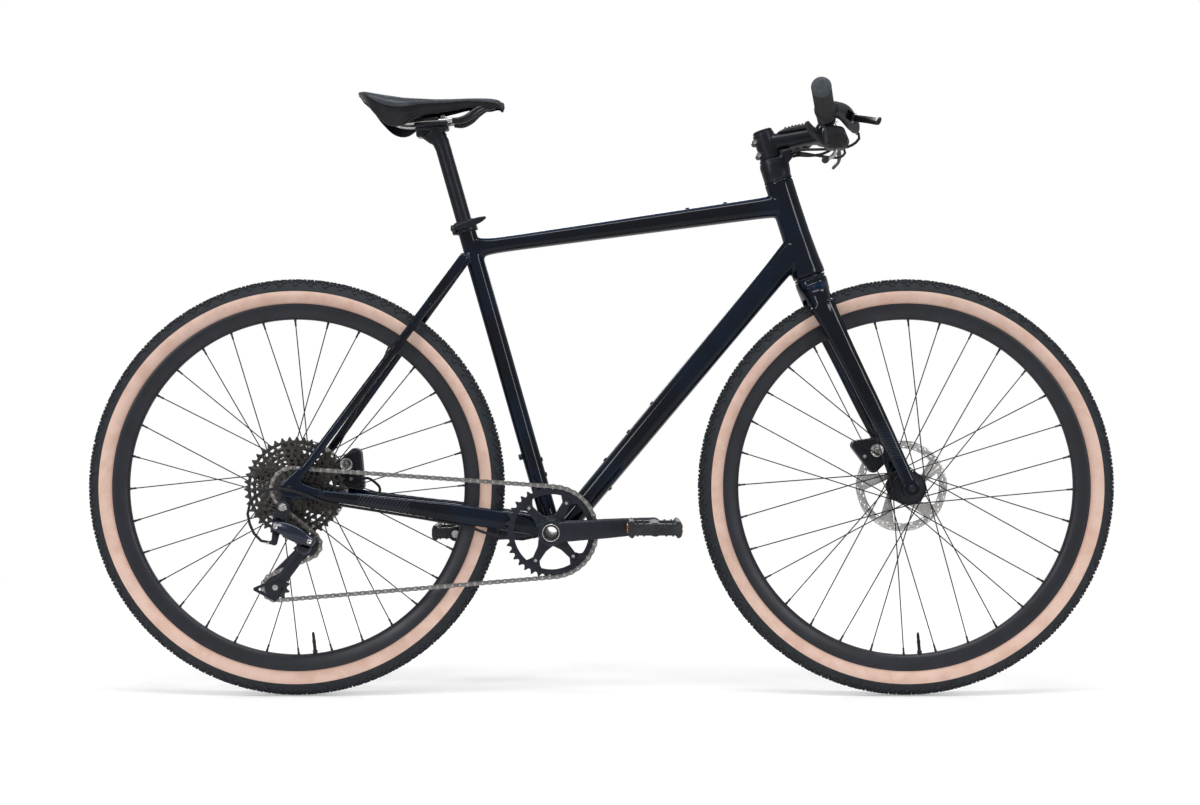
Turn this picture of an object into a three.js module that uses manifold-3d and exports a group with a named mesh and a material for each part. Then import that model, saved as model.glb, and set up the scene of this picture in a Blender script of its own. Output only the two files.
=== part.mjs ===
// Gravel bicycle, millimetres, +Z up, +X to the front wheel, -Y to the chain side.
// The origin lies on the ground, midway between the hubs, in the middle plane.
import * as THREE from 'three';
import { mergeVertices } from 'three/addons/utils/BufferGeometryUtils.js';
import Module from 'manifold-3d';

const wasm = await Module();
wasm.setup();

// General sizes
const clearance = 0.3;
const overrun = 8;
const wheelbase = 1048;
const headAngle = 72;
const seatAngle = 74.06;
const forkRake = 45.7;
const chainLine = 50;
const roundSides = 12;

// Wheels
const tyre = { radius: 358, halfWidth: 22.5, treadHalf: 7.5, beadRadius: 310, beadHalf: 11.7, beadWall: 3.1,
  treadWall: 6.5, widestShare: 0.54, shoulderShare: 0.83, shoulderWidthShare: 0.85 };
const rim = { radius: 316, depth: 28, hookWall: 1.7, innerHalf: 7, sides: 28 };
const spoke = { thick: 2, perSide: 16, wrap: 67.5, headSpread: 1.65, rimOffset: 3, sides: 3 };
const hubShell = { flangeRadius: 28, flangeThick: 3.2, barrel: 12.5, capRadius: 9.5, capLong: 6,
  neck: 15.5, rotorLip: 2.6, sides: 12 };
const frontHubSize = { half: 50, rightFlange: -34, leftFlange: 26, rotorPlane: 39.5, holePhase: -0.7 };
const rearHubSize = { half: 71, rightFlange: -17.3, leftFlange: 36, rotorPlane: 55.7, holePhase: 0.63,
  driverSeat: 9.5 };
const rotor = { radius: 80, thick: 1.8, band: 14, carrier: 7, arms: 5, armShare: 0.26, slantShare: 0.5 };
const axle = { radius: 6, headRadius: 9, headLong: 5, endLong: 1.5 };
const freehub = { radius: 17, fromPlane: -65.2, toPlane: -20.6, wall: 7 };
const cassette = { teeth: [11, 13, 15, 17, 19, 21, 24, 28, 32, 37, 42], pitch: 3.9, thick: 1.8,
  spacerWall: 2.6,
  usedCog: 3 };

// Chain drive
const chain = { pitch: 12.7, gapHalf: 1.25, plate: 1.45, height: 8, pin: 2.3, pinSides: 3, rootDepth: 4.2,
  tipRise: 2.4 };
const chainring = { teeth: 38, thick: 2, bandInner: 64, tabRadius: 10, boltCircle: 55,
  boltAngles: [133.2, 62.4, -47.7, -118.9] };
const crank = { length: 172.5, angle: 4.2, rootHeight: 36, midHeight: 35, tipHeight: 27, rootThick: 15,
  tipThick: 12, innerFace: 60, tipOuter: 76, bossRadius: 22, spindleRadius: 14.5, spindleBore: 10.2,
  spiderThick: 5, spiderArm: 6.5, midShare: 0.54 };
const pedal = { length: 88, height: 28, fromPlane: 81, width: 94, rail: 11, sideRail: 13, bevel: 8,
  axleRadius: 7,
  hubRadius: 11 };
const pulley = { teeth: 11, thick: 1.8, axle: 2.5 };
const cage = { pivotDown: 96, pivotAhead: 26, length: 88.9, plate: 1.5, gapHalf: 3.5, halfWidth: 10,
  tail: 22,
  links: 118, bossRadius: 9 };
const derailleur = { hangerDown: 30, hangerBack: 9, hangerRadius: 9, hangerThick: 2.9, bossThick: 7,
  knuckleRadius: 11.5, mountThick: 7.6, linkBack: 19, linkDown: 61, jointRadius: 9, stopBack: 23.6,
    stopDown: 89,
  stopRadius: 5, linkLong: 56, linkDrop: 25, linkTall: 17, linkThick: 9, endKnuckle: 13, endInner: 62,
  axisTilt: [0.315, 0.611, 0.727], lowest: -12, highest: 26 };

// Frame
const bottomBracket = { reach: 439.2, drop: 73.4, radius: 23, half: 36.5, bore: 19.3, cupRadius: 22,
  cupLong: 4.8 };
const seatTube = { radius: 15.9, length: 539, boreDepth: 210 };
const headTube = { from: 396, to: 569, lowRadius: 28.3, highRadius: 25, waist: 24.6, bore: 21.5 };
const topTube = { seatHeight: 503, headHeight: 526, seatDepth: 25, headDepth: 37, width: 38, gusset: 26 };
const downTube = { ahead: 16.3, headHeight: 454.5, lowWidth: 38, highWidth: 43.5, lowSide: 46,
  highSide: 42 };
const chainstay = { depth: 33.5, thick: 15, spread: 74.5, lift: 4.6, flatShare: 0.94, bridgeBack: 48,
  bridgeThick: 14 };
const seatstay = { topHeight: 494, depth: 16, thick: 13, spread: 74.5, topSpread: 13 };
const dropout = { radius: 17, thick: 6.6, rightInset: 3.2 };
const boss = { radius: 4.2, rise: 1.6, sides: 6 };
const seatClamp = { wall: 3.6, height: 15, barrelRadius: 4.5, barrelHalf: 11, rootRadius: 3.4,
  leverLong: 58, leverHeight: 7,
  leverThick: 4.5 };

// Fork and steering, measured along the steering axis from the foot of the front hub
const fork = { crownTop: 391, crownRadius: 27.5, crownWidth: 104, crownLong: 52, tyreRoom: 8,
  tyreRoomHalf: 30, steererLow: 19, steererHigh: 14.3, steererTop: 650, taperTo: 450, tipRadius: 15,
  innerFace: 50.3, tipThick: 11 };
const headset = { raceFrom: 391.3, raceTo: 395.7, raceRadius: 26.5, sleeve: 14, coverFrom: 569.3,
  coverTo: 607.8,
  coverRadius: 23.5, lip: 1, guideOut: 36, guideHalf: 19, guideTop: 614.5, guideMid: 597, guideLow: 587,
  portOut: 12 };
const stem = { from: 608.1, to: 655, bodyHeight: 635.7, barReach: 101.9, barHeight: 621.9, clampRadius: 18.6,
  bodyTall: 31, bodyWide: 36, barClamp: 20.5, barClampHalf: 24, boltRadius: 3.6, boltOut: 23 };
const topCap = { radius: 17, thick: 5.4 };
const bar = { clampRadius: 15.9, gripRadius: 11.1, clampHalf: 28, straight: 40, taperEnd: 75, half: 298,
  sweepBack: 46, rise: 25, sweepRun: 260 };
const grip = { radius: 16, from: 165, to: 300, endCap: 1.7, flange: 17.5, flangeLong: 5, ribs: 1,
  ribRise: 0.8 };
const lever = { reach: 100, clampAt: 139, clampHalf: 7, clampWall: 4, bladeThick: 5, bladeTall: 10,
  rootRadius: 6.5,
  hingeTilt: 21.5, pull: 25 };
const shifter = { clampAt: 112, clampHalf: 5, clampWall: 3.5, inner: 88, wide: 34, paddleInner: 91,
  paddleWide: 8,
  thumbInner: 98, thumbWide: 14, travel: 20 };
const hose = { radius: 2.5, sides: 5, loop: 100, portRadius: 4.5, portTilt: 25, portBack: 33.2,
  portOut: 28.5,
  portDown: 10.8 };
const caliper = { wide: 27, slotHalf: 2.1, rotorRoom: 2.5 };

// Seat
const post = { radius: 13.6, insert: 150, top: 697 };
const rails = { rise: 32.7, back: 7, tilt: 4, radius: 3.5, spread: 22, headHalf: 29, headDeep: 14,
  headWide: 28,
  wingHalf: 14, clampTall: 7, boltRadius: 3, boltOut: 25, seatGap: 0.5, slide: 12 };
const saddle = { length: 245.5, tailX: -413, height: 1026, crown: 8, dip: 23.5, halfWidth: 75, skirt: 33,
  shellWall: 3, padShare: 0.45 };

// Colours and finishes
function finish(colour, roughness, metalness) {
  return new THREE.MeshStandardMaterial({ color: colour, roughness, metalness });
}
const finishes = {
  frame: finish(0x101219, 0.22, 0.25),
  fork: finish(0x11131a, 0.24, 0.25),
  black: finish(0x16171b, 0.45, 0.1),
  anodised: finish(0x1d1f24, 0.38, 0.7),
  rubber: finish(0x1b1c1f, 0.85, 0),
  tyre: finish(0x1e2329, 0.88, 0),
  rim: finish(0x2e2e36, 0.5, 0.2),
  spoke: finish(0x24262b, 0.4, 0.8),
  steel: finish(0xb4b7bb, 0.28, 0.95),
  dark: finish(0x4a4744, 0.42, 0.85),
  chain: finish(0x8c8b88, 0.36, 0.9),
  crank: finish(0x23272f, 0.45, 0.4),
  saddle: finish(0x3a4250, 0.6, 0),
  shell: finish(0x121317, 0.3, 0.05),
  hose: finish(0x141518, 0.5, 0),
};

// Geometry helpers
// A table of shares, made into lengths
const sized = (length, table) => table.map((row) => row.map((share) => share * length));

// A bore with flats that stay clear of a turning piece's corners
const turningBore = (radius, sides = roundSides) => (radius + clearance) / Math.cos(Math.PI / sides);
const { degToRad } = THREE.MathUtils;
const vec = (x, y, z) => new THREE.Vector3(x, y, z);
const mix = THREE.MathUtils.lerp;

function solid(geometry) {
  const bare = geometry.index ? geometry.toNonIndexed() : geometry.clone();
  bare.deleteAttribute('normal');
  bare.deleteAttribute('uv');
  const merged = mergeVertices(bare);
  const corners = merged.index.array;
  const kept = [];
  for (let i = 0; i < corners.length; i += 3) {
    const [a, b, c] = [corners[i], corners[i + 1], corners[i + 2]];
    if (a !== b && b !== c && c !== a) kept.push(a, b, c);
  }
  return new wasm.Manifold(new wasm.Mesh({
    numProp: 3,
    vertProperties: new Float32Array(merged.attributes.position.array),
    triVerts: new Uint32Array(kept),
  }));
}

function geometryOf(body) {
  const mesh = body.getMesh();
  const geometry = new THREE.BufferGeometry();
  geometry.setAttribute('position', new THREE.BufferAttribute(new Float32Array(mesh.vertProperties), 3));
  geometry.setIndex(new THREE.BufferAttribute(new Uint32Array(mesh.triVerts), 1));
  geometry.computeVertexNormals();
  return geometry;
}

const joined = (...bodies) => bodies.flat().reduce((all, body) => all.add(body));
const cut = (body, ...tools) => tools.flat().reduce((left, tool) => left.subtract(tool), body);

function piece(group, name, body, material) {
  const mesh = new THREE.Mesh(geometryOf(body), material);
  mesh.name = name;
  group.add(mesh);
}

// A profile of [radius, height] points that closes on itself, turned round the Y axis
function turnedGeometry(profile, sides) {
  const area = profile.reduce((sum, [r, y], i) => {
    const [nextR, nextY] = profile[(i + 1) % profile.length];
    return sum + r * nextY - nextR * y;
  }, 0);
  const ring = area > 0 ? profile : [...profile].reverse();
  const points = [...ring, ring[0]].map(([r, y]) => new THREE.Vector2(r, y));
  return new THREE.LatheGeometry(points, sides);
}
const turned = (profile, sides) => solid(turnedGeometry(profile, sides));

// A sleeve, or a disc where inner is zero, round an axis parallel to Y
function sleeve(centre, outer, inner, from, to, sides = roundSides) {
  const profile = [[outer, from], [outer, to], [inner, to], [inner, from]];
  return solid(turnedGeometry(profile, sides).translate(centre.x, 0, centre.z));
}

// A round rod between two points
function rodGeometry(from, to, radius, sides = roundSides, endRadius = radius) {
  const along = to.clone().sub(from);
  const geometry = new THREE.CylinderGeometry(endRadius, radius, along.length(), sides);
  const turn = new THREE.Quaternion().setFromUnitVectors(vec(0, 1, 0), along.clone().normalize());
  const middle = from.clone().add(to).multiplyScalar(0.5);
  return geometry.applyQuaternion(turn).translate(middle.x, middle.y, middle.z);
}
const rod = (...sizes) => solid(rodGeometry(...sizes));

function box(xFrom, xTo, yFrom, yTo, zFrom, zTo) {
  const geometry = new THREE.BoxGeometry(xTo - xFrom, yTo - yFrom, zTo - zFrom);
  return solid(geometry.translate((xFrom + xTo) / 2, (yFrom + yTo) / 2, (zFrom + zTo) / 2));
}

// An outline of [x, z] points, with holes, thick from one Y to another
function plate(outline, yFrom, yTo, holes = []) {
  const shape = new THREE.Shape(outline.map(([x, z]) => new THREE.Vector2(x, z)));
  const geometry = new THREE.ExtrudeGeometry(shape, { depth: yTo - yFrom, bevelEnabled: false });
  const body = solid(geometry.rotateX(Math.PI / 2).translate(0, yTo, 0));
  return cut(body, holes.map((hole) => plate(hole, yFrom - overrun, yTo + overrun)));
}

function circle(x, z, radius, sides = roundSides, start = 0) {
  return Array.from({ length: sides }, (_, i) => {
    const angle = start + (2 * Math.PI * i) / sides;
    return [x + radius * Math.cos(angle), z + radius * Math.sin(angle)];
  });
}

// The outline that a band takes when it is wrapped round a set of [x, z, radius] discs
function wrapped(discs, sides = 10) {
  const points = discs.flatMap(([x, z, radius]) => circle(x, z, radius, sides));
  points.sort((a, b) => a[0] - b[0] || a[1] - b[1]);
  const half = (list) => {
    const chainOfPoints = [];
    for (const point of list) {
      while (chainOfPoints.length > 1) {
        const [a, b] = chainOfPoints.slice(-2);
        const turn = (b[0] - a[0]) * (point[1] - a[1]) - (b[1] - a[1]) * (point[0] - a[0]);
        if (turn > 0) break;
        chainOfPoints.pop();
      }
      chainOfPoints.push(point);
    }
    return chainOfPoints.slice(0, -1);
  };
  return [...half(points), ...half([...points].reverse())];
}

// Rings with the same number of points each, joined into one closed skin
function skin(rings) {
  const count = rings[0].length;
  const corners = rings.flat().flatMap((point) => [point.x, point.y, point.z]);
  const faces = [];
  for (let i = 0; i + 1 < rings.length; i += 1) {
    for (let k = 0; k < count; k += 1) {
      const [a, b] = [i * count + k, i * count + ((k + 1) % count)];
      faces.push(a, b, b + count, a, b + count, a + count);
    }
  }
  const cap = (ring, first, flip) => {
    const centre = ring.reduce((sum, point) => sum.add(point), vec(0, 0, 0)).divideScalar(count);
    const across = ring[0].clone().sub(centre).normalize();
    const normal = vec(0, 0, 0);
    ring.forEach((point, k) => {
      const next = ring[(k + 1) % count].clone().sub(centre);
      normal.add(point.clone().sub(centre).cross(next));
    });
    const up = normal.normalize().cross(across).normalize();
    const flat = ring.map((point) => {
      const arm = point.clone().sub(centre);
      return new THREE.Vector2(arm.dot(across), arm.dot(up));
    });
    for (const [a, b, c] of THREE.ShapeUtils.triangulateShape(flat, [])) {
      faces.push(first + a, first + (flip ? c : b), first + (flip ? b : c));
    }
  };
  cap(rings[0], 0, true);
  cap(rings.at(-1), (rings.length - 1) * count, false);
  const geometry = new THREE.BufferGeometry();
  geometry.setAttribute('position', new THREE.Float32BufferAttribute(corners, 3));
  geometry.setIndex(faces);
  return solid(geometry);
}

// A tube of rounded sections: each station has its centre, half width and half height
function loft(stations, sides = 12, squareness = 1, hint = vec(0, 1, 0)) {
  const rings = stations.map(({ at, wide, tall }, i) => {
    const before = stations[Math.max(i - 1, 0)].at;
    const after = stations[Math.min(i + 1, stations.length - 1)].at;
    const along = after.clone().sub(before).normalize();
    const side = hint.clone().addScaledVector(along, -along.dot(hint)).normalize();
    const up = along.clone().cross(side);
    return Array.from({ length: sides }, (_, k) => {
      const angle = (2 * Math.PI * (k + 0.5)) / sides;
      const [c, s] = [Math.cos(angle), Math.sin(angle)];
      const round = (value) => Math.sign(value) * Math.abs(value) ** squareness;
      return at.clone().addScaledVector(side, wide * round(c)).addScaledVector(up, tall * round(s));
    });
  });
  return skin(rings);
}

// A round cord through the points of its route
function cord(points, radius, steps, sides = hose.sides) {
  const section = new THREE.Shape(circle(0, 0, radius, sides).map(([x, y]) => new THREE.Vector2(x, y)));
  const route = new THREE.CatmullRomCurve3(points);
  return solid(new THREE.ExtrudeGeometry(section, { steps, extrudePath: route, bevelEnabled: false }));
}

// Places that the sizes fix
const rearHub = vec(-wheelbase / 2, 0, tyre.radius);
const frontHub = vec(wheelbase / 2, 0, tyre.radius);
const crankCentre = rearHub.clone().add(vec(bottomBracket.reach, 0, -bottomBracket.drop));
const steerTurn = degToRad(headAngle - 90);
const steerAhead = vec(Math.cos(steerTurn), 0, -Math.sin(steerTurn));
const steerUp = vec(Math.sin(steerTurn), 0, Math.cos(steerTurn));
const steerFoot = frontHub.clone().addScaledVector(steerAhead, -forkRake);
const seatUp = vec(-Math.cos(degToRad(seatAngle)), 0, Math.sin(degToRad(seatAngle)));
const seatAhead = vec(seatUp.z, 0, -seatUp.x);
const onSteerAxis = (height) => steerFoot.clone().addScaledVector(steerUp, height);
const onSeatAxis = (height) => crankCentre.clone().addScaledVector(seatUp, height);
const steering = new THREE.Group();
steering.position.copy(steerFoot);
steering.rotation.y = steerTurn;

// Wheels
function tyreBody() {
  const height = tyre.radius - tyre.beadRadius;
  const sideRadius = rim.radius + clearance * 2;
  const half = [
    [tyre.beadRadius, tyre.beadHalf],
    [sideRadius, tyre.beadHalf],
    [tyre.beadRadius + height * tyre.widestShare, tyre.halfWidth],
    [tyre.beadRadius + height * tyre.shoulderShare, tyre.halfWidth * tyre.shoulderWidthShare],
    [tyre.radius, tyre.treadHalf],
  ];
  const inside = [
    [tyre.radius - tyre.treadWall, tyre.treadHalf],
    [tyre.beadRadius, tyre.beadHalf - tyre.beadWall],
  ];
  const mirrored = (points) => points.map(([r, y]) => [r, -y]).reverse();
  return turned([...half, ...mirrored(half), ...mirrored(inside), ...inside], rim.sides);
}

function rimBody() {
  const inner = rim.radius - rim.depth;
  const outerHalf = tyre.beadHalf + clearance + rim.hookWall;
  const bed = tyre.beadRadius - clearance;
  const half = [[inner, rim.innerHalf], [rim.radius, outerHalf], [rim.radius, outerHalf - rim.hookWall],
    [bed, outerHalf - rim.hookWall]];
  return turned([...half, ...half.map(([r, y]) => [r, -y]).reverse()], rim.sides);
}

// One side's spokes: two families that cross, leaving the flange almost at a tangent
function spokeBody(flangePlane, side, holePhase) {
  const facet = Math.cos(Math.PI / rim.sides);
  const rimEnd = (rim.radius - rim.depth) * facet - clearance;
  const flangeEnd = hubShell.flangeRadius + spoke.thick * 0.65;
  const step = 360 / spoke.perSide;
  const shift = side > 0 ? step / 2 : 0;
  const bodies = Array.from({ length: spoke.perSide }, (_, i) => {
    const family = i % 2 === 0 ? 1 : -1;
    const rimAngle = degToRad(-90 + holePhase + shift + step * i);
    const flangeAngle = rimAngle - family * degToRad(spoke.wrap);
    const point = (radius, angle, y) => vec(radius * Math.cos(angle), y, radius * Math.sin(angle));
    const from = point(flangeEnd, flangeAngle, flangePlane + (family * spoke.headSpread) / 2);
    const to = point(rimEnd, rimAngle, side * spoke.rimOffset);
    return rod(from, to, spoke.thick / 2, spoke.sides);
  });
  return joined(bodies);
}

// A hub's outline from one end cap to the other, with the axle's bore through it
function hubBody(size, driverSeat) {
  const bore = turningBore(axle.radius);
  const capEnd = size.half - hubShell.capLong;
  const flange = (plane) => [
    [hubShell.barrel, plane - hubShell.flangeThick / 2],
    [hubShell.flangeRadius, plane - hubShell.flangeThick / 2],
    [hubShell.flangeRadius, plane + hubShell.flangeThick / 2],
    [hubShell.barrel, plane + hubShell.flangeThick / 2],
  ];
  const rotorEnd = size.rotorPlane + rotor.thick / 2 + hubShell.rotorLip;
  const right = driverSeat
    ? [[driverSeat, -size.half], [driverSeat, freehub.toPlane + clearance]]
    : [[hubShell.capRadius, -size.half], [hubShell.capRadius, -capEnd]];
  const outline = [...right, ...flange(size.rightFlange), ...flange(size.leftFlange),
    [hubShell.neck, size.leftFlange + hubShell.flangeThick], [hubShell.neck, rotorEnd],
    [hubShell.capRadius, rotorEnd], [hubShell.capRadius, size.half], [bore, size.half], [bore, -size.half]];
  return turned(outline, hubShell.sides);
}

function rotorBody() {
  const inner = hubShell.neck + clearance;
  const bandInner = rotor.radius - rotor.band;
  const carrier = inner + rotor.carrier;
  const arc = (radius, from, to, steps) => Array.from({ length: steps + 1 }, (_, i) => {
    const angle = mix(from, to, i / steps);
    return [radius * Math.cos(angle), radius * Math.sin(angle)];
  });
  const step = (2 * Math.PI) / rotor.arms;
  const windows = Array.from({ length: rotor.arms }, (_, i) => {
    const start = i * step;
    const open = step * (1 - rotor.armShare);
    const slant = step * rotor.slantShare;
    const inside = arc(carrier, start, start + open * 0.8, 1);
    return [...inside, ...arc(bandInner, start + open + slant, start + slant, 2)];
  });
  const holes = [circle(0, 0, turningBore(hubShell.neck, hubShell.sides), hubShell.sides), ...windows];
  return plate(circle(0, 0, rotor.radius, 24), -rotor.thick / 2, rotor.thick / 2, holes);
}

function addWheel(parent, centre, name, size, driverSeat) {
  const wheel = new THREE.Group();
  wheel.position.copy(centre);
  piece(wheel, `${name}_tyre`, tyreBody(), finishes.tyre);
  piece(wheel, `${name}_rim`, rimBody(), finishes.rim);
  piece(wheel, `${name}_spokes_right`, spokeBody(size.rightFlange, -1, size.holePhase), finishes.spoke);
  piece(wheel, `${name}_spokes_left`, spokeBody(size.leftFlange, 1, size.holePhase), finishes.spoke);
  piece(wheel, `${name}_hub`, hubBody(size, driverSeat), finishes.anodised);
  const disc = rotorBody().translate([0, size.rotorPlane, 0]);
  piece(wheel, `${name}_brake_disc`, disc, finishes.steel);
  parent.add(wheel);
}

// The axle: a shaft with a head at the left and a short threaded end at the right
function axleBody(left, right) {
  return joined(
    sleeve(vec(0, 0, 0), axle.radius, 0, -right - axle.endLong, left + axle.headLong),
    sleeve(vec(0, 0, 0), axle.headRadius, 0, left + clearance, left + axle.headLong),
  );
}

// Chain drive: the route runs round four toothed wheels in the chain's plane
const pitchRadius = (teeth) => chain.pitch / (2 * Math.sin(Math.PI / teeth));
const guideCentre = rearHub.clone().add(vec(cage.pivotAhead, 0, -cage.pivotDown));
const cageEnd = (angle) => guideCentre.clone()
  .add(vec(cage.length * Math.cos(angle), 0, cage.length * Math.sin(angle)));
const around = (angle) => ((angle % (2 * Math.PI)) + 2 * Math.PI) % (2 * Math.PI);

function chainRoute(cageAngle) {
  const wheels = [
    { centre: rearHub, teeth: cassette.teeth[cassette.usedCog], turn: 1 },
    { centre: crankCentre, teeth: chainring.teeth, turn: 1 },
    { centre: cageEnd(cageAngle), teeth: pulley.teeth, turn: 1 },
    { centre: guideCentre, teeth: pulley.teeth, turn: -1 },
  ].map((wheel) => ({ ...wheel, radius: pitchRadius(wheel.teeth), step: (2 * Math.PI) / wheel.teeth }));
  wheels.forEach((wheel, i) => {
    const next = wheels[(i + 1) % wheels.length];
    const [dx, dz] = [next.centre.x - wheel.centre.x, next.centre.z - wheel.centre.z];
    const apart = Math.hypot(dx, dz);
    const lean = (next.turn * next.radius - wheel.turn * wheel.radius) / apart;
    wheel.heading = Math.atan2(dz, dx) + Math.asin(lean);
    wheel.run = apart * Math.sqrt(1 - lean * lean);
  });
  wheels.forEach((wheel, i) => {
    const before = wheels[(i + wheels.length - 1) % wheels.length];
    wheel.arrival = before.heading + (wheel.turn * Math.PI) / 2;
    wheel.sweep = around(wheel.turn * (before.heading - wheel.heading));
    wheel.arc = (wheel.sweep / wheel.step) * chain.pitch;
  });
  const length = wheels.reduce((sum, wheel) => sum + wheel.arc + wheel.run, 0);
  return { wheels, length };
}

// The cage settles where the chain is a whole number of links long
function settledCage() {
  let [slack, tight] = [degToRad(-60), degToRad(-150)];
  for (let i = 0; i < 40; i += 1) {
    const middle = (slack + tight) / 2;
    if (chainRoute(middle).length < cage.links * chain.pitch) slack = middle;
    else tight = middle;
  }
  return (slack + tight) / 2;
}
const cageAngle = settledCage();
const route = chainRoute(cageAngle);
const tensionCentre = cageEnd(cageAngle);

// Points along the route, each with its place and the heading of the chain there
function alongRoute(distance) {
  let left = distance;
  for (const wheel of route.wheels) {
    const at = (angle) => vec(wheel.centre.x + wheel.radius * Math.cos(angle), 0,
      wheel.centre.z + wheel.radius * Math.sin(angle));
    if (left < wheel.arc) {
      const angle = wheel.arrival - (wheel.turn * left * wheel.step) / chain.pitch;
      return { wheel, angle, at: at(angle) };
    }
    left -= wheel.arc;
    if (left < wheel.run) {
      const start = at(wheel.arrival - wheel.turn * wheel.sweep);
      return { at: start.add(vec(Math.cos(wheel.heading) * left, 0, Math.sin(wheel.heading) * left)) };
    }
    left -= wheel.run;
  }
  return alongRoute(left);
}
const pins = Array.from({ length: cage.links }, (_, i) => alongRoute((i + 0.5) * chain.pitch));
const phaseOf = (index) => pins.find((pin) => pin.wheel === route.wheels[index]).angle;

function chainBody() {
  const bends = route.wheels.flatMap((wheel) => {
    const steps = Math.ceil(wheel.sweep / degToRad(24));
    return Array.from({ length: steps + 1 }, (_, i) => ({
      centre: wheel.centre,
      angle: wheel.arrival - (wheel.turn * wheel.sweep * i) / steps,
      radius: wheel.radius,
      turn: wheel.turn,
    }));
  });
  const edge = (offset) => bends.map(({ centre, angle, radius, turn }) => [
    centre.x + (radius + turn * offset) * Math.cos(angle),
    centre.z + (radius + turn * offset) * Math.sin(angle),
  ]);
  const outerEdge = edge(chain.height / 2);
  const innerEdge = edge(-chain.height / 2);
  const rails = [-1, 1].map((side) => {
    const faces = [chain.gapHalf, chain.gapHalf + chain.plate].map((y) => side * y).sort((a, b) => a - b);
    return plate(outerEdge, -chainLine + faces[0], -chainLine + faces[1], [innerEdge]);
  });
  const reach = chain.gapHalf + chain.plate / 2;
  const rungs = pins.filter((pin, i) => i % (pin.wheel ? 4 : 12) === 0).map(({ at }) => rod(
    vec(at.x, -chainLine - reach, at.z), vec(at.x, -chainLine + reach, at.z), chain.pin, chain.pinSides));
  return joined(rails, rungs);
}

function toothed(centre, teeth, phase) {
  const radius = pitchRadius(teeth);
  return Array.from({ length: teeth * 2 }, (_, i) => {
    const angle = phase + (Math.PI * i) / teeth;
    const out = i % 2 === 0 ? radius - chain.rootDepth : radius + chain.tipRise;
    return [centre.x + out * Math.cos(angle), centre.z + out * Math.sin(angle)];
  });
}

function cassetteBody() {
  const bore = freehub.radius + clearance;
  const hole = circle(rearHub.x, rearHub.z, turningBore(freehub.radius));
  const planeOf = (index) => -chainLine + (index - cassette.usedCog) * cassette.pitch;
  const outline = (teeth, i) => (i === cassette.usedCog ? toothed(rearHub, teeth, phaseOf(0))
    : circle(rearHub.x, rearHub.z, pitchRadius(teeth), 10));
  const cogs = cassette.teeth.map((teeth, i) => plate(
    outline(teeth, i), planeOf(i) - cassette.thick / 2, planeOf(i) + cassette.thick / 2));
  const core = plate(circle(rearHub.x, rearHub.z, bore + cassette.spacerWall), planeOf(0),
    planeOf(cassette.teeth.length - 1));
  return cut(joined(cogs, core), plate(hole, planeOf(0) - overrun,
    planeOf(cassette.teeth.length - 1) + overrun));
}

function freehubBody() {
  return sleeve(rearHub, freehub.radius, turningBore(rearHubSize.driverSeat), freehub.fromPlane,
    freehub.toPlane);
}

const boltPlaces = chainring.boltAngles.map(degToRad).map((angle) => [
  crankCentre.x + chainring.boltCircle * Math.cos(angle),
  crankCentre.z + chainring.boltCircle * Math.sin(angle),
]);

function chainringBody() {
  const half = chainring.thick / 2;
  const band = plate(toothed(crankCentre, chainring.teeth, phaseOf(1)), -chainLine - half, -chainLine + half,
    [circle(crankCentre.x, crankCentre.z, chainring.bandInner, 14)]);
  const tabs = boltPlaces.map(([x, z]) => plate(circle(x, z, chainring.tabRadius, 6), -chainLine - half,
    -chainLine + half));
  return joined(band, tabs);
}

function crankArmBody(side) {
  const facing = degToRad(crank.angle) + (side > 0 ? Math.PI : 0);
  const ahead = vec(Math.cos(facing), 0, Math.sin(facing));
  const tip = crankCentre.clone().addScaledVector(ahead, crank.length);
  const midPlane = crank.innerFace + crank.rootThick / 2;
  const tipPlane = crank.tipOuter - crank.tipThick / 2;
  const station = (share, plane, thick, tall) => ({
    at: crankCentre.clone().addScaledVector(ahead, crank.length * share).setY(side * plane),
    wide: thick / 2,
    tall: tall / 2,
  });
  const arm = loft([
    station(0, midPlane, crank.rootThick, crank.rootHeight),
    station(crank.midShare, mix(midPlane, tipPlane, crank.midShare), crank.rootThick, crank.midHeight),
    station(1, tipPlane, crank.tipThick, crank.tipHeight),
  ], 8, 0.7);
  const cupEnd = bottomBracket.half + clearance + bottomBracket.cupLong;
  const outer = crank.innerFace + crank.rootThick;
  const planes = (from, to) => (side < 0 ? [-to, -from] : [from, to]);
  const bossBody = sleeve(crankCentre, crank.bossRadius, 0, ...planes(cupEnd + clearance, outer));
  const eye = sleeve(tip, crank.tipHeight / 2, 0, ...planes(crank.tipOuter - crank.tipThick,
    crank.tipOuter));
  const pedalHole = sleeve(tip, turningBore(pedal.axleRadius), 0, ...planes(crank.innerFace,
    crank.tipOuter + overrun));
  if (side > 0) {
    const spindleHole = sleeve(crankCentre, crank.spindleRadius + clearance, 0, ...planes(0,
      outer + overrun), 12);
    return cut(joined(arm, bossBody, eye), pedalHole, spindleHole);
  }
  const spindle = sleeve(crankCentre, crank.spindleRadius, 0, -outer, outer, 12);
  const ringFace = chainLine + chainring.thick / 2 + clearance;
  const spider = boltPlaces.map(([x, z]) => plate(
    wrapped([[crankCentre.x, crankCentre.z, crank.bossRadius], [x, z, crank.spiderArm]], 8),
    -ringFace - crank.spiderThick, -ringFace));
  const bore = sleeve(crankCentre, crank.spindleBore, 0, -outer - overrun, outer + overrun);
  return cut(joined(arm, bossBody, eye, spindle, spider), pedalHole, bore);
}

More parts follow.
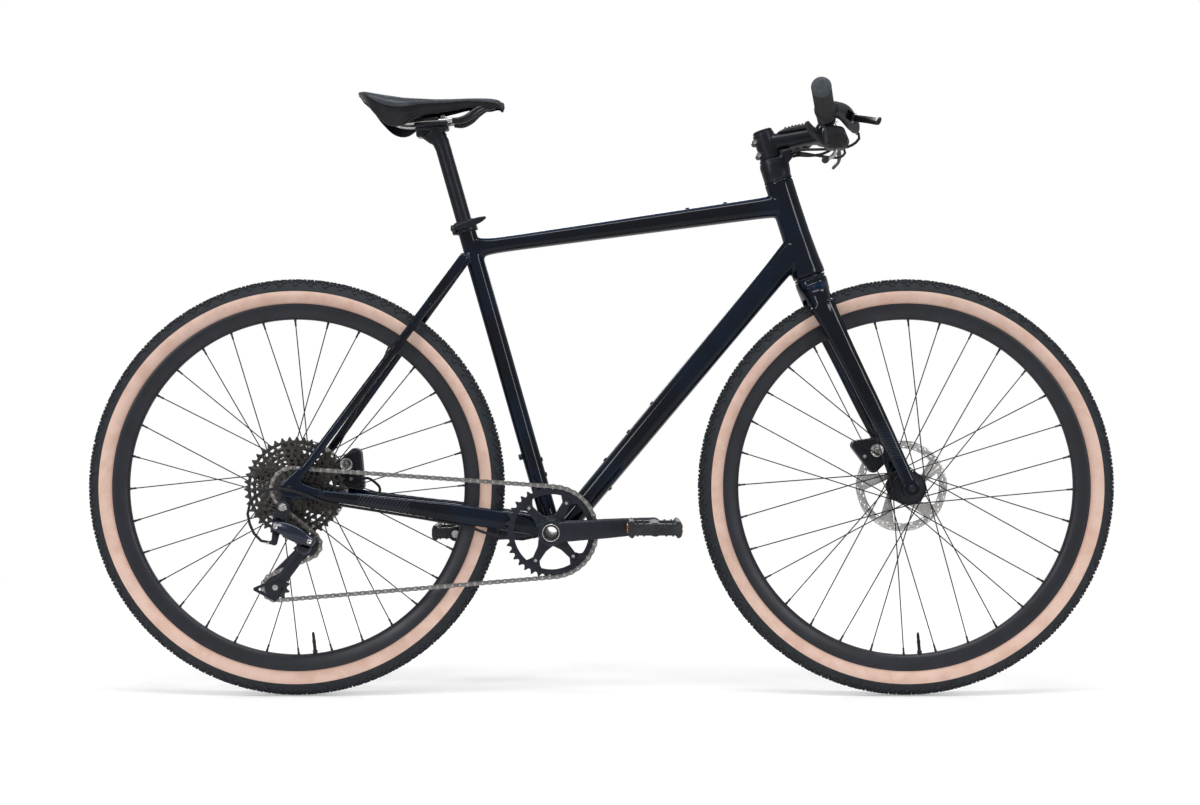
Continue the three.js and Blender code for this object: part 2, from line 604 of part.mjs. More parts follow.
function pedalBody(side) {
  const facing = degToRad(crank.angle) + (side > 0 ? Math.PI : 0);
  const centre = crankCentre.clone().add(
    vec(crank.length * Math.cos(facing), 0, crank.length * Math.sin(facing)));
  const [long, tall, bevel] = [pedal.length / 2, pedal.height / 2, pedal.bevel];
  const outline = [[-long, bevel - tall], [bevel - long, -tall], [long - bevel, -tall], [long, bevel - tall],
    [long, tall - bevel], [long - bevel, tall], [bevel - long, tall], [-long, tall - bevel]];
  const planes = (from, to) => (side < 0 ? [-to, -from] : [from, to]);
  const outer = pedal.fromPlane + pedal.width;
  const block = plate(outline.map(([x, z]) => [x + centre.x, z + centre.z]), ...planes(pedal.fromPlane,
    outer));
  const windows = [-1, 1].map((end) => {
    const sides = [pedal.hubRadius, long - pedal.rail].map((x) => centre.x + end * x).sort((a, b) => a - b);
    return box(...sides, ...planes(pedal.fromPlane + pedal.sideRail, outer - pedal.sideRail),
      centre.z - tall - overrun, centre.z + tall + overrun);
  });
  const stub = sleeve(centre, pedal.axleRadius, 0, ...planes(crank.tipOuter - crank.tipThick,
    pedal.fromPlane + pedal.sideRail));
  return joined(cut(block, windows), stub);
}

// Derailleur cage: two plates on the pulley bolts, with a boss out to the end knuckle
function cageBody() {
  const tail = tensionCentre.clone().sub(guideCentre).normalize();
  const back = vec(tail.z, 0, -tail.x);
  const tip = tensionCentre.clone().addScaledVector(back, cage.tail);
  const outline = wrapped([
    [guideCentre.x, guideCentre.z, cage.halfWidth],
    [tensionCentre.x, tensionCentre.z, cage.halfWidth],
    [tip.x, tip.z, pulley.axle],
  ]);
  const inner = cage.gapHalf;
  const plates = [[-inner - cage.plate, -inner], [inner, inner + cage.plate]].map(([from, to]) =>
    plate(outline, from - chainLine, to - chainLine));
  const bolts = [guideCentre, tensionCentre].map((centre) =>
    sleeve(centre, pulley.axle, 0, -chainLine - inner - cage.plate / 2,
      -chainLine + inner + cage.plate / 2, 10));
  const bossFace = sleeve(guideCentre, cage.bossRadius, 0, -derailleur.endInner + clearance,
    -chainLine - inner - cage.plate / 2);
  return joined(plates, bolts, bossFace);
}

function pulleyBody(centre, index) {
  const hole = circle(centre.x, centre.z, turningBore(pulley.axle, 10), 10);
  return plate(toothed(centre, pulley.teeth, phaseOf(index)), -chainLine - pulley.thick / 2,
    -chainLine + pulley.thick / 2, [hole]);
}

// A closed profile turned round the steering axis or the seat axis, with heights along that axis
const standing = (profile, sides, foot, turn) => solid(
  turnedGeometry(profile, sides).rotateX(Math.PI / 2).rotateY(turn).translate(foot.x, foot.y, foot.z));
const seatTurn = degToRad(seatAngle - 90);
const onHead = (profile, sides = 12) => standing(profile, sides, steerFoot, steerTurn);
const onSeat = (profile, sides = 12) => standing(profile, sides, crankCentre, seatTurn);
const onSteerer = (profile, sides = 12) => standing(profile, sides, vec(0, 0, 0), 0);
const tubeBetween = (from, to, stations, sides, squareness) => loft(
  stations.map(([share, wide, tall]) => ({ at: from.clone().lerp(to, share), wide: wide / 2,
    tall: tall / 2 })),
  sides, squareness);

const topTubeSeat = onSeatAxis(topTube.seatHeight);
const topTubeHead = onSteerAxis(topTube.headHeight);
const downTubeLow = crankCentre.clone().add(vec(downTube.ahead, 0, 0));
const downTubeHead = onSteerAxis(downTube.headHeight);
const seatstayTop = onSeatAxis(seatstay.topHeight).addScaledVector(seatAhead, -seatTube.radius * 0.75);

// Chainstay stations: shares of the reach, drop, spread, depth and thickness
const chainstayShares = [
  [0, 0.03, 1, 0.5, 0.43],
  [0.09, 0.11, 0.975, 0.54, 0.62],
  [0.191, 0.2, 0.86, 0.6, 0.8],
  [0.328, 0.32, 0.725, 0.7, 0.87],
  [0.51, 0.48, 0.577, 0.85, 0.93],
  [0.669, 0.62, 0.517, 1, 0.97],
  [1, 0.94, 0.36, 1, 1],
];
// Seatstay stations: shares of the length, spread, depth and thickness
const seatstayShares = [
  [0, 1, 1, 0.5],
  [0.1, 0.955, 0.95, 0.8],
  [0.72, 0.51, 0.95, 1],
  [0.8, 0.43, 1, 1],
  [1, 0.175, 1.2, 1],
];

function stays(side) {
  const inset = side < 0 ? dropout.rightInset : 0;
  const out = (share, along) => side * (share + (inset * Math.max(0, 0.15 - along)) / 0.15);
  const chainstayBody = loft(chainstayShares.map(([along, down, spread, deep, thick]) => ({
    at: vec(mix(rearHub.x, crankCentre.x, along), out(chainstay.spread * spread, along),
      mix(rearHub.z, crankCentre.z, down)),
    wide: (chainstay.thick * thick) / 2,
    tall: (chainstay.depth * deep) / 2,
  })), 8, 0.8);
  const seatstayBody = loft(seatstayShares.map(([along, spread, deep, thick]) => ({
    at: rearHub.clone().lerp(seatstayTop, along).setY(out(seatstay.spread * spread, along)),
    wide: (seatstay.thick * thick) / 2,
    tall: (seatstay.depth * deep) / 2,
  })), 6, 0.9);
  const planes = [rearHubSize.half + clearance + inset, rearHubSize.half + clearance + inset + dropout.thick]
    .map((y) => side * y).sort((a, b) => a - b);
  return [chainstayBody, seatstayBody, sleeve(rearHub, dropout.radius, 0, ...planes)];
}

// Threaded bosses: shares along each tube, on its upper or lower side
const bossPlaces = [
  { from: topTubeSeat, to: topTubeHead, shares: [0.69, 0.81], side: 1, low: topTube.seatDepth,
    high: topTube.headDepth },
  { from: downTubeLow, to: downTubeHead, shares: [0.22, 0.318, 0.417], side: 1, low: downTube.lowWidth,
    high: downTube.highWidth },
  { from: downTubeLow, to: downTubeHead, shares: [0.168], side: -1, low: downTube.lowWidth,
    high: downTube.highWidth },
  { from: crankCentre, to: onSeatAxis(seatTube.length), shares: [0.176, 0.226], side: -1,
    low: seatTube.radius * 2, high: seatTube.radius * 2 },
];

// The port where the rear shift housing leaves the frame
const portAhead = vec(-Math.cos(degToRad(hose.portTilt)), 0, -Math.sin(degToRad(hose.portTilt)));
const portTip = crankCentre.clone().add(vec(-hose.portBack, -hose.portOut, -hose.portDown));

function bossBodies() {
  return bossPlaces.flatMap(({ from, to, shares, side, low, high }) => shares.map((share) => {
    const along = to.clone().sub(from).normalize();
    const up = along.clone().cross(vec(0, 1, 0)).multiplyScalar(side);
    const surface = mix(low, high, share) / 2;
    const at = from.clone().lerp(to, share);
    return rod(at.clone().addScaledVector(up, surface - boss.radius), at.clone().addScaledVector(up,
      surface + boss.rise), boss.radius, boss.sides);
  }));
}

function frameBody() {
  const head = onHead([[0, headTube.from], [headTube.lowRadius, headTube.from],
    [headTube.waist, mix(headTube.from, headTube.to, 0.45)], [headTube.highRadius, headTube.to],
    [0, headTube.to]]);
  const seat = onSeat([[0, 0], [seatTube.radius, 0], [seatTube.radius, seatTube.length],
    [0, seatTube.length]]);
  const shell = sleeve(crankCentre, bottomBracket.radius, 0, -bottomBracket.half, bottomBracket.half, 12);
  const top = tubeBetween(topTubeSeat, topTubeHead, [
    [0, seatTube.radius * 1.6, topTube.seatDepth + topTube.gusset / 2],
    [0.09, topTube.width * 0.82, topTube.seatDepth + topTube.gusset / 12],
    [0.3, topTube.width * 0.9, mix(topTube.seatDepth, topTube.headDepth, 0.3)],
    [0.88, topTube.width, mix(topTube.seatDepth, topTube.headDepth, 0.88)],
    [1, topTube.width, topTube.headDepth * 1.1],
  ], 10, 0.8);
  const down = tubeBetween(downTubeLow, downTubeHead, [
    [0, downTube.lowSide, downTube.lowWidth * 1.05],
    [0.1, downTube.lowSide, downTube.lowWidth],
    [0.85, downTube.highSide, downTube.highWidth],
    [1, downTube.highSide, downTube.highWidth * 1.12],
  ], 10, 0.8);
  const bridge = box(crankCentre.x - chainstay.bridgeBack, crankCentre.x, -chainstay.spread * 0.45,
    chainstay.spread * 0.45, crankCentre.z - chainstay.bridgeThick / 2 + chainstay.lift,
    crankCentre.z + chainstay.bridgeThick / 2 + chainstay.lift);
  const cupRoom = [-1, 1].map((side) => {
    const faces = [bottomBracket.half, chainstay.spread].map((y) => side * y).sort((a, b) => a - b);
    return sleeve(crankCentre, bottomBracket.cupRadius + clearance, 0, ...faces);
  });
  const port = rod(portTip.clone().addScaledVector(portAhead, -bottomBracket.radius), portTip,
    hose.portRadius, 8);
  const whole = joined(seat, shell, top, down, head, bridge, port, stays(-1), stays(1), bossBodies());
  const headBore = onHead([[0, headTube.from - overrun], [headTube.bore, headTube.from - overrun],
    [headTube.bore, headTube.to + overrun], [0, headTube.to + overrun]]);
  const postBore = rod(onSeatAxis(seatTube.length - seatTube.boreDepth),
    onSeatAxis(seatTube.length + overrun * 4),
    post.radius + clearance, 16);
  const shellBore = sleeve(crankCentre, bottomBracket.bore, 0, -bottomBracket.half - overrun,
    bottomBracket.half + overrun, 12);
  const axleBore = sleeve(rearHub, axle.radius + clearance, 0, -chainstay.spread - overrun * 2,
    chainstay.spread + overrun * 2);
  const hubRoom = sleeve(rearHub, dropout.radius + overrun, 0, -rearHubSize.half - clearance,
    rearHubSize.half + clearance);
  const hangerPlane = rearHubSize.half + clearance + dropout.rightInset;
  const hangerRoom = sleeve(rearHub, dropout.radius + overrun, 0, -hangerPlane, 0);
  return cut(whole, headBore, postBore, shellBore, axleBore, hubRoom, hangerRoom, cupRoom);
}

function bottomBracketBody() {
  const inner = turningBore(crank.spindleRadius);
  const sleeveRadius = bottomBracket.bore - clearance;
  const [face, end] = [bottomBracket.half + clearance,
    bottomBracket.half + clearance + bottomBracket.cupLong];
  const half = [[bottomBracket.cupRadius, end], [bottomBracket.cupRadius, face], [sleeveRadius, face]];
  const other = half.map(([r, y]) => [r, -y]).reverse();
  const profile = [...half, ...other, [inner, -end], [inner, end]];
  return solid(turnedGeometry(profile, 12).translate(crankCentre.x, 0, crankCentre.z));
}

function headsetRaceBody() {
  const inner = turningBore(fork.steererLow);
  const outer = headTube.bore - clearance;
  return onHead([[inner, headset.raceFrom], [headset.raceRadius, headset.raceFrom],
    [headset.raceRadius, headset.raceTo], [outer, headset.raceTo],
    [outer, headset.raceTo + headset.sleeve], [inner, headset.raceTo + headset.sleeve]]);
}

function seatClampBody() {
  const inner = seatTube.radius + clearance;
  const outer = inner + seatClamp.wall;
  const hole = turningBore(post.radius);
  const low = seatTube.length - seatClamp.height * 0.4;
  const high = low + seatClamp.height * 1.3;
  const lip = seatTube.length + clearance;
  const ring = onSeat([[inner, low], [outer, low], [outer, high], [hole, high], [hole, lip], [inner, lip]]);
  const centre = onSeatAxis((low + high) / 2).addScaledVector(seatAhead, -outer - seatClamp.wall * 0.4);
  const barrel = sleeve(centre, seatClamp.barrelRadius, 0, -outer, seatClamp.barrelHalf, 12);
  const bore = onSeat([[0, low - overrun], [inner, low - overrun], [inner, lip], [hole, lip],
    [hole, high + overrun], [0, high + overrun]]);
  return { body: cut(joined(ring, barrel), bore),
    pivot: centre.clone().setY(-outer - clearance - seatClamp.rootRadius) };
}

function seatClampLeverBody(pivot) {
  const tip = pivot.clone().addScaledVector(seatAhead, seatClamp.leverLong)
    .addScaledVector(seatUp, -seatClamp.leverHeight / 2);
  const outline = wrapped([[pivot.x, pivot.z, seatClamp.rootRadius * 0.7],
    [tip.x, tip.z, seatClamp.leverHeight / 2]]);
  const reach = seatUp.clone().multiplyScalar(seatClamp.barrelRadius);
  const root = rod(pivot.clone().sub(reach), pivot.clone().add(reach), seatClamp.rootRadius);
  return joined(root, plate(outline, pivot.y - seatClamp.leverThick / 2,
    pivot.y + seatClamp.leverThick / 2));
}

// The hanger lies inside the right dropout and carries the derailleur's upper bolt
const hangerEye = rearHub.clone().add(vec(-derailleur.hangerBack, 0, -derailleur.hangerDown));
function hangerBody() {
  const inner = rearHubSize.half + clearance;
  const outer = inner + derailleur.hangerThick;
  const blade = plate(wrapped([[rearHub.x, rearHub.z, dropout.radius * 0.75],
    [hangerEye.x, hangerEye.z, derailleur.hangerRadius]]), -outer, -inner);
  const eye = sleeve(hangerEye, derailleur.hangerRadius, 0, -inner - derailleur.bossThick, -inner);
  const dropoutRoom = sleeve(rearHub, dropout.radius + clearance, 0,
    -inner - derailleur.bossThick - overrun, -outer);
  const axleBore = sleeve(rearHub, axle.radius + clearance, 0, -outer - overrun, -inner + overrun);
  return cut(joined(blade, eye), axleBore, dropoutRoom);
}

// Fork, in the steering group: x ahead of the steering axis, z up along it
// Blade stations: shares of the crown's height, the rake, the crown's length, the spread and the thickness
const bladeShares = [
  [0.88, 0, 0.84, 0.74, 1],
  [0.72, 0.2, 0.69, 0.79, 0.92],
  [0.537, 0.42, 0.615, 0.85, 0.8],
  [0.386, 0.6, 0.577, 0.895, 0.72],
  [0.153, 0.875, 0.46, 0.965, 0.57],
  [0, 1, 0.46, 1, 0.5],
];
const forkSpread = fork.innerFace + fork.tipThick / 2;

function bladeBody(side, grow = 0) {
  return loft(bladeShares.map(([up, ahead, long, out, thick]) => ({
    at: vec(forkRake * ahead, side * forkSpread * out, fork.crownTop * up),
    wide: fork.tipThick * thick + grow,
    tall: (fork.crownLong * long) / 2 + grow,
  })), 8, 0.85);
}

function forkBody() {
  const level = (share) => fork.crownTop * share;
  const crown = loft([
    { at: vec(0, 0, level(1)), wide: fork.crownRadius, tall: fork.crownRadius },
    { at: vec(0, 0, level(0.94)), wide: fork.crownWidth * 0.43, tall: fork.crownLong * 0.49 },
    { at: vec(0, 0, level(0.88)), wide: fork.crownWidth * 0.51, tall: fork.crownLong * 0.45 },
    { at: vec(forkRake * 0.06, 0, level(0.83)), wide: fork.crownWidth * 0.52, tall: fork.crownLong * 0.4 },
  ], 10, 0.8);
  const tyreRoom = sleeve(vec(forkRake, 0, 0), tyre.radius + fork.tyreRoom, 0, -fork.tyreRoomHalf,
    fork.tyreRoomHalf, 18);
  const steererFoot = level(1) - overrun;
  const sleeveEnd = headset.raceTo + headset.sleeve;
  const steerer = onSteerer([[0, steererFoot], [fork.steererLow, steererFoot], [fork.steererLow, sleeveEnd],
    [fork.steererHigh, fork.taperTo], [fork.steererHigh, fork.steererTop], [0, fork.steererTop]]);
  const tips = [-1, 1].map((side) => {
    const faces = [fork.innerFace, fork.innerFace + fork.tipThick].map((y) => side * y)
      .sort((a, b) => a - b);
    return sleeve(vec(forkRake, 0, 0), fork.tipRadius, 0, ...faces);
  });
  const hubRoom = sleeve(vec(forkRake, 0, 0), fork.tipRadius + overrun, 0, -fork.innerFace, fork.innerFace);
  const reach = fork.innerFace + fork.tipThick + overrun;
  const axleBore = sleeve(vec(forkRake, 0, 0), axle.radius + clearance, 0, -reach, reach);
  return cut(joined(cut(joined(crown, bladeBody(-1), bladeBody(1)), tyreRoom), steerer, tips), hubRoom,
    axleBore);
}

function headsetCoverBody() {
  const inner = fork.steererHigh + clearance;
  const plug = headTube.bore * Math.cos(Math.PI / roundSides) - clearance;
  const crownStart = mix(headset.coverFrom, headset.coverTo, 0.75);
  const plugFoot = headset.coverFrom - headset.sleeve;
  const cover = onSteerer([[inner, plugFoot], [plug, plugFoot], [plug, headset.coverFrom],
    [headset.coverRadius + headset.lip, headset.coverFrom], [headset.coverRadius, crownStart],
    [stem.clampRadius, headset.coverTo], [inner, headset.coverTo]]);
  const stemSide = stem.clampRadius + clearance * 2;
  const [coreSide, coverSide] = [headset.coverRadius * 0.7, headset.coverRadius * 0.75];
  const guide = plate([[coreSide, headset.guideLow], [headset.guideOut, headset.guideMid],
    [headset.guideOut, headset.guideTop], [stemSide, headset.guideTop], [stemSide, headset.coverTo],
    [coreSide, headset.coverTo]], -headset.guideHalf, headset.guideHalf);
  const [coreFoot, coreTop] = [headset.guideLow - overrun, headset.coverTo + overrun * 2];
  const coreRoom = onSteerer([[0, coreFoot], [coverSide, coreFoot], [coverSide, coreTop], [0, coreTop]]);
  return joined(cover, cut(guide, coreRoom));
}

const barLocal = vec(stem.barReach, 0, stem.barHeight);
function stemBody() {
  const clamp = onSteerer([[0, stem.from], [stem.clampRadius, stem.from], [stem.clampRadius, stem.to],
    [0, stem.to]]);
  const body = loft([
    { at: vec(0, 0, stem.bodyHeight), wide: stem.bodyWide / 2, tall: stem.bodyTall / 2 },
    { at: vec(0, 0, stem.bodyHeight).lerp(barLocal, 0.6), wide: stem.bodyWide * 0.47,
      tall: stem.bodyTall * 0.47 },
    { at: barLocal, wide: stem.barClampHalf, tall: stem.bodyTall / 2 },
  ], 8, 0.85);
  const barClamp = sleeve(barLocal, stem.barClamp, 0, -stem.barClampHalf, stem.barClampHalf, 12);
  const bolts = [0.25, 0.75].map((share) => sleeve(vec(-stem.boltOut + stem.boltRadius * 1.2, 0,
    mix(stem.from, stem.to, share)), stem.boltRadius * 1.5, 0, -stem.clampRadius * 0.7,
  stem.clampRadius * 0.7, 6));
  const bore = fork.steererHigh + clearance;
  const [boreFoot, boreTop] = [stem.from - overrun * 2, stem.to + overrun];
  const steererBore = onSteerer([[0, boreFoot], [bore, boreFoot], [bore, boreTop], [0, boreTop]]);
  const barBore = sleeve(barLocal, bar.clampRadius + clearance * 2, 0, -stem.barClampHalf - overrun,
    stem.barClampHalf + overrun, 16);
  const foot = onSteerer([[0, 0], [stem.clampRadius * 2, 0], [stem.clampRadius * 2, stem.from],
    [0, stem.from]]);
  return cut(joined(clamp, body, barClamp, bolts), steererBore, barBore, foot);
}

function topCapBody() {
  const low = stem.to + clearance;
  const high = low + topCap.thick;
  return onSteerer([[0, low], [topCap.radius, low], [topCap.radius, mix(low, high, 0.7)],
    [topCap.radius * 0.9, high], [0, high]]);
}

// Handlebar and what it carries, with places measured from the middle of the bar
const barCentre = steerFoot.clone().addScaledVector(steerAhead, stem.barReach)
  .addScaledVector(steerUp, stem.barHeight);
const cockpit = new THREE.Group();
cockpit.position.copy(barCentre);
const sweepDirection = (side) => vec(-bar.sweepBack, side * bar.sweepRun, bar.rise).normalize();
function barPoint(y) {
  const share = Math.max(0, Math.abs(y) - bar.straight) / bar.sweepRun;
  return vec(-bar.sweepBack * share, y, bar.rise * share);
}

function barBody() {
  const stations = [[bar.half, bar.gripRadius], [bar.taperEnd, bar.gripRadius],
    [bar.straight, bar.clampRadius * 0.93], [bar.clampHalf, bar.clampRadius]];
  const whole = [...stations.map(([y, r]) => [-y, r]), ...[...stations].reverse()];
  return loft(whole.map(([y, r]) => ({ at: barPoint(y), wide: r, tall: r })), 16, 1, vec(1, 0, 0));
}

// A profile of [radius, place along the bar] points, turned round the swept part of the bar
function onBar(profile, side, at, sides = roundSides) {
  const turn = new THREE.Quaternion().setFromUnitVectors(vec(0, 1, 0), sweepDirection(side));
  const origin = barPoint(side * at);
  return solid(turnedGeometry(profile, sides).applyQuaternion(turn).translate(origin.x, origin.y, origin.z));
}

// The room that a clamp leaves round the thin part of the bar
function barRoom(side) {
  const radius = (bar.gripRadius + clearance) / Math.cos(Math.PI / 10);
  const [from, to] = [bar.taperEnd - lever.clampAt, grip.from - lever.clampAt];
  return onBar([[0, from], [radius, from], [radius, to], [0, to]], side, lever.clampAt, 10);
}

function gripBody(side) {
  const inner = bar.gripRadius + clearance * 1.5;
  const long = ((grip.to - grip.from) * Math.hypot(bar.sweepBack, bar.sweepRun, bar.rise)) / bar.sweepRun;
  const end = long - grip.endCap;
  const waves = Array.from({ length: grip.ribs }, (_, i) => {
    const middle = mix(grip.flangeLong, long, (i + 0.5) / grip.ribs);
    return [[grip.radius, middle - long / grip.ribs / 3], [grip.radius + grip.ribRise, middle]];
  }).flat();
  return onBar([[inner, 0], [grip.flange, 0], [grip.flange, grip.flangeLong], ...waves,
    [grip.radius, long - grip.endCap], [grip.radius * 0.92, long], [0, long], [0, end], [inner, end]],
  side, grip.from, 14);
}

// Turns a body round an axis through a point
function spun(body, point, axis, degrees) {
  const matrix = new THREE.Matrix4().makeTranslation(point.x, point.y, point.z)
    .multiply(new THREE.Matrix4().makeRotationAxis(axis, degToRad(degrees)))
    .multiply(new THREE.Matrix4().makeTranslation(-point.x, -point.y, -point.z));
  return body.transform(matrix.elements);
}
const swept = (body, point, axis, angles) => angles.map((angle) => spun(body, point, axis, angle));

// Brake levers: points from the middle of the bar, as shares of the lever's reach, mirrored at the left
const leverShares = [[-0.08, -1.58, 0.17, 0.11], [-0.03, -1.5, 0.16, 0.13], [0.147, -1.3, 0.13, 0.135],
  [0.327, -1, -0.008, 0.11], [0.397, -0.88, -0.088, 0.07]];
const leverBladeShares = [[0.297, -1.28, 0.052], [0.467, -1.7, -0.048], [0.547, -2.15, -0.148],
  [0.507, -2.55, -0.208]];
const leverSpine = sized(lever.reach, leverShares);
const bladeSpine = sized(lever.reach, leverBladeShares);
const onSide = (side) => ([x, y, z]) => vec(x, -side * y, z);
const leverAxis = vec(Math.sin(degToRad(lever.hingeTilt)), 0, Math.cos(degToRad(lever.hingeTilt)));

function bladeStrip(side, grow = 0, count = bladeSpine.length) {
  const points = bladeSpine.slice(0, count).map(onSide(side));
  const stations = points.map((at) => ({ at, wide: lever.bladeTall / 2 + grow,
    tall: lever.bladeThick / 2 + grow }));
  return loft(stations, 6, 0.9, leverAxis);
}

function bladeRoot(side, radius, grow = 0) {
  const root = onSide(side)(bladeSpine[0]);
  const reach = leverAxis.clone().multiplyScalar(lever.bladeTall / 2 + grow);
  return rod(root.clone().sub(reach), root.clone().add(reach), radius, 8);
}

function leverBodyOf(side) {
  const spine = leverSpine.map(([x, y, z, r]) => ({ at: vec(x, -side * y, z), wide: r, tall: r }));
  const housing = loft(spine, 8, 0.9, vec(0, 0, 1));
  const outer = bar.gripRadius + clearance + lever.clampWall;
  const ring = onBar([[0, -lever.clampHalf], [outer, -lever.clampHalf], [outer, lever.clampHalf],
    [0, lever.clampHalf]], side, lever.clampAt, 10);
  const root = onSide(side)(bladeSpine[0]);
  const turns = [0, 0.5, 1].map((share) => side * lever.pull * share);
  return cut(joined(housing, ring), barRoom(side), bladeRoot(side, turningBore(lever.rootRadius, 8),
    clearance),
    swept(bladeStrip(side, clearance * 2, 2), root, leverAxis, turns));
}

// Shifter under the right side of the bar: discs seen from the side, as shares of the lever's reach
const podShares = [[-0.04, -0.31, 0.125], [0.13, -0.32, 0.115], [0.08, -0.16, 0.1], [-0.09, -0.13, 0.09]];
const thumbShares = [[0.03, -0.47, 0.045], [-0.135, -0.6, 0.04]];
const paddleShares = [[-0.12, -0.3, 0.045], [-0.33, -0.2, 0.03], [-0.433, 0, 0.03]];
const [podDiscs, thumbDiscs, paddleDiscs] = [podShares, thumbShares, paddleShares].map(
  (shares) => sized(lever.reach, shares));
const paddleWraps = [paddleDiscs.slice(0, 2), paddleDiscs.slice(1)];
const grown = (discs, grow) => discs.map(([x, z, radius]) => [x, z, radius + grow]);

function thumbBody(grow = 0) {
  const inner = shifter.thumbInner - grow;
  return plate(wrapped(grown(thumbDiscs, grow)), -inner - shifter.thumbWide - grow * 2, -inner);
}

function paddleBody(grow = 0) {
  const inner = shifter.paddleInner - grow;
  return joined(paddleWraps.map((discs) =>
    plate(wrapped(grown(discs, grow), 10), -inner - shifter.paddleWide - grow * 2, -inner)));
}

function shifterBody(leverHousing) {
  const pod = plate(wrapped(podDiscs), -shifter.inner - shifter.wide, -shifter.inner);
  const outer = bar.gripRadius + clearance + shifter.clampWall;
  const ring = onBar([[0, -shifter.clampHalf], [outer, -shifter.clampHalf], [outer, shifter.clampHalf],
    [0, shifter.clampHalf]], -1, shifter.clampAt, 10);
  const across = vec(0, 1, 0);
  const thumbPivot = vec(thumbDiscs[0][0], 0, thumbDiscs[0][1]);
  const paddlePivot = vec(paddleDiscs[0][0], 0, paddleDiscs[0][1]);
  return cut(joined(pod, ring), barRoom(-1), leverHousing,
    swept(thumbBody(clearance), thumbPivot, across, [0, -shifter.travel]),
    swept(paddleBody(clearance), paddlePivot, across, [0, shifter.travel]));
}

// Hoses and housing from the cockpit back to the guide: points from the middle of the bar, as shares of
// the reach
const hoseShares = [[0.47, -0.84, -0.178], [0.432, -0.77, -0.258], [0.332, -0.66, -0.315],
  [0.184, -0.52, -0.334], [-0.131, -0.34, -0.322], [-0.42, -0.17, -0.306]];
const housingShares = [[0.14, -0.76, -0.27], [0.08, -0.58, -0.33], [-0.08, -0.36, -0.4],
  [-0.3, -0.12, -0.4], [-0.44, -0.03, -0.38]];
function guideEnd(y, heightShare) {
  const height = mix(headset.guideMid, headset.guideTop, heightShare);
  const end = onSteerAxis(height).addScaledVector(steerAhead, headset.guideOut + clearance * 2).setY(y);
  return [end.clone().addScaledVector(steerAhead, hose.radius * 2),
    end].map((point) => point.sub(barCentre));
}

function cockpitHose(side) {
  const [last, before] = [leverSpine.at(-1), leverSpine.at(-2)].map(onSide(side));
  const along = last.clone().sub(before).normalize();
  const start = [clearance * 1.5, hose.radius * 1.6].map((reach) =>
    last.clone().addScaledVector(along, reach));
  const middle = sized(lever.reach, hoseShares).map(onSide(side));
  return cord([...start, ...middle, ...guideEnd(side * headset.portOut, 0.62)], hose.radius, 17);
}

function cockpitHousing() {
  const start = vec(podDiscs[1][0], -shifter.inner + clearance, podDiscs[1][1] + hose.radius * 2);
  const middle = sized(lever.reach, housingShares).map(([x, y, z]) => vec(x, y, z));
  return cord([start, ...middle, ...guideEnd(0, 0.25)], hose.radius, 16);
}

// Brake calipers: discs seen from the side, as shares of the brake disc's radius, cut to their seats
function caliperBody(centre, plane, shares, seats) {
  const half = caliper.wide / 2;
  const discs = sized(rotor.radius, shares);
  const outline = wrapped(discs.map(([x, z, radius]) => [centre.x + x, centre.z + z, radius]));
  const slot = sleeve(centre, rotor.radius + caliper.rotorRoom, 0, plane - caliper.slotHalf,
    plane + caliper.slotHalf, 36);
  return cut(plate(outline, plane - half, plane + half), slot, seats);
}
const frontCaliperShares = [[-0.675, 1.15, 0.1125], [-0.475, 0.575, 0.1125], [-0.25, 1.05, 0.1375],
  [-0.15, 0.75, 0.125]];
const rearCaliperShares = [[0.775, 0.3375, 0.1375], [1.1625, 0.6875, 0.1375], [0.7375, 0.1, 0.0875],
  [1.275, -0.0125, 0.0875]];

function grownStay(grow) {
  return loft(chainstayShares.slice(0, 6).map(([along, down, spread, deep, thick]) => ({
    at: vec(mix(rearHub.x, crankCentre.x, along), chainstay.spread * spread, mix(rearHub.z, crankCentre.z,
      down)),
    wide: (chainstay.thick * thick) / 2 + grow + overrun,
    tall: (chainstay.depth * deep) / 2 + grow,
  })), 8, 0.8);
}

// Places on the derailleur
const linkStart = rearHub.clone().add(vec(-derailleur.linkBack, 0, -derailleur.linkDown));
const linkEnd = linkStart.clone().add(vec(derailleur.linkLong, 0, -derailleur.linkDrop));
const stopAt = rearHub.clone().add(vec(-derailleur.stopBack, 0, -derailleur.stopDown));
const mountInner = rearHubSize.half + clearance * 2 + derailleur.bossThick;
const mountOuter = mountInner + derailleur.mountThick;
const linkPlane = mountOuter + clearance;
const linkAxis = vec(...derailleur.axisTilt).normalize();
const linkPivot = linkStart.clone().setY(-linkPlane - derailleur.linkThick / 2);
const knucklePivot = linkEnd.clone().setY(-linkPlane - derailleur.linkThick / 2);
const linkRoom = clearance * 1.8;
const linkTurns = [derailleur.lowest, 0, derailleur.highest / 3, (derailleur.highest * 2) / 3,
  derailleur.highest];

// A place over or under the chainstay at a share of its length, with room for a hose of that radius
function besideStay(share, side, level, radius) {
  const next = Math.max(1, chainstayShares.findIndex(([along]) => along >= share));
  const [from, to] = [chainstayShares[next - 1], chainstayShares[next]];
  const part = (share - from[0]) / (to[0] - from[0]);
  const [along, down, spread, deep] = from.map((value, i) => mix(value, to[i], part));
  const reach = (chainstay.depth * deep * chainstay.flatShare) / 2 + clearance + radius;
  return vec(mix(rearHub.x, crankCentre.x, along), side * chainstay.spread * spread,
    mix(rearHub.z, crankCentre.z, down) + level * reach);
}

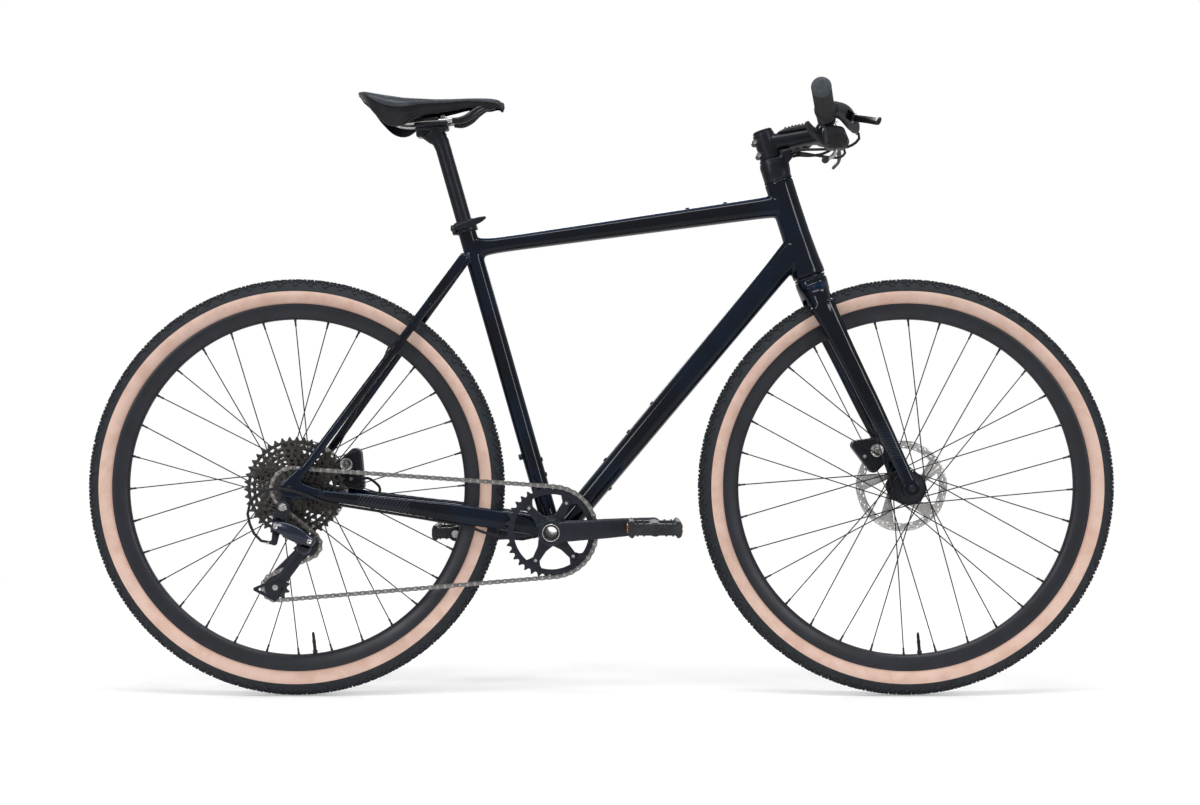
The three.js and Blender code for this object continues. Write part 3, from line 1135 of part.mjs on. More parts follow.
function rearHoseBody() {
  const [, high, , low] = sized(rotor.radius, rearCaliperShares);
  const face = (share) => rearHub.clone().add(
    vec(mix(low[0] + low[2], high[0] + high[2], share), rearHubSize.rotorPlane, mix(low[1], high[1],
      share)));
  const start = face(0.24).add(vec(clearance, 0, 0));
  const ahead = start.clone().add(vec(hose.radius * 3, 0, 0));
  const end = besideStay(0.307, 1, 1, 0);
  const above = end.clone().add(vec(0, 0, hose.radius * 3));
  return cord([start, ahead, above, end], hose.radius, 8);
}

// The rear shift housing leaves a port behind the bottom bracket, runs below the right chainstay, round
// behind the axle and into the derailleur. Its first points, from the crank's centre, and its loop, from
// the axle, are in shares of the housing's loop size
const earlyShares = [[-0.55, -0.305, -0.14], [-0.77, -0.35, -0.11], [-1.05, -0.4, -0.05]];
const stayRunShares = [0.669, 0.59, 0.51, 0.42, 0.328, 0.26, 0.191, 0.15];
const loopShares = [[0.55, -0.735, -0.225], [0.47, -0.83, -0.172], [0.13, -0.88, -0.038],
  [-0.13, -0.89, 0.016], [-0.36, -0.89, -0.01], [-0.57, -0.89, -0.142], [-0.666, -0.89, -0.356],
  [-0.628, -0.88, -0.597], [-0.52, -0.86, -0.8]];
function rearHousingBody() {
  const early = sized(hose.loop, earlyShares).map((point) => vec(...point).add(crankCentre));
  const loop = sized(hose.loop, loopShares).map((point) => vec(...point).add(rearHub));
  const plane = (mountInner + mountOuter) / 2;
  const ends = [3, 1].map((share) => stopAt.clone().setY(-plane)
    .add(vec(-derailleur.stopRadius * share - clearance * 2, 0, 0)));
  return cord([
    portTip.clone().addScaledVector(portAhead, clearance),
    portTip.clone().addScaledVector(portAhead, hose.radius * 3),
    ...early,
    ...stayRunShares.map((share) => besideStay(share, -1, -1, hose.radius * 1.1)),
    ...loop,
    ...ends,
  ], hose.radius, 34);
}

// Derailleur: mount, links, end knuckle
function linksBody(grow = 0) {
  const radius = derailleur.linkTall / 2 + grow;
  return plate(wrapped([[linkStart.x, linkStart.z, radius], [linkEnd.x, linkEnd.z, radius]]),
    -linkPlane - derailleur.linkThick - grow, -linkPlane + grow);
}

function mountBody() {
  const arm = plate(wrapped([[hangerEye.x, hangerEye.z, derailleur.knuckleRadius],
    [linkStart.x, linkStart.z, derailleur.jointRadius]]), -mountOuter, -mountInner);
  const stop = plate(wrapped([[linkStart.x, linkStart.z, derailleur.jointRadius * 0.8],
    [stopAt.x, stopAt.z, derailleur.stopRadius]]), -mountOuter, -mountInner);
  return cut(joined(arm, stop), swept(linksBody(linkRoom), linkPivot, linkAxis, linkTurns));
}

function knuckleBody() {
  const core = sleeve(guideCentre, derailleur.endKnuckle, 0, -mountOuter, -derailleur.endInner, 14);
  const lug = plate(wrapped([[guideCentre.x, guideCentre.z, derailleur.endKnuckle * 0.7],
    [linkEnd.x, linkEnd.z, derailleur.jointRadius]]), -mountOuter, -mountOuter + derailleur.mountThick);
  return cut(joined(core, lug), swept(linksBody(linkRoom), knucklePivot, linkAxis, linkTurns));
}

// Seatpost and saddle: x along the rails, z square to them, from the middle of the clamp
const railCentre = onSeatAxis(post.top + rails.rise).addScaledVector(seatAhead, -rails.back);
const railTurn = degToRad(rails.tilt);
const railAhead = vec(Math.cos(railTurn), 0, Math.sin(railTurn));
const railGroup = new THREE.Group();
railGroup.position.copy(railCentre);
railGroup.rotation.y = -railTurn;
const inRails = (world) => {
  const arm = world.clone().sub(railCentre);
  return vec(arm.dot(railAhead), arm.y, arm.z * railAhead.x - arm.x * railAhead.z);
};
const railRoom = () => [-1, 1].map((side) => rod(vec(-rails.headHalf * 2, side * rails.spread, 0),
  vec(rails.headHalf * 2, side * rails.spread, 0), turningBore(rails.radius, 8), 8));

function postBody() {
  const foot = inRails(onSeatAxis(seatTube.length - post.insert));
  const top = inRails(onSeatAxis(post.top));
  const tube = rod(foot, top, post.radius, 16);
  const end = rails.headHalf;
  const head = plate(wrapped([[-end * 0.82, -rails.headDeep * 0.6, rails.headDeep * 0.38],
    [end * 0.82, -rails.headDeep * 0.6, rails.headDeep * 0.38],
    [top.x, top.z, post.radius]]), -rails.headDeep, rails.headDeep);
  const wings = box(-rails.wingHalf, rails.wingHalf, -rails.headWide, rails.headWide, -rails.headDeep * 0.75,
    -rails.seatGap);
  const holes = [-1, 1].map((side) => rod(vec(side * rails.boltOut * 0.8, 0, -rails.headDeep * 3),
    vec(side * rails.boltOut * 0.8, 0, overrun), rails.boltRadius + clearance, 10));
  return cut(joined(tube, head, wings), holes, railRoom());
}

function railClampBody() {
  const bridge = box(-rails.boltOut, rails.boltOut, -rails.headDeep * 0.6, rails.headDeep * 0.6,
    rails.seatGap,
    rails.clampTall);
  const wings = box(-rails.wingHalf, rails.wingHalf, -rails.headWide, rails.headWide, rails.seatGap,
    rails.clampTall);
  const bolts = [-1, 1].map((side) => rod(vec(side * rails.boltOut * 0.8, 0, -rails.headDeep * 1.5),
    vec(side * rails.boltOut * 0.8, 0, rails.clampTall + rails.seatGap), rails.boltRadius, 10));
  return cut(joined(bridge, wings, bolts), railRoom());
}

// Rail route behind and ahead of its straight part, as shares of the saddle's length: from the tail,
// out from the middle, and below the top
const railRearShares = [[0.118, 0.09, -0.037], [0.163, 0.09, -0.11], [0.24, 0.09, -0.167]];
const railFrontShares = [[0.725, 0.086, -0.145], [0.807, 0.061, -0.124], [0.855, 0.033, -0.112]];
const saddlePoint = (x, y, down) => inRails(vec(saddle.tailX + x, y, saddle.height + down));
const railsBody = (grow = 0) => {
  const reach = rails.headHalf + rails.slide;
  const bend = (shares) => sized(saddle.length, shares).map(([x, y, down]) => saddlePoint(x, -y, down));
  const half = [
    ...bend(railRearShares),
    ...[-1, -0.75, 0.75, 1].map((share) => vec(reach * share, -rails.spread, 0)),
    ...bend(railFrontShares),
  ];
  const [last, before] = [half.at(-1), half.at(-2)];
  const nose = last.clone().addScaledVector(last.clone().sub(before), 0.4).setY(0);
  const other = [...half].reverse().map((point) => vec(point.x, -point.y, point.z));
  const stations = [...half, nose, ...other].map((at) => ({ at, wide: rails.radius + grow,
    tall: rails.radius + grow }));
  return loft(stations, 6, 1, vec(0, 0, 1));
};

// Saddle stations: shares of the length, half width, top, seam and skirt
const saddleShares = [
  [0, 0.5, 1, 0.35, 0.14],
  [0.05, 0.84, 0.86, -0.12, 0.28],
  [0.12, 0.97, 0.6, -0.5, 0.68],
  [0.21, 1, 0.3, -0.92, 0.95],
  [0.31, 0.94, -0.1, -1, 0.95],
  [0.44, 0.65, -0.25, -0.65, 0.62],
  [0.55, 0.44, -0.25, -0.46, 0.53],
  [0.66, 0.32, -0.12, -0.34, 0.44],
  [0.78, 0.26, 0.06, -0.24, 0.34],
  [0.9, 0.24, 0.06, -0.3, 0.38],
  [0.97, 0.19, -0.2, -0.4, 0.24],
  [1, 0.1, -0.7, -0.75, 0.14],
];
const saddleStations = saddleShares.map(([along, wide, top, seam, skirt]) => ({
  x: saddle.length * along,
  half: saddle.halfWidth * wide,
  top: saddle.crown * top,
  seam: (seam > 0 ? saddle.crown : saddle.dip) * seam,
  skirt: saddle.skirt * skirt,
}));
// The block under the nose that holds the rails: shares of the length, and of the dip at its top and foot
const noseShares = [[0.72, -0.22, -1.15], [0.8, -0.18, -1.35], [0.9, -0.2, -1.3]];

function saddleCoverBody() {
  const steps = 12;
  return skin(saddleStations.map(({ x, half, top, seam }) => {
    const rise = Math.max(top - seam, saddle.crown * 0.3);
    const crown = Array.from({ length: steps + 1 }, (_, i) => {
      const angle = (Math.PI * i) / steps;
      const out = Math.sign(Math.cos(angle)) * Math.abs(Math.cos(angle)) ** 0.8;
      return saddlePoint(x, half * out, seam + rise * Math.sin(angle) ** 0.75);
    });
    const under = [-0.55, 0.55].map((share) => saddlePoint(x, half * share, seam + rise * saddle.padShare));
    return [...crown, ...under];
  }));
}

function saddleShellBody() {
  const wall = saddle.shellWall;
  const rings = saddleStations.map(({ x, half, top, seam, skirt }) => {
    const rise = Math.max(top - seam, saddle.crown * 0.3) * saddle.padShare;
    const low = seam - Math.max(skirt, wall * 1.5);
    const side = half * 0.97;
    const inner = Math.max(side - wall, side * 0.5);
    const roof = seam + rise;
    const edge = seam;
    const right = [[-side, edge], [-side, low], [-inner, low], [-inner, edge - wall],
      [-half * 0.5, roof - wall]];
    const left = [...right].reverse().map(([y, z]) => [-y, z]);
    return [[half * 0.55, roof], [-half * 0.55, roof], ...right, ...left].map(([y, z]) =>
      saddlePoint(x, y, z));
  });
  const nose = skin(noseShares.map(([along, top, low]) => {
    const half = saddle.halfWidth * 0.15;
    return [[half, top], [-half, top], [-half, low], [half, low]].map(([y, share]) =>
      saddlePoint(saddle.length * along, y, saddle.dip * share));
  }));
  const seat = saddleCoverBody().translate([0, 0, -clearance]);
  return cut(joined(skin(rings), nose), railsBody(clearance), seat);
}

// Assembly
const bike = new THREE.Group();
const fixed = new THREE.Group();
const clampParts = seatClampBody();
piece(fixed, 'frame', frameBody(), finishes.frame);
piece(fixed, 'bottom_bracket', bottomBracketBody(), finishes.anodised);
piece(fixed, 'headset_race', headsetRaceBody(), finishes.anodised);
piece(fixed, 'seat_clamp', clampParts.body, finishes.anodised);
piece(fixed, 'seat_clamp_lever', seatClampLeverBody(clampParts.pivot), finishes.anodised);
piece(fixed, 'derailleur_hanger', hangerBody(), finishes.anodised);
const rearAxle = new THREE.Group();
rearAxle.position.copy(rearHub);
const rearFace = rearHubSize.half + clearance + dropout.thick;
piece(rearAxle, 'rear_axle', axleBody(rearFace, rearFace + dropout.rightInset), finishes.anodised);
fixed.add(rearAxle);
piece(fixed, 'rear_caliper', caliperBody(rearHub, rearHubSize.rotorPlane, rearCaliperShares, [
  grownStay(clearance)]), finishes.black);
piece(fixed, 'rear_brake_hose', rearHoseBody(), finishes.hose);
piece(fixed, 'rear_shift_housing', rearHousingBody(), finishes.hose);

piece(steering, 'fork', forkBody(), finishes.fork);
piece(steering, 'headset_cover', headsetCoverBody(), finishes.anodised);
piece(steering, 'stem', stemBody(), finishes.anodised);
piece(steering, 'top_cap', topCapBody(), finishes.anodised);
const frontAxle = new THREE.Group();
frontAxle.position.set(forkRake, 0, 0);
const frontFace = fork.innerFace + fork.tipThick;
piece(frontAxle, 'front_axle', axleBody(frontFace, frontFace), finishes.anodised);
steering.add(frontAxle);
piece(steering, 'front_caliper', caliperBody(vec(forkRake, 0, 0), frontHubSize.rotorPlane,
  frontCaliperShares, [
  bladeBody(1, clearance)]), finishes.black);

piece(cockpit, 'handlebar', barBody(), finishes.anodised);
for (const [name, side] of [['right', -1], ['left', 1]]) {
  piece(cockpit, `grip_${name}`, gripBody(side), finishes.rubber);
  piece(cockpit, `brake_lever_housing_${name}`, leverBodyOf(side), finishes.black);
  piece(cockpit, `brake_lever_${name}`, joined(bladeStrip(side), bladeRoot(side, lever.rootRadius)),
    finishes.black);
  piece(cockpit, `front_hose_${name}`, cockpitHose(side), finishes.hose);
}
const grownLeverHousing = loft(leverSpine.map(([x, y, z, r]) => ({ at: vec(x, y, z), wide: r + clearance,
  tall: r + clearance })), 8, 0.9, vec(0, 0, 1));
piece(cockpit, 'shifter', shifterBody(grownLeverHousing), finishes.black);
piece(cockpit, 'shift_thumb_lever', thumbBody(), finishes.steel);
piece(cockpit, 'shift_paddle', paddleBody(), finishes.black);
piece(cockpit, 'front_shift_housing', cockpitHousing(), finishes.hose);

piece(railGroup, 'seatpost', postBody(), finishes.anodised);
piece(railGroup, 'rail_clamp', railClampBody(), finishes.anodised);
piece(railGroup, 'saddle_rails', railsBody(), finishes.steel);
piece(railGroup, 'saddle_shell', saddleShellBody(), finishes.shell);
piece(railGroup, 'saddle_cover', saddleCoverBody(), finishes.saddle);

const drive = new THREE.Group();
piece(drive, 'crank_right', crankArmBody(-1), finishes.crank);
piece(drive, 'crank_left', crankArmBody(1), finishes.crank);
piece(drive, 'chainring', chainringBody(), finishes.crank);
piece(drive, 'pedal_right', pedalBody(-1), finishes.black);
piece(drive, 'pedal_left', pedalBody(1), finishes.black);
piece(drive, 'chain', chainBody(), finishes.chain);
piece(drive, 'cassette', cassetteBody(), finishes.dark);
piece(drive, 'freehub', freehubBody(), finishes.anodised);
piece(drive, 'derailleur_mount', mountBody(), finishes.black);
piece(drive, 'derailleur_links', linksBody(), finishes.black);
piece(drive, 'derailleur_knuckle', knuckleBody(), finishes.black);
piece(drive, 'derailleur_cage', cageBody(), finishes.black);
piece(drive, 'tension_pulley', pulleyBody(tensionCentre, 2), finishes.black);
piece(drive, 'guide_pulley', pulleyBody(guideCentre, 3), finishes.black);

addWheel(bike, rearHub, 'rear', rearHubSize, rearHubSize.driverSeat);
addWheel(bike, frontHub, 'front', frontHubSize, 0);
bike.add(fixed, steering, cockpit, railGroup, drive);

export default bike;
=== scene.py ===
"""Looks for the gravel bike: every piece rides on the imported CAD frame."""

import math
import random
from itertools import product

import bmesh
import bpy
from bpy.props import FloatProperty, FloatVectorProperty, IntProperty, PointerProperty
from mathutils import Matrix, Vector


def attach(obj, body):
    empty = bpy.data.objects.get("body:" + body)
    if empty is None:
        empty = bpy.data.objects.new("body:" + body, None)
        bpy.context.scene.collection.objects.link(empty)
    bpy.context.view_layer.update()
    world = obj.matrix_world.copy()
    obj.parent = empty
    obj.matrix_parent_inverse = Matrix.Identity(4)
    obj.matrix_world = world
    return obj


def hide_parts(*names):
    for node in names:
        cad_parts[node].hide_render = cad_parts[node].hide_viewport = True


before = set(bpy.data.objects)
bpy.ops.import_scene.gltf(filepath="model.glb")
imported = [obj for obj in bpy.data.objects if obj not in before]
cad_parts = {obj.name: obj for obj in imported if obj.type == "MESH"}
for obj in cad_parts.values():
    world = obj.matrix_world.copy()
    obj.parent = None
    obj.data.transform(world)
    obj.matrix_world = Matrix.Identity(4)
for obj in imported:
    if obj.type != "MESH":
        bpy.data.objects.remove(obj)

bl_info = {
    "name": "Gravel bike looks",
    "version": (1, 0, 0),
    "blender": (4, 5, 0),
    "location": "View3D > Sidebar > Bike",
    "description": "Builds the tyres, frame, drive, cockpit and seat of a gravel bike",
    "category": "Object",
}

FULL = 2 * math.pi
rad = math.radians


def mix(first, last, share):
    """The value at a share of the way from one to another."""
    return first + (last - first) * share


def polar(radius, angle):
    """The (x, z) place at an angle round the origin."""
    return radius * math.cos(angle), radius * math.sin(angle)


def around(count, start=0.0):
    """Evenly spaced angles of a full turn."""
    return [start + FULL * i / count for i in range(count)]


# Places that the CAD model fixes, in metres
WHEEL_RADIUS = 0.358
REAR = Vector((-0.524, 0, WHEEL_RADIUS))
FRONT = Vector((0.524, 0, WHEEL_RADIUS))
CRANK = Vector((-0.0848, 0, 0.2846))
STEER_LEAN = rad(-18)
STEER_AHEAD = Vector((math.cos(STEER_LEAN), 0, -math.sin(STEER_LEAN)))
STEER_UP = Vector((math.sin(STEER_LEAN), 0, math.cos(STEER_LEAN)))
FORK_RAKE = 0.0457
STEER_FOOT = FRONT - FORK_RAKE * STEER_AHEAD
SEAT_LEAN = rad(74.06 - 90)
SEAT_UP = Vector((math.sin(SEAT_LEAN), 0, math.cos(SEAT_LEAN)))
SEAT_AHEAD = Vector((SEAT_UP.z, 0, -SEAT_UP.x))
CHAIN_PLANE = -0.05
ARM_LENGTH = 0.1725
ARM_TURN = rad(4.2)
POST_TOP = 0.697
RAIL_CENTRE = CRANK + SEAT_UP * (POST_TOP + 0.0327) - SEAT_AHEAD * 0.007
RAIL_TURN = rad(4)
STEM_BAR = Vector((0.1019, 0, 0.6219))
BAR_CENTRE = STEER_FOOT + STEER_AHEAD * STEM_BAR.x + STEER_UP * STEM_BAR.z
ALONG_X, ALONG_Y = Vector((1, 0, 0)), Vector((0, 1, 0))


def placed(origin, ahead=ALONG_X, up=Vector((0, 0, 1))):
    """The matrix of a place whose x points ahead and z up."""
    side = up.cross(ahead).normalized()
    turn = Matrix((ahead, side, up)).transposed().to_4x4()
    return Matrix.Translation(origin) @ turn


def level(at, across=0.0):
    """The place beside the part's middle plane at the x and z of a point."""
    return Matrix.Translation(Vector((at.x, across, at.z)))


ON_STEERER = placed(STEER_FOOT, STEER_AHEAD, STEER_UP)
ON_SEAT_TUBE = placed(CRANK, SEAT_AHEAD, SEAT_UP)
ON_REAR, ON_FRONT, ON_CRANK, ON_BAR = (Matrix.Translation(at) for at in (REAR, FRONT, CRANK, BAR_CENTRE))
ON_FORK_END = placed(FRONT, STEER_AHEAD, STEER_UP)
ON_RAILS = placed(RAIL_CENTRE, Vector((math.cos(RAIL_TURN), 0, math.sin(RAIL_TURN))),
                  Vector((-math.sin(RAIL_TURN), 0, math.cos(RAIL_TURN))))
UPRIGHT = Matrix.Rotation(math.pi / 2, 4, "X")
WHEELS = (("front", ON_FRONT), ("rear", ON_REAR))
SIDES = ((-1, "right"), (1, "left"))


# Sizes and colours that a user would change

def length(name, description, default):
    """A length property in metres."""
    return FloatProperty(name=name, description=description, default=default, min=0,
                         unit="LENGTH", precision=4)


def colour(name, description, default):
    """A colour property, in linear values."""
    return FloatVectorProperty(name=name, description=description, default=default, size=3,
                               min=0, max=1, subtype="COLOR")


class BikeWheelSizes(bpy.types.PropertyGroup):
    """Sizes of the wheels"""
    casing_width: length("Casing width", "Width of the tyre across its casing", 0.0446)
    knob_height: length("Knob height", "How far the tread knobs stand up", 0.0024)
    knobs_round: IntProperty(name="Knobs round", description="Knobs in one row of the tread",
                             default=168, min=24)
    tan_radius: length("Tan wall radius", "Radius where the tan side wall ends", 0.3356)
    rim_depth: length("Rim depth", "Depth of the rim from the tyre to its inner edge", 0.028)
    spoke_thick: length("Spoke thickness", "Diameter of one spoke", 0.002)


class BikeFrameSizes(bpy.types.PropertyGroup):
    """Sizes of the frame's surface"""
    voxel: length("Weld grain", "Voxel size of the fused tubes, which sets how soft a weld is", 0.002)
    fine_voxel: length("Fine grain", "Voxel size of the small forged pieces", 0.0009)


class BikeColours(bpy.types.PropertyGroup):
    """Colours of the finishes, in linear values"""
    frame_paint: colour("Frame paint", "Gloss paint of the frame", (0.0035, 0.0042, 0.0075))
    paint_tint: colour("Paint tint", "Blue that the paint shows in the light", (0.003, 0.008, 0.02))
    # Painted sky reflection: the blue painted on the paint where it faces up, in place of the reflected
    # sky.
    painted_sky_reflection: colour("Paint from above", "Blue of the paint where it faces up", (0.004, 0.024, 0.07))
    stripes: colour("Stripes", "Satin stripes on the fork and the chainstay", (0.022, 0.024, 0.03))
    anodised: colour("Anodised parts", "Satin black aluminium", (0.022, 0.024, 0.031))
    plastic: colour("Plastic", "Black moulded plastic", (0.011, 0.012, 0.016))
    tread: colour("Tread", "Rubber of the tread", (0.0125, 0.016, 0.021))
    tan_wall: colour("Tan wall", "Bare casing of the side wall", (0.80, 0.575, 0.48))
    rim: colour("Rim", "Satin coat of the rim", (0.0165, 0.018, 0.026))
    spokes: colour("Spokes", "Coated spokes", (0.03, 0.031, 0.034))
    steel: colour("Steel", "Bare steel", (0.62, 0.61, 0.6))
    cogs: colour("Cogs", "Coated steel of the cassette", (0.066, 0.063, 0.06))
    chain: colour("Chain", "Plated steel of the chain", (0.27, 0.265, 0.255))
    crank: colour("Crank", "Satin coat of the crank and the chainring", (0.017, 0.021, 0.031))
    gloss_blue: colour("Derailleur", "Glossy coat of the derailleur", (0.008, 0.017, 0.04))
    grip: colour("Grips", "Soft rubber of the grips", (0.012, 0.0125, 0.014))
    grip_end: colour("Grip ends", "Smooth ends of the grips", (0.045, 0.055, 0.066))
    saddle: colour("Saddle cover", "Smooth cover of the saddle", (0.022, 0.031, 0.045))
    shell: colour("Saddle shell", "Glossy shell of the saddle", (0.006, 0.0065, 0.009))
    hose: colour("Hoses", "Outer skin of the hoses", (0.009, 0.01, 0.012))
    reflector: colour("Reflectors", "Amber reflectors of the pedals", (0.75, 0.16, 0.015))
    floor: colour("Floor", "Pale floor of the studio", (0.86, 0.86, 0.87))


SETTINGS = {"bike_wheels": BikeWheelSizes, "bike_frame": BikeFrameSizes, "bike_colours": BikeColours}


def settings(group):
    """The scene's settings of one group."""
    return getattr(bpy.context.scene, group)


# Shader maths

def operation(name, swapped=False):
    """A method of Socket that adds one Math node."""
    def method(self, other):
        return self.maths(name, *((other, self) if swapped else (self, other)))
    return method


class Socket:
    """A shader value that takes part in expressions. Each operation adds one Math node."""

    def __init__(self, shader, socket):
        self.shader = shader
        self.socket = socket

    def maths(self, kind, *inputs, clamp=False):
        return self.shader.node("ShaderNodeMath", {"operation": kind, "use_clamp": clamp},
                                dict(enumerate(inputs)))

    __add__, __radd__ = operation("ADD"), operation("ADD", True)
    __sub__, __rsub__ = operation("SUBTRACT"), operation("SUBTRACT", True)
    __mul__, __truediv__, __pow__ = operation("MULTIPLY"), operation("DIVIDE"), operation("POWER")

    def alone(self, kind):
        """A Math node that takes one value, such as SINE."""
        return self.maths(kind, self)

    def soft(self, low, high):
        """0 below low, 1 above high, and smooth between them."""
        return self.shader.node("ShaderNodeMapRange", {"interpolation_type": "SMOOTHSTEP"},
                                {"Value": self, "From Min": low, "From Max": high})

    def clipped(self):
        return self.maths("ADD", self, 0.0, clamp=True)

    def around_half(self, amount):
        """A change to either side of nothing, from a value round 0.5."""
        return (self - 0.5) * amount

    def band(self, low, high, edge=0.0004, end=None):
        """1 between low and high."""
        return self.soft(low, low + edge) * (1.0 - self.soft(high, high + (end or edge)))


class Shader:
    """The nodes of one material, or of the world."""

    def __init__(self, owner):
        self.owner = owner
        owner.use_nodes = True
        self.tree = owner.node_tree

    def node(self, kind, options=None, values=None, out=0):
        """Adds a node: its options first, then the values or links of its sockets."""
        new = self.tree.nodes.new(kind)
        for key, value in (options or {}).items():
            setattr(new, key, value)
        for key, value in (values or {}).items():
            self.feed(new.inputs[key], value)
        return Socket(self, new.outputs[out])

    def feed(self, socket, value):
        if isinstance(value, Socket):
            self.tree.links.new(value.socket, socket)
        elif hasattr(value, "__len__") and len(value) == 3 and socket.type == "RGBA":
            socket.default_value = (*value, 1)
        else:
            socket.default_value = value

    def blend(self, factor, first, second):
        """A colour between two colours."""
        return self.node("ShaderNodeMix", {"data_type": "RGBA"}, {0: factor, 6: first, 7: second}, 2)

    def place(self):
        return self.node("ShaderNodeTexCoord", out="Object")

    def parts(self, vector):
        split = self.node("ShaderNodeSeparateXYZ", None, {0: vector})
        return [Socket(self, output) for output in split.socket.node.outputs]

    def stretched(self, scale):
        """The place, scaled along each axis."""
        shifted = self.node("ShaderNodeVectorMath", {"operation": "SUBTRACT"},
                            {0: self.place(), 1: (0, 0, 0)})
        return self.node("ShaderNodeVectorMath", {"operation": "MULTIPLY"}, {0: shifted, 1: scale})

    def noise(self, scale, detail=2.0, roughness=0.5, vector=None):
        return self.node("ShaderNodeTexNoise", None, {
            "Vector": vector or self.place(), "Scale": scale, "Detail": detail,
            "Roughness": roughness})

    def cells(self, scale, feature="F1"):
        return self.node("ShaderNodeTexVoronoi", {"feature": feature}, {
            "Vector": self.place(), "Scale": scale})

    def edges(self):
        """1 on convex edges, 0.5 on flats."""
        return self.node("ShaderNodeNewGeometry", out="Pointiness")

    def bump(self, height, strength, distance=0.0002):
        return self.node("ShaderNodeBump", None, {
            "Height": height, "Strength": strength, "Distance": distance})

    def finish(self, base, rough, normal, **sockets):
        """Feeds the Principled sockets, named with underscores for spaces."""
        surface = self.tree.nodes["Principled BSDF"]
        fed = {"Base Color": base, "Roughness": rough, "Normal": normal, **sockets}
        for key, value in fed.items():
            self.feed(surface.inputs[key.replace("_", " ")], value)
        return self.owner


FINISHES = {}


def finish(name):
    """The finish of that name, made the first time it is asked for."""
    if name not in FINISHES:
        shader = Shader(bpy.data.materials.new(name))
        FINISHES[name] = FINISH_MAKERS[name](shader, settings("bike_colours"))
    return FINISHES[name]


def toned(tone, gain, lift=0.0):
    """A lighter or darker tone. gain is one factor, or one for each channel."""
    gains = gain if isinstance(gain, tuple) else (gain,) * 3
    return tuple(c * g + lift for c, g in zip(tone, gains))


def paint_bands(shader, tones, stripes):
    """Gloss paint with a faint tint, a painted blue sky reflection on faces that point up, and satin
    stripes where the mask is 1.
    """
    cloud = shader.noise(9.0, 2.0)
    flake = shader.noise(2400.0, 1.0)
    tinted = shader.blend(cloud.soft(0.42, 0.66), tones.frame_paint, tones.paint_tint)
    # Painted sky reflection: a blue put on the faces that point up, in place of the reflected sky; the
    # flake specks share its colour.
    rise = shader.parts(shader.node("ShaderNodeNewGeometry", out="Normal"))[2]
    sky_reflection_mask = rise.soft(0.45, 0.95) * 0.8
    flakes_and_sky_reflection = shader.blend(sky_reflection_mask + flake.soft(0.6, 0.75) * 0.2, tinted, tones.painted_sky_reflection)
    base = shader.blend(stripes, flakes_and_sky_reflection, tones.stripes)
    dust = shader.noise(60.0, 3.0).soft(0.45, 0.8)
    rough = 0.1 + dust * 0.05 + stripes * 0.22
    peel = shader.noise(420.0, 1.0)
    return shader.finish(base, rough, shader.bump(peel, 0.05), Coat_Weight=0.2, Coat_Roughness=0.04,
                         Specular_IOR_Level=0.16)


def make_frame_paint(shader, tones):
    """Diagonal stripes on the outer side of the right chainstay."""
    x, y, z = shader.parts(shader.place())
    along = x * 0.985 - z * 0.17
    slanted = x - z * 0.7
    lines = (slanted / 0.0062).alone("FRACT").band(0.42, 0.9, 0.08)
    window = x.band(-0.411, -0.325) * (1.0 - z.soft(0.345, 0.347))
    side = y.band(-0.2, -0.045, 0.001)
    fade = 1.0 - along.soft(-0.39, -0.34) * 0.5
    return paint_bands(shader, tones, lines * window * side * fade)


def make_fork_paint(shader, tones):
    """Fine level stripes on the lower half of each blade's outer side."""
    x, _, z = shader.parts(shader.place())
    lines = (z / 0.0042).alone("FRACT").band(0.5, 0.92, 0.06)
    window = z.band(0.41, 0.47)
    fade = 1.0 - z.soft(0.43, 0.47) * 0.75
    return paint_bands(shader, tones, lines * window * fade * x.soft(0.3, 0.31))


def make_satin(shader, tone, roughness=0.36, metallic=0.75, grain=1600.0, wear=0.25):
    """Bead-blasted and anodised or coated metal, brighter along its edges."""
    speck = shader.noise(grain, 2.0)
    cloud = shader.noise(40.0, 3.0)
    edge = shader.edges().soft(0.53, 0.62) * wear
    worn = tuple(min(1.0, c) for c in toned(tone, 3, 0.02))
    base = shader.blend(edge, shader.blend(cloud.soft(0.4, 0.7), tone, toned(tone, 0.75)), worn)
    rough = roughness + cloud.around_half(0.12) + speck.around_half(0.1)
    return shader.finish(base, rough.clipped(), shader.bump(speck, 0.12), Metallic=metallic)


def make_anodised(shader, tones):
    return make_satin(shader, tones.anodised, 0.34, 0.7)


def make_crank(shader, tones):
    return make_satin(shader, tones.crank, 0.4, 0.45, 1900.0, 0.3)


def make_spoke(shader, tones):
    return make_satin(shader, tones.spokes, 0.34, 0.8, 2600.0, 0.0)


def make_rim(shader, tones):
    """Satin coat with faint rings from turning."""
    grain = shader.noise(700.0, 2.0)
    rings = shader.noise(320.0, 1.0, vector=shader.stretched((1, 6, 1)))
    cloud = shader.noise(22.0, 3.0)
    base = shader.blend(cloud.soft(0.35, 0.7), tones.rim, toned(tones.rim, 0.72))
    rough = 0.42 + cloud.around_half(0.16) + rings.around_half(0.08)
    return shader.finish(base, rough, shader.bump(grain, 0.08), Metallic=0.25, Coat_Weight=0.12,
                         Coat_Roughness=0.3)


def make_plastic(shader, tones):
    """Moulded plastic with a fine spark-eroded grain."""
    grain = shader.cells(1500.0)
    cloud = shader.noise(55.0, 3.0)
    base = shader.blend(cloud.soft(0.42, 0.72), tones.plastic, toned(tones.plastic, 1.7, 0.003))
    return shader.finish(base, 0.42 + cloud.around_half(0.22), shader.bump(grain, 0.16, 0.0003))


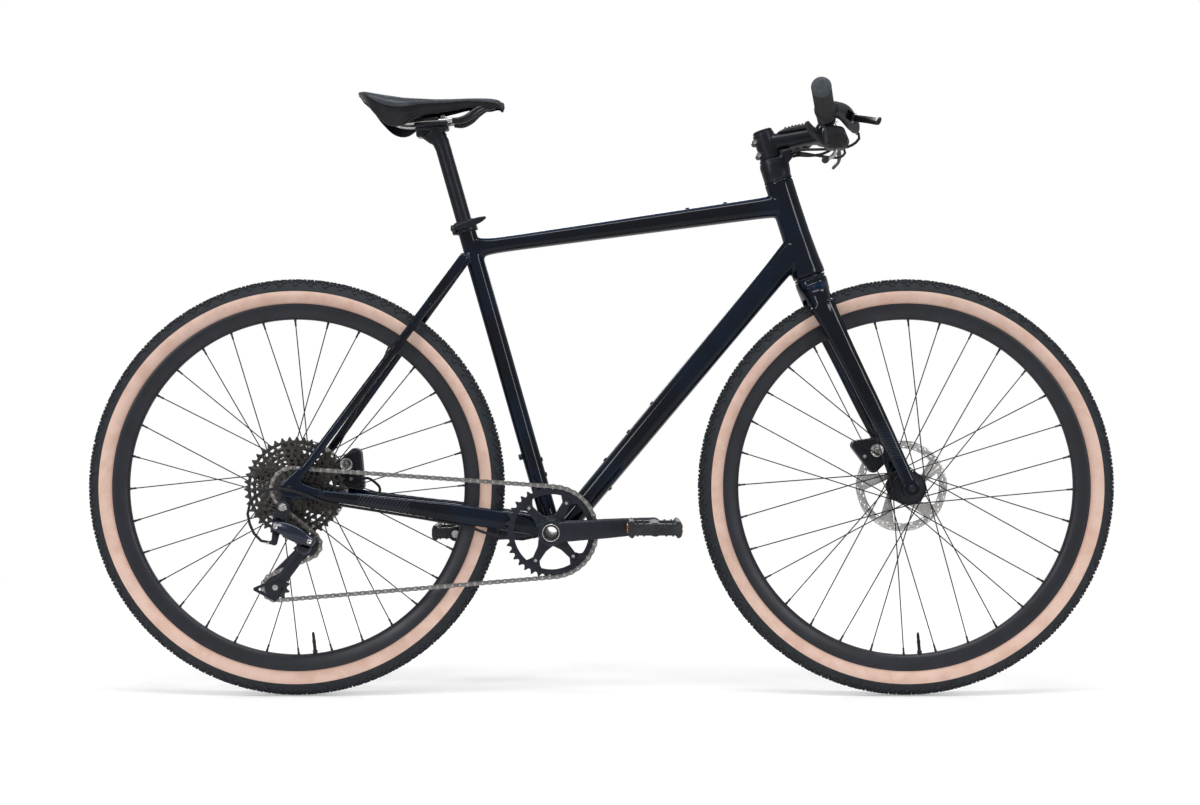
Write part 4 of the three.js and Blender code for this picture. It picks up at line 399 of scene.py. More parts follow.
def make_tread(shader, tones):
    """Black rubber with dusty patches, and lighter on its convex edges."""
    dust = shader.noise(120.0, 4.0, 0.62)
    fine = shader.noise(900.0, 2.0)
    high = shader.edges().soft(0.5, 0.6)
    dusty = toned(tones.tread, 2.1, 0.006)
    base = shader.blend(dust.soft(0.42, 0.78) * 0.6, tones.tread, dusty)
    # Lighter on the convex edges of the knobs.
    base = shader.blend(high * 0.4, base, dusty)
    rough = 0.78 + dust.around_half(0.3)
    return shader.finish(base, rough.clipped(), shader.bump(fine + dust, 0.35, 0.0004))


def make_tan_wall(shader, tones):
    """Bare casing: crossed threads under a thin skin, with scuffs, and darker in a narrow band next to the
    rim.
    """
    x, _, z = shader.parts(shader.place())
    ahead = x.alone("ABSOLUTE") - abs(REAR.x)
    up = z - WHEEL_RADIUS
    ring = (ahead * ahead + up * up).alone("SQRT")
    run = up.maths("ARCTAN2", up, ahead) * 0.326
    threads = [(run + ring * lean) / 0.0011 for lean in (1.0, -1.0)]
    waves = [(thread * FULL).alone("SINE") for thread in threads]
    weave = (waves[0] + waves[1]) * 0.25 + 0.5
    cloud = shader.noise(34.0, 4.0, 0.6)
    scuff = shader.noise(260.0, 3.0, 0.7).soft(0.62, 0.82)
    deep = toned(tones.tan_wall, (0.88, 0.8, 0.76))
    dark_tan = toned(tones.tan_wall, (0.62, 0.5, 0.44))
    base = shader.blend(cloud.soft(0.36, 0.72), tones.tan_wall, deep)
    base = shader.blend(weave * 0.14, base, deep)
    base = shader.blend(scuff * 0.16, base, dark_tan)
    # Darker in a narrow band next to the rim.
    rim_side = 1.0 - ring.soft(0.3165, 0.3185)
    base = shader.blend(rim_side * 0.55, base, dark_tan)
    return shader.finish(base, 0.62 + cloud.around_half(0.16), shader.bump(weave, 0.22))


def make_metal(shader, tone, roughness, brushed=0.0, oil_and_shade=0.3):
    """Bare metal with fine scratches and a little oil, darker in its creases: oil there, and painted shade.
    """
    scratch = shader.noise(900.0, 3.0, 0.65, shader.stretched((1, 7, 1)))
    oil = shader.noise(75.0, 4.0, 0.6).soft(0.45, 0.75)
    oil_and_shade_tone = toned(tone, 0.42)
    # Darker in the creases: oil there, and painted shade.
    low = 1.0 - shader.edges().soft(0.42, 0.5)
    base = shader.blend(oil * oil_and_shade, tone, oil_and_shade_tone)
    base = shader.blend(low * oil_and_shade, base, oil_and_shade_tone)
    rough = roughness + scratch.around_half(0.16 + brushed) + oil * 0.08
    return shader.finish(base, rough.clipped(), shader.bump(scratch, 0.08), Metallic=0.95)


def make_steel(shader, tones):
    return make_metal(shader, tones.steel, 0.24)


def make_cogs(shader, tones):
    return make_metal(shader, tones.cogs, 0.36, 0.1, 0.5)


def make_chain(shader, tones):
    return make_metal(shader, tones.chain, 0.34, 0.05, 0.45)


def make_disc(shader, tones):
    """Ground steel, with a warm tint where it gets hot."""
    rings = shader.noise(500.0, 2.0, 0.6)
    heat = shader.noise(30.0, 2.0).soft(0.5, 0.8)
    base = shader.blend(heat * 0.4, tones.steel, toned(tones.steel, (0.9, 0.84, 0.78)))
    return shader.finish(base, 0.3 + rings.around_half(0.2), shader.bump(rings, 0.1), Metallic=0.9)


def make_grip(shader, tones):
    """Soft rubber with a fine knurl between the ribs."""
    knurl = shader.cells(700.0, "DISTANCE_TO_EDGE")
    cloud = shader.noise(60.0, 3.0)
    base = shader.blend(cloud.soft(0.4, 0.75), tones.grip, toned(tones.grip, 2, 0.004))
    return shader.finish(base, 0.74 + cloud.around_half(0.2), shader.bump(knurl, 0.35, 0.0004))


def make_grip_end(shader, tones):
    cloud = shader.noise(160.0, 3.0)
    base = shader.blend(cloud.soft(0.4, 0.7), tones.grip_end, toned(tones.grip_end, 0.7))
    return shader.finish(base, 0.55 + cloud.around_half(0.14), shader.bump(cloud, 0.08))


def make_saddle(shader, tones):
    """Smooth synthetic leather: pebbled grain and a low sheen."""
    pebble = shader.cells(620.0, "DISTANCE_TO_EDGE")
    fold = shader.noise(90.0, 3.0)
    base = shader.blend(fold.soft(0.35, 0.7), tones.saddle, toned(tones.saddle, 0.6))
    rough = 0.46 + fold.around_half(0.14) + pebble.soft(0.0, 0.1).around_half(-0.08)
    height = pebble.soft(0.0, 0.16) + fold * 0.6
    return shader.finish(base, rough, shader.bump(height, 0.2, 0.0003), Coat_Weight=0.1,
                         Coat_Roughness=0.4)


def make_shell(shader, tones):
    """Glossy moulded shell."""
    cloud = shader.noise(45.0, 3.0)
    base = shader.blend(cloud.soft(0.45, 0.75), tones.shell, toned(tones.shell, 2))
    return shader.finish(base, 0.2 + (cloud - 0.4) * 0.1, shader.bump(cloud, 0.04), Coat_Weight=0.12,
                         Coat_Roughness=0.06, Specular_IOR_Level=0.3)


def make_hose(shader, tones):
    """Extruded skin with a faint braid under it."""
    braid = shader.cells(900.0)
    cloud = shader.noise(70.0, 3.0)
    base = shader.blend(cloud.soft(0.4, 0.75), tones.hose, toned(tones.hose, 2, 0.004))
    return shader.finish(base, 0.4 + cloud.around_half(0.2), shader.bump(braid, 0.12))


def make_gloss_blue(shader, tones):
    """Glossy dark blue coat of the derailleur's body."""
    cloud = shader.noise(60.0, 3.0)
    base = shader.blend(cloud.soft(0.35, 0.7), tones.gloss_blue, toned(tones.gloss_blue, 0.5))
    return shader.finish(base, 0.2 + cloud.around_half(0.1), shader.bump(cloud, 0.05), Coat_Weight=0.5,
                         Coat_Roughness=0.08, Metallic=0.35)


def make_reflector(shader, tones):
    """Amber lens with small prisms."""
    prism = shader.cells(420.0)
    base = shader.blend(prism.soft(0.1, 0.6), toned(tones.reflector, 0.35), tones.reflector)
    return shader.finish(base, 0.14 + prism * 0.1, shader.bump(prism, 0.3, 0.0004), Coat_Weight=0.6)


FINISH_MAKERS = {
    "frame_paint": make_frame_paint, "fork_paint": make_fork_paint, "anodised": make_anodised,
    "plastic": make_plastic, "tread": make_tread, "tan_wall": make_tan_wall, "rim_coat": make_rim,
    "spoke_coat": make_spoke, "steel": make_steel, "cog_steel": make_cogs, "chain_steel": make_chain,
    "disc_steel": make_disc, "crank_coat": make_crank, "grip_rubber": make_grip,
    "grip_end": make_grip_end, "saddle_cover": make_saddle, "saddle_shell": make_shell,
    "hose_skin": make_hose, "reflector": make_reflector, "gloss_blue": make_gloss_blue,
}


# Mesh building

def circle(x, z, radius, count=32):
    """Points of a circle in the plane of x and z."""
    return [(x + dx, z + dz) for dx, dz in (polar(radius, angle) for angle in around(count))]


def wrapped(discs, count=28):
    """The outline of a band wrapped round discs of (x, z, radius)."""
    points = sorted(point for x, z, radius in discs for point in circle(x, z, radius, count))

    def half(row):
        kept = []
        for point in row:
            while len(kept) > 1:
                (ax, az), (bx, bz) = kept[-2:]
                if (bx - ax) * (point[1] - az) - (bz - az) * (point[0] - ax) > 1e-12:
                    break
                kept.pop()
            kept.append(point)
        return kept[:-1]

    return half(points) + half(points[::-1])


def web(count, *discs):
    """The outline wrapped round discs that are given as points and radii."""
    return wrapped([(at.x, at.z, radius) for at, radius in discs], count)


def arc(radius, first, last, count=16):
    """Points of an arc round the origin, with both ends."""
    return [polar(radius, mix(first, last, i / count)) for i in range(count + 1)]


def smooth_route(points, steps=6):
    """A smooth line through points, by Catmull-Rom spans."""
    points = [Vector(p) for p in points]
    ends = [points[0] * 2 - points[1], *points, points[-1] * 2 - points[-2]]
    line = []
    for a, b, c, d in zip(ends, ends[1:], ends[2:], ends[3:]):
        for i in range(steps):
            t = i / steps
            line.append(0.5 * (2 * b + (c - a) * t + (2 * a - 5 * b + 4 * c - d) * t * t
                               + (3 * b - a - 3 * c + d) * t ** 3))
    return line + [points[-1]]


class Shape:
    """A mesh that grows by closed bodies."""

    def __init__(self):
        self.bm = bmesh.new()

    def take(self, bm, place=None):
        """Adds another mesh, moved to its place, and frees it."""
        if place is not None:
            bmesh.ops.transform(bm, matrix=place, verts=bm.verts)
        mesh = bpy.data.meshes.new("part")
        bm.to_mesh(mesh)
        bm.free()
        self.bm.from_mesh(mesh)
        bpy.data.meshes.remove(mesh)
        return self

    def outward(self):
        """The same shape, with its faces turned outward."""
        bmesh.ops.recalc_face_normals(self.bm, faces=self.bm.faces)
        return self

    def rings(self, rings, closed=False, tag=0):
        """Joins rings of points into a skin. closed joins the last ring to the first."""
        bm = self.bm
        rows = [[bm.verts.new(point) for point in ring] for ring in rings]
        count = len(rows[0])
        made = []
        for a, b in zip(rows, rows[1:] + ([rows[0]] if closed else [])):
            for k in range(count):
                made.append(bm.faces.new((a[k], a[(k + 1) % count], b[(k + 1) % count], b[k])))
        if not closed:
            made += [bm.faces.new(rows[0][::-1]), bm.faces.new(rows[-1])]
        for face in made:
            face.material_index = tag
        return self

    def turned(self, profile, sides=64, place=Matrix(), tag=0):
        """A closed outline of (radius, height) points turned round the place's y axis."""
        part = Shape().rings([[(r * math.cos(a), y, r * math.sin(a)) for r, y in profile]
                              for a in around(sides)], closed=True, tag=tag)
        bmesh.ops.remove_doubles(part.bm, verts=part.bm.verts, dist=1e-6)
        flat = [f for f in part.bm.faces if f.calc_area() < 1e-13]
        bmesh.ops.delete(part.bm, geom=flat, context="FACES_ONLY")
        return self.take(part.outward().bm, place)

    def drum(self, radius, low, high, sides=48, place=Matrix(), edge=(0, 0), tag=0):
        """A turned drum between two heights. edge is how far its rims are cut, inward and along."""
        inset, along = edge
        rim = [(radius, low + along), (radius, high - along)]
        if inset:
            rim = [(radius - inset, low), *rim, (radius - inset, high)]
        return self.turned([(0, low), *rim, (0, high)], sides, place, tag)

    def loft(self, stations, sides=32, square=1.0, hint=ALONG_Y, place=Matrix(), smooth=5, tag=0,
             dome=0.0):
        """A tube of rounded sections: stations of (centre, half width, half height)."""
        rows = [(Vector(at), wide, tall) for at, wide, tall in stations]
        if smooth > 1 and len(rows) > 2:
            centres = smooth_route([row[0] for row in rows], smooth)
            spans = smooth_route([(row[1], row[2], 0) for row in rows], smooth)
            rows = [(at, size.x, size.y) for at, size in zip(centres, spans)]
        if dome:
            at, wide, tall = rows[-1]
            out = (at - rows[-2][0]).normalized() * wide * dome
            rows += [(at + out * share, wide * math.sqrt(1 - share ** 2), tall * math.sqrt(1 - share ** 2))
                     for share in (0.4, 0.7, 0.9, 0.98)]
        rings = []
        for i, (at, wide, tall) in enumerate(rows):
            along = (rows[min(i + 1, len(rows) - 1)][0] - rows[max(i - 1, 0)][0]).normalized()
            side = (hint - along * along.dot(hint)).normalized()
            up = along.cross(side)
            ring = []
            for k in range(sides):
                c, s = (math.copysign(abs(part) ** square, part)
                        for part in polar(1.0, FULL * (k + 0.5) / sides))
                ring.append(at + side * wide * c + up * tall * s)
            rings.append(ring)
        return self.take(Shape().rings(rings, tag=tag).outward().bm, place)

    def moved(self, place):
        """The same shape, put in a place."""
        self.bm.transform(place)
        return self

    def rod(self, start, end, radius, sides=20, place=Matrix(), tag=0):
        """A round rod between two points."""
        start, end = Vector(start), Vector(end)
        hint = ALONG_Y if abs((end - start).normalized().y) < 0.9 else ALONG_X
        return self.loft([(start, radius, radius), (end, radius, radius)], sides, 1.0, hint, place, 1,
                         tag)

    def tube(self, points, radius, sides=12, place=Matrix(), steps=6):
        """A round cord along a smooth route, with one radius or one for each point."""
        radii = list(radius) if isinstance(radius, (list, tuple)) else [radius] * len(points)
        route = smooth_route(points, steps)
        radii = [spot.x for spot in smooth_route([(r, 0, 0) for r in radii], steps)]
        tangents = [(route[min(i + 1, len(route) - 1)] - route[max(i - 1, 0)]).normalized()
                    for i in range(len(route))]
        side = tangents[0].orthogonal().normalized()
        rings = []
        for at, along, thick in zip(route, tangents, radii):
            side = (side - along * along.dot(side)).normalized()
            up = along.cross(side)
            rings.append([at + (side * math.cos(a) + up * math.sin(a)) * thick for a in around(sides)])
        return self.take(Shape().rings(rings).outward().bm, place)

    def plate(self, outlines, low, high, edge=0.0003, place=Matrix()):
        """A flat piece: an outline of (x, z) points and its holes, from one y to another."""
        curve = bpy.data.curves.new("plate", "CURVE")
        curve.dimensions = "2D"
        curve.fill_mode = "BOTH"
        edge = min(edge, (high - low) * 0.45)
        curve.extrude = (high - low) / 2 - edge
        curve.bevel_depth = edge
        curve.bevel_resolution = 1
        curve.offset = -edge
        for outline in outlines:
            spline = curve.splines.new("POLY")
            spline.points.add(len(outline) - 1)
            for point, (x, z) in zip(spline.points, outline):
                point.co = (x, z, 0, 1)
            spline.use_cyclic_u = True
        holder = bpy.data.objects.new("plate", curve)
        mesh = bpy.data.meshes.new_from_object(holder)
        bm = bmesh.new()
        bm.from_mesh(mesh)
        bpy.data.objects.remove(holder)
        bpy.data.curves.remove(curve)
        bpy.data.meshes.remove(mesh)
        bmesh.ops.remove_doubles(bm, verts=bm.verts, dist=1e-7)
        bmesh.ops.rotate(bm, verts=bm.verts, matrix=UPRIGHT.to_3x3())
        bmesh.ops.translate(bm, verts=bm.verts, vec=(0, (low + high) / 2, 0))
        return self.take(bm, place)

    def block(self, low, high, edge=0.001, place=Matrix()):
        """A box with rounded edges."""
        (x0, y0, z0), (x1, y1, z1) = low, high
        part = Shape().rings([[(x0, y, z0), (x1, y, z0), (x1, y, z1), (x0, y, z1)] for y in (y0, y1)])
        bmesh.ops.bevel(part.outward().bm, geom=part.bm.edges, offset=edge, segments=2,
                        affect="EDGES", profile=0.5)
        return self.take(part.bm, place)

    def bolt(self, at, out, radius, tall):
        """A bolt head with a round socket, that faces along out."""
        out = Vector(out).normalized()
        ahead = out.orthogonal().normalized()
        turn = Matrix((ahead, out, ahead.cross(out))).transposed().to_4x4()
        deep, hole = tall * 0.55, radius * 0.55
        return self.turned([(0, -tall * 0.5), (radius, -tall * 0.5), (radius, tall * 0.7),
                            (radius * 0.86, tall), (hole, tall), (hole, tall - deep), (0, tall - deep)],
                           24, Matrix.Translation(at) @ turn)


def holder_of(shape):
    """An object in the scene with the shape's mesh, for a modifier to work on. Frees the shape."""
    mesh = bpy.data.meshes.new("part")
    shape.bm.to_mesh(mesh)
    shape.bm.free()
    holder = bpy.data.objects.new("part", mesh)
    bpy.context.scene.collection.objects.link(holder)
    return holder


def shape_after(holder, *tools):
    """The shape that the holder's modifiers make. The holder and its tools are removed."""
    bpy.context.view_layer.update()
    made = holder.evaluated_get(bpy.context.evaluated_depsgraph_get())
    mesh = bpy.data.meshes.new_from_object(made)
    result = Shape()
    result.bm.from_mesh(mesh)
    bpy.data.meshes.remove(mesh)
    for used in (holder, *tools):
        data = used.data
        bpy.data.objects.remove(used)
        bpy.data.meshes.remove(data)
    return result


def joined_skin(shape, voxel, smoothing=6):
    """One closed skin round everything in the shape, with soft inner corners."""
    holder = holder_of(shape)
    remesh = holder.modifiers.new("skin", "REMESH")
    remesh.mode = "VOXEL"
    remesh.voxel_size = voxel
    result = shape_after(holder)
    for _ in range(smoothing):
        bmesh.ops.smooth_vert(result.bm, verts=result.bm.verts, factor=0.5,
                              use_axis_x=True, use_axis_y=True, use_axis_z=True)
    return result


def fine_skin(shape, smoothing, coarser=1.0):
    """The joined skin of a small forged or moulded piece."""
    return joined_skin(shape, settings("bike_frame").fine_voxel * coarser, smoothing)


def cut_away(shape, cutter):
    """Takes the cutter's room out of the shape."""
    body, tool = holder_of(shape), holder_of(cutter)
    boolean = body.modifiers.new("cut", "BOOLEAN")
    boolean.operation = "DIFFERENCE"
    boolean.solver = "MANIFOLD"
    boolean.object = tool
    return shape_after(body, tool)


def piece(name, shape, finishes, body, replaces=(), sharp=35):
    """Makes the object, dresses it, and hands it to the CAD body that carries it."""
    mesh = bpy.data.meshes.new(name)
    shape.bm.to_mesh(mesh)
    shape.bm.free()
    mesh.shade_smooth()
    mesh.set_sharp_from_angle(angle=rad(sharp))
    for made in (finishes if isinstance(finishes, list) else [finishes]):
        mesh.materials.append(finish(made))
    thing = bpy.data.objects.new(name, mesh)
    bpy.context.scene.collection.objects.link(thing)
    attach(thing, body)
    if replaces:
        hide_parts(*replaces)
    return thing


# The operators, one for each group of pieces

class BikeOperator:
    """What the operators share: they run build and report that they are done."""

    bl_options = {"REGISTER", "UNDO"}

    def execute(self, context):
        self.build()
        return {"FINISHED"}


class BIKE_OT_stage(BikeOperator, bpy.types.Operator):
    """Adds the camera, the soft studio light and the pale floor"""

    bl_idname = "bike.stage"
    bl_label = "Studio"

    # Lamps: name, place and aim in metres, width, length and watts
    LAMPS = [
        ("overhead", (0.0, -0.9, 3.0), (0.0, 0.0, 0.4), 3.4, 0.5, 44),
        ("front_left", (-2.6, -3.0, 1.9), (-0.1, 0.0, 0.5), 0.6, 1.7, 34),
        ("front_right", (2.7, -2.9, 1.6), (0.1, 0.0, 0.5), 0.55, 1.6, 26),
        ("rear", (0.2, 3.0, 1.9), (0.0, 0.0, 0.5), 3.0, 1.2, 36),
    ]
    CAMERA_PLACE = (-0.0025, -2.9, 0.5035)
    SENSOR_MM, LENS_MM = 36, 50.49
    SKY, GLOW = 0.42, 0.3
    FLOOR_HALF, NEAR_FLOOR, FAR_FLOOR = 14, 1.1, 2.6

    def build(self):
        self.camera()
        self.world()
        self.floor()
        for name, place, aim, wide, tall, power in self.LAMPS:
            data = bpy.data.lights.new(name, "AREA")
            data.shape, data.size, data.size_y, data.energy = "RECTANGLE", wide, tall, power
            lamp = bpy.data.objects.new(name, data)
            lamp.location = place
            look = Vector(aim) - Vector(place)
            lamp.rotation_euler = look.to_track_quat("-Z", "Y").to_euler()
            bpy.context.scene.collection.objects.link(lamp)

    def camera(self):
        data = bpy.data.cameras.new("camera")
        data.sensor_width, data.lens = self.SENSOR_MM, self.LENS_MM
        camera = bpy.data.objects.new("camera", data)
        camera.location = self.CAMERA_PLACE
        camera.rotation_euler = (math.pi / 2, 0, 0)
        bpy.context.scene.collection.objects.link(camera)
        bpy.context.scene.camera = camera
        bpy.context.scene.view_settings.view_transform = "Standard"

    @staticmethod
    def seen(shader):
        """1 for the rays that show the white background."""
        path = shader.node("ShaderNodeLightPath")
        outputs = path.socket.node.outputs
        rays = [Socket(shader, outputs[f"Is {ray} Ray"]) for ray in ("Camera", "Transmission")]
        return (rays[0] + rays[1]).clipped()

    def world(self):
        world = bpy.data.worlds.new("studio")
        bpy.context.scene.world = world
        shader = Shader(world)
        white = self.seen(shader)
        back = world.node_tree.nodes["Background"]
        shader.feed(back.inputs["Color"], (1, 1, 1))
        shader.feed(back.inputs["Strength"], self.SKY + white * (1 - self.SKY))

    def floor(self):
        shader = Shader(bpy.data.materials.new("floor"))
        white = self.seen(shader)
        tone = settings("bike_colours").floor
        grain = shader.noise(30.0, 2.0)
        shade = shader.blend(grain * 0.1, tone, toned(tone, 0.97))
        matte = shader.node("ShaderNodeBsdfDiffuse", None, {"Color": shade})
        glow = shader.node("ShaderNodeEmission", None, {
            "Color": (1, 1, 1), "Strength": white * self.GLOW})
        near = shader.node("ShaderNodeAddShader", None, {0: matte, 1: glow})
        far = shader.node("ShaderNodeEmission", None, {
            "Color": (1, 1, 1), "Strength": self.SKY + white * (1 - self.SKY)})
        x, y = shader.parts(shader.place())[:2]
        away = ((x * x + y * y) ** 0.5).soft(self.NEAR_FLOOR, self.FAR_FLOOR)
        both = shader.node("ShaderNodeMixShader", None, {0: away, 1: near, 2: far})
        shader.feed(shader.tree.nodes["Material Output"].inputs["Surface"], both)
        bm = bmesh.new()
        bmesh.ops.create_grid(bm, x_segments=8, y_segments=8, size=self.FLOOR_HALF)
        mesh = bpy.data.meshes.new("floor")
        bm.to_mesh(mesh)
        bm.free()
        mesh.materials.append(shader.owner)
        floor = bpy.data.objects.new("floor", mesh)
        bpy.context.scene.collection.objects.link(floor)


class BIKE_OT_tyres(BikeOperator, bpy.types.Operator):
    """Builds the tyres: casing with tan walls, and a tread of small knobs"""

    bl_idname = "bike.tyres"
    bl_label = "Tyres"

    # rows of knobs: angle across the casing in degrees, length round, width across, stagger, sides
    KNOB_ROWS = [(0, 0.0062, 0.0040, 0.0, 6), (13, 0.0058, 0.0040, 0.5, 6), (25, 0.0064, 0.0044, 0.0, 6),
                 (38, 0.0074, 0.0050, 0.5, 8), (52, 0.0086, 0.0062, 0.0, 8)]
    INNER_RADIUS = 0.312
    SIDE_SWEEP = rad(142)
    STEPS_ACROSS, STEPS_ROUND = 44, 300
    BEAD_RADIUS, BEAD_HALF = 0.3125, 0.010974
    TREAD_SEED = 5

    def build(self):
        sizes = settings("bike_wheels")
        half = sizes.casing_width / 2
        outer = WHEEL_RADIUS - sizes.knob_height
        tall = (outer - self.INNER_RADIUS) / 2
        for wheel, centre in WHEELS:
            self.casing(wheel, centre, outer - tall, tall, half, sizes)
            self.tread(wheel, centre, outer - tall, tall, half, sizes)

    def casing(self, wheel, centre, middle, tall, half, sizes):
        """The casing: its middle radius, half its height and half its width give the oval section."""
        rows = []
        for i in range(self.STEPS_ACROSS + 1):
            angle = mix(self.SIDE_SWEEP, -self.SIDE_SWEEP, i / self.STEPS_ACROSS)
            rows.append((middle + tall * math.cos(angle), half * math.sin(angle)))
        bead = [(self.BEAD_RADIUS, side * self.BEAD_HALF) for side in (-1, 1)]
        shape = Shape().turned(rows + bead, self.STEPS_ROUND, centre)
        x, z = centre.translation.x, centre.translation.z
        for face in shape.bm.faces:
            at = face.calc_center_median()
            ring = math.hypot(at.x - x, at.z - z)
            face.material_index = 1 if ring < sizes.tan_radius and abs(at.y) > 0.006 else 0
        piece(f"{wheel}_tyre_casing", shape, ["tread", "tan_wall"], f"{wheel}_wheel",
              [f"{wheel}_tyre"], sharp=60)

    def tread(self, wheel, centre, middle, tall, half, sizes):
        tread = Shape()
        chance = random.Random(self.TREAD_SEED)
        count = sizes.knobs_round
        for across, long, wide, stagger, sides in self.KNOB_ROWS:
            edge_row = across == self.KNOB_ROWS[-1][0]
            for side in ((1,) if across == 0 else (1, -1)):
                angle = rad(across) * side
                base = Vector((middle + tall * math.cos(angle), half * math.sin(angle)))
                out = Vector((math.cos(angle) / tall, math.sin(angle) / half)).normalized()
                over = Vector((-out.y, out.x))
                rise = sizes.knob_height * (0.98 if across < 30 else 0.9)
                low, high = base - out * 0.0012, base + out * rise
                for i in range(count):
                    if edge_row and i % 2:
                        continue
                    turn = FULL * (i + stagger + chance.uniform(-0.06, 0.06)) / count
                    size = 1.0 + (0.25 if (i + int(across)) % 3 == 0 else 0.0)
                    self.knob(tread.bm, low, high, over, turn, long * size, wide, sides)
        bmesh.ops.transform(tread.bm, matrix=centre, verts=tread.bm.verts)
        piece(f"{wheel}_tyre_tread", tread, "tread", f"{wheel}_wheel", sharp=30)

    @staticmethod
    def knob(bm, low, high, over, turn, long, wide, sides):
        """One tread knob: a tapered block of that many sides."""
        rows = []
        for spot, share in ((low, 1.12), (high, 0.84)):
            row = []
            for angle in around(sides, math.pi / sides):
                ahead = long / 2 * math.cos(angle) * share
                place = spot + over * (wide / 2 * math.sin(angle) * share * 1.15)
                spin = turn + ahead / WHEEL_RADIUS
                row.append(bm.verts.new((place.x * math.cos(spin), place.y, place.x * math.sin(spin))))
            rows.append(row)
        for k in range(sides):
            nearest = (k + 1) % sides
            bm.faces.new((rows[0][k], rows[0][nearest], rows[1][nearest], rows[1][k]))
        bm.faces.new(rows[1])
        bm.faces.new(rows[0][::-1])


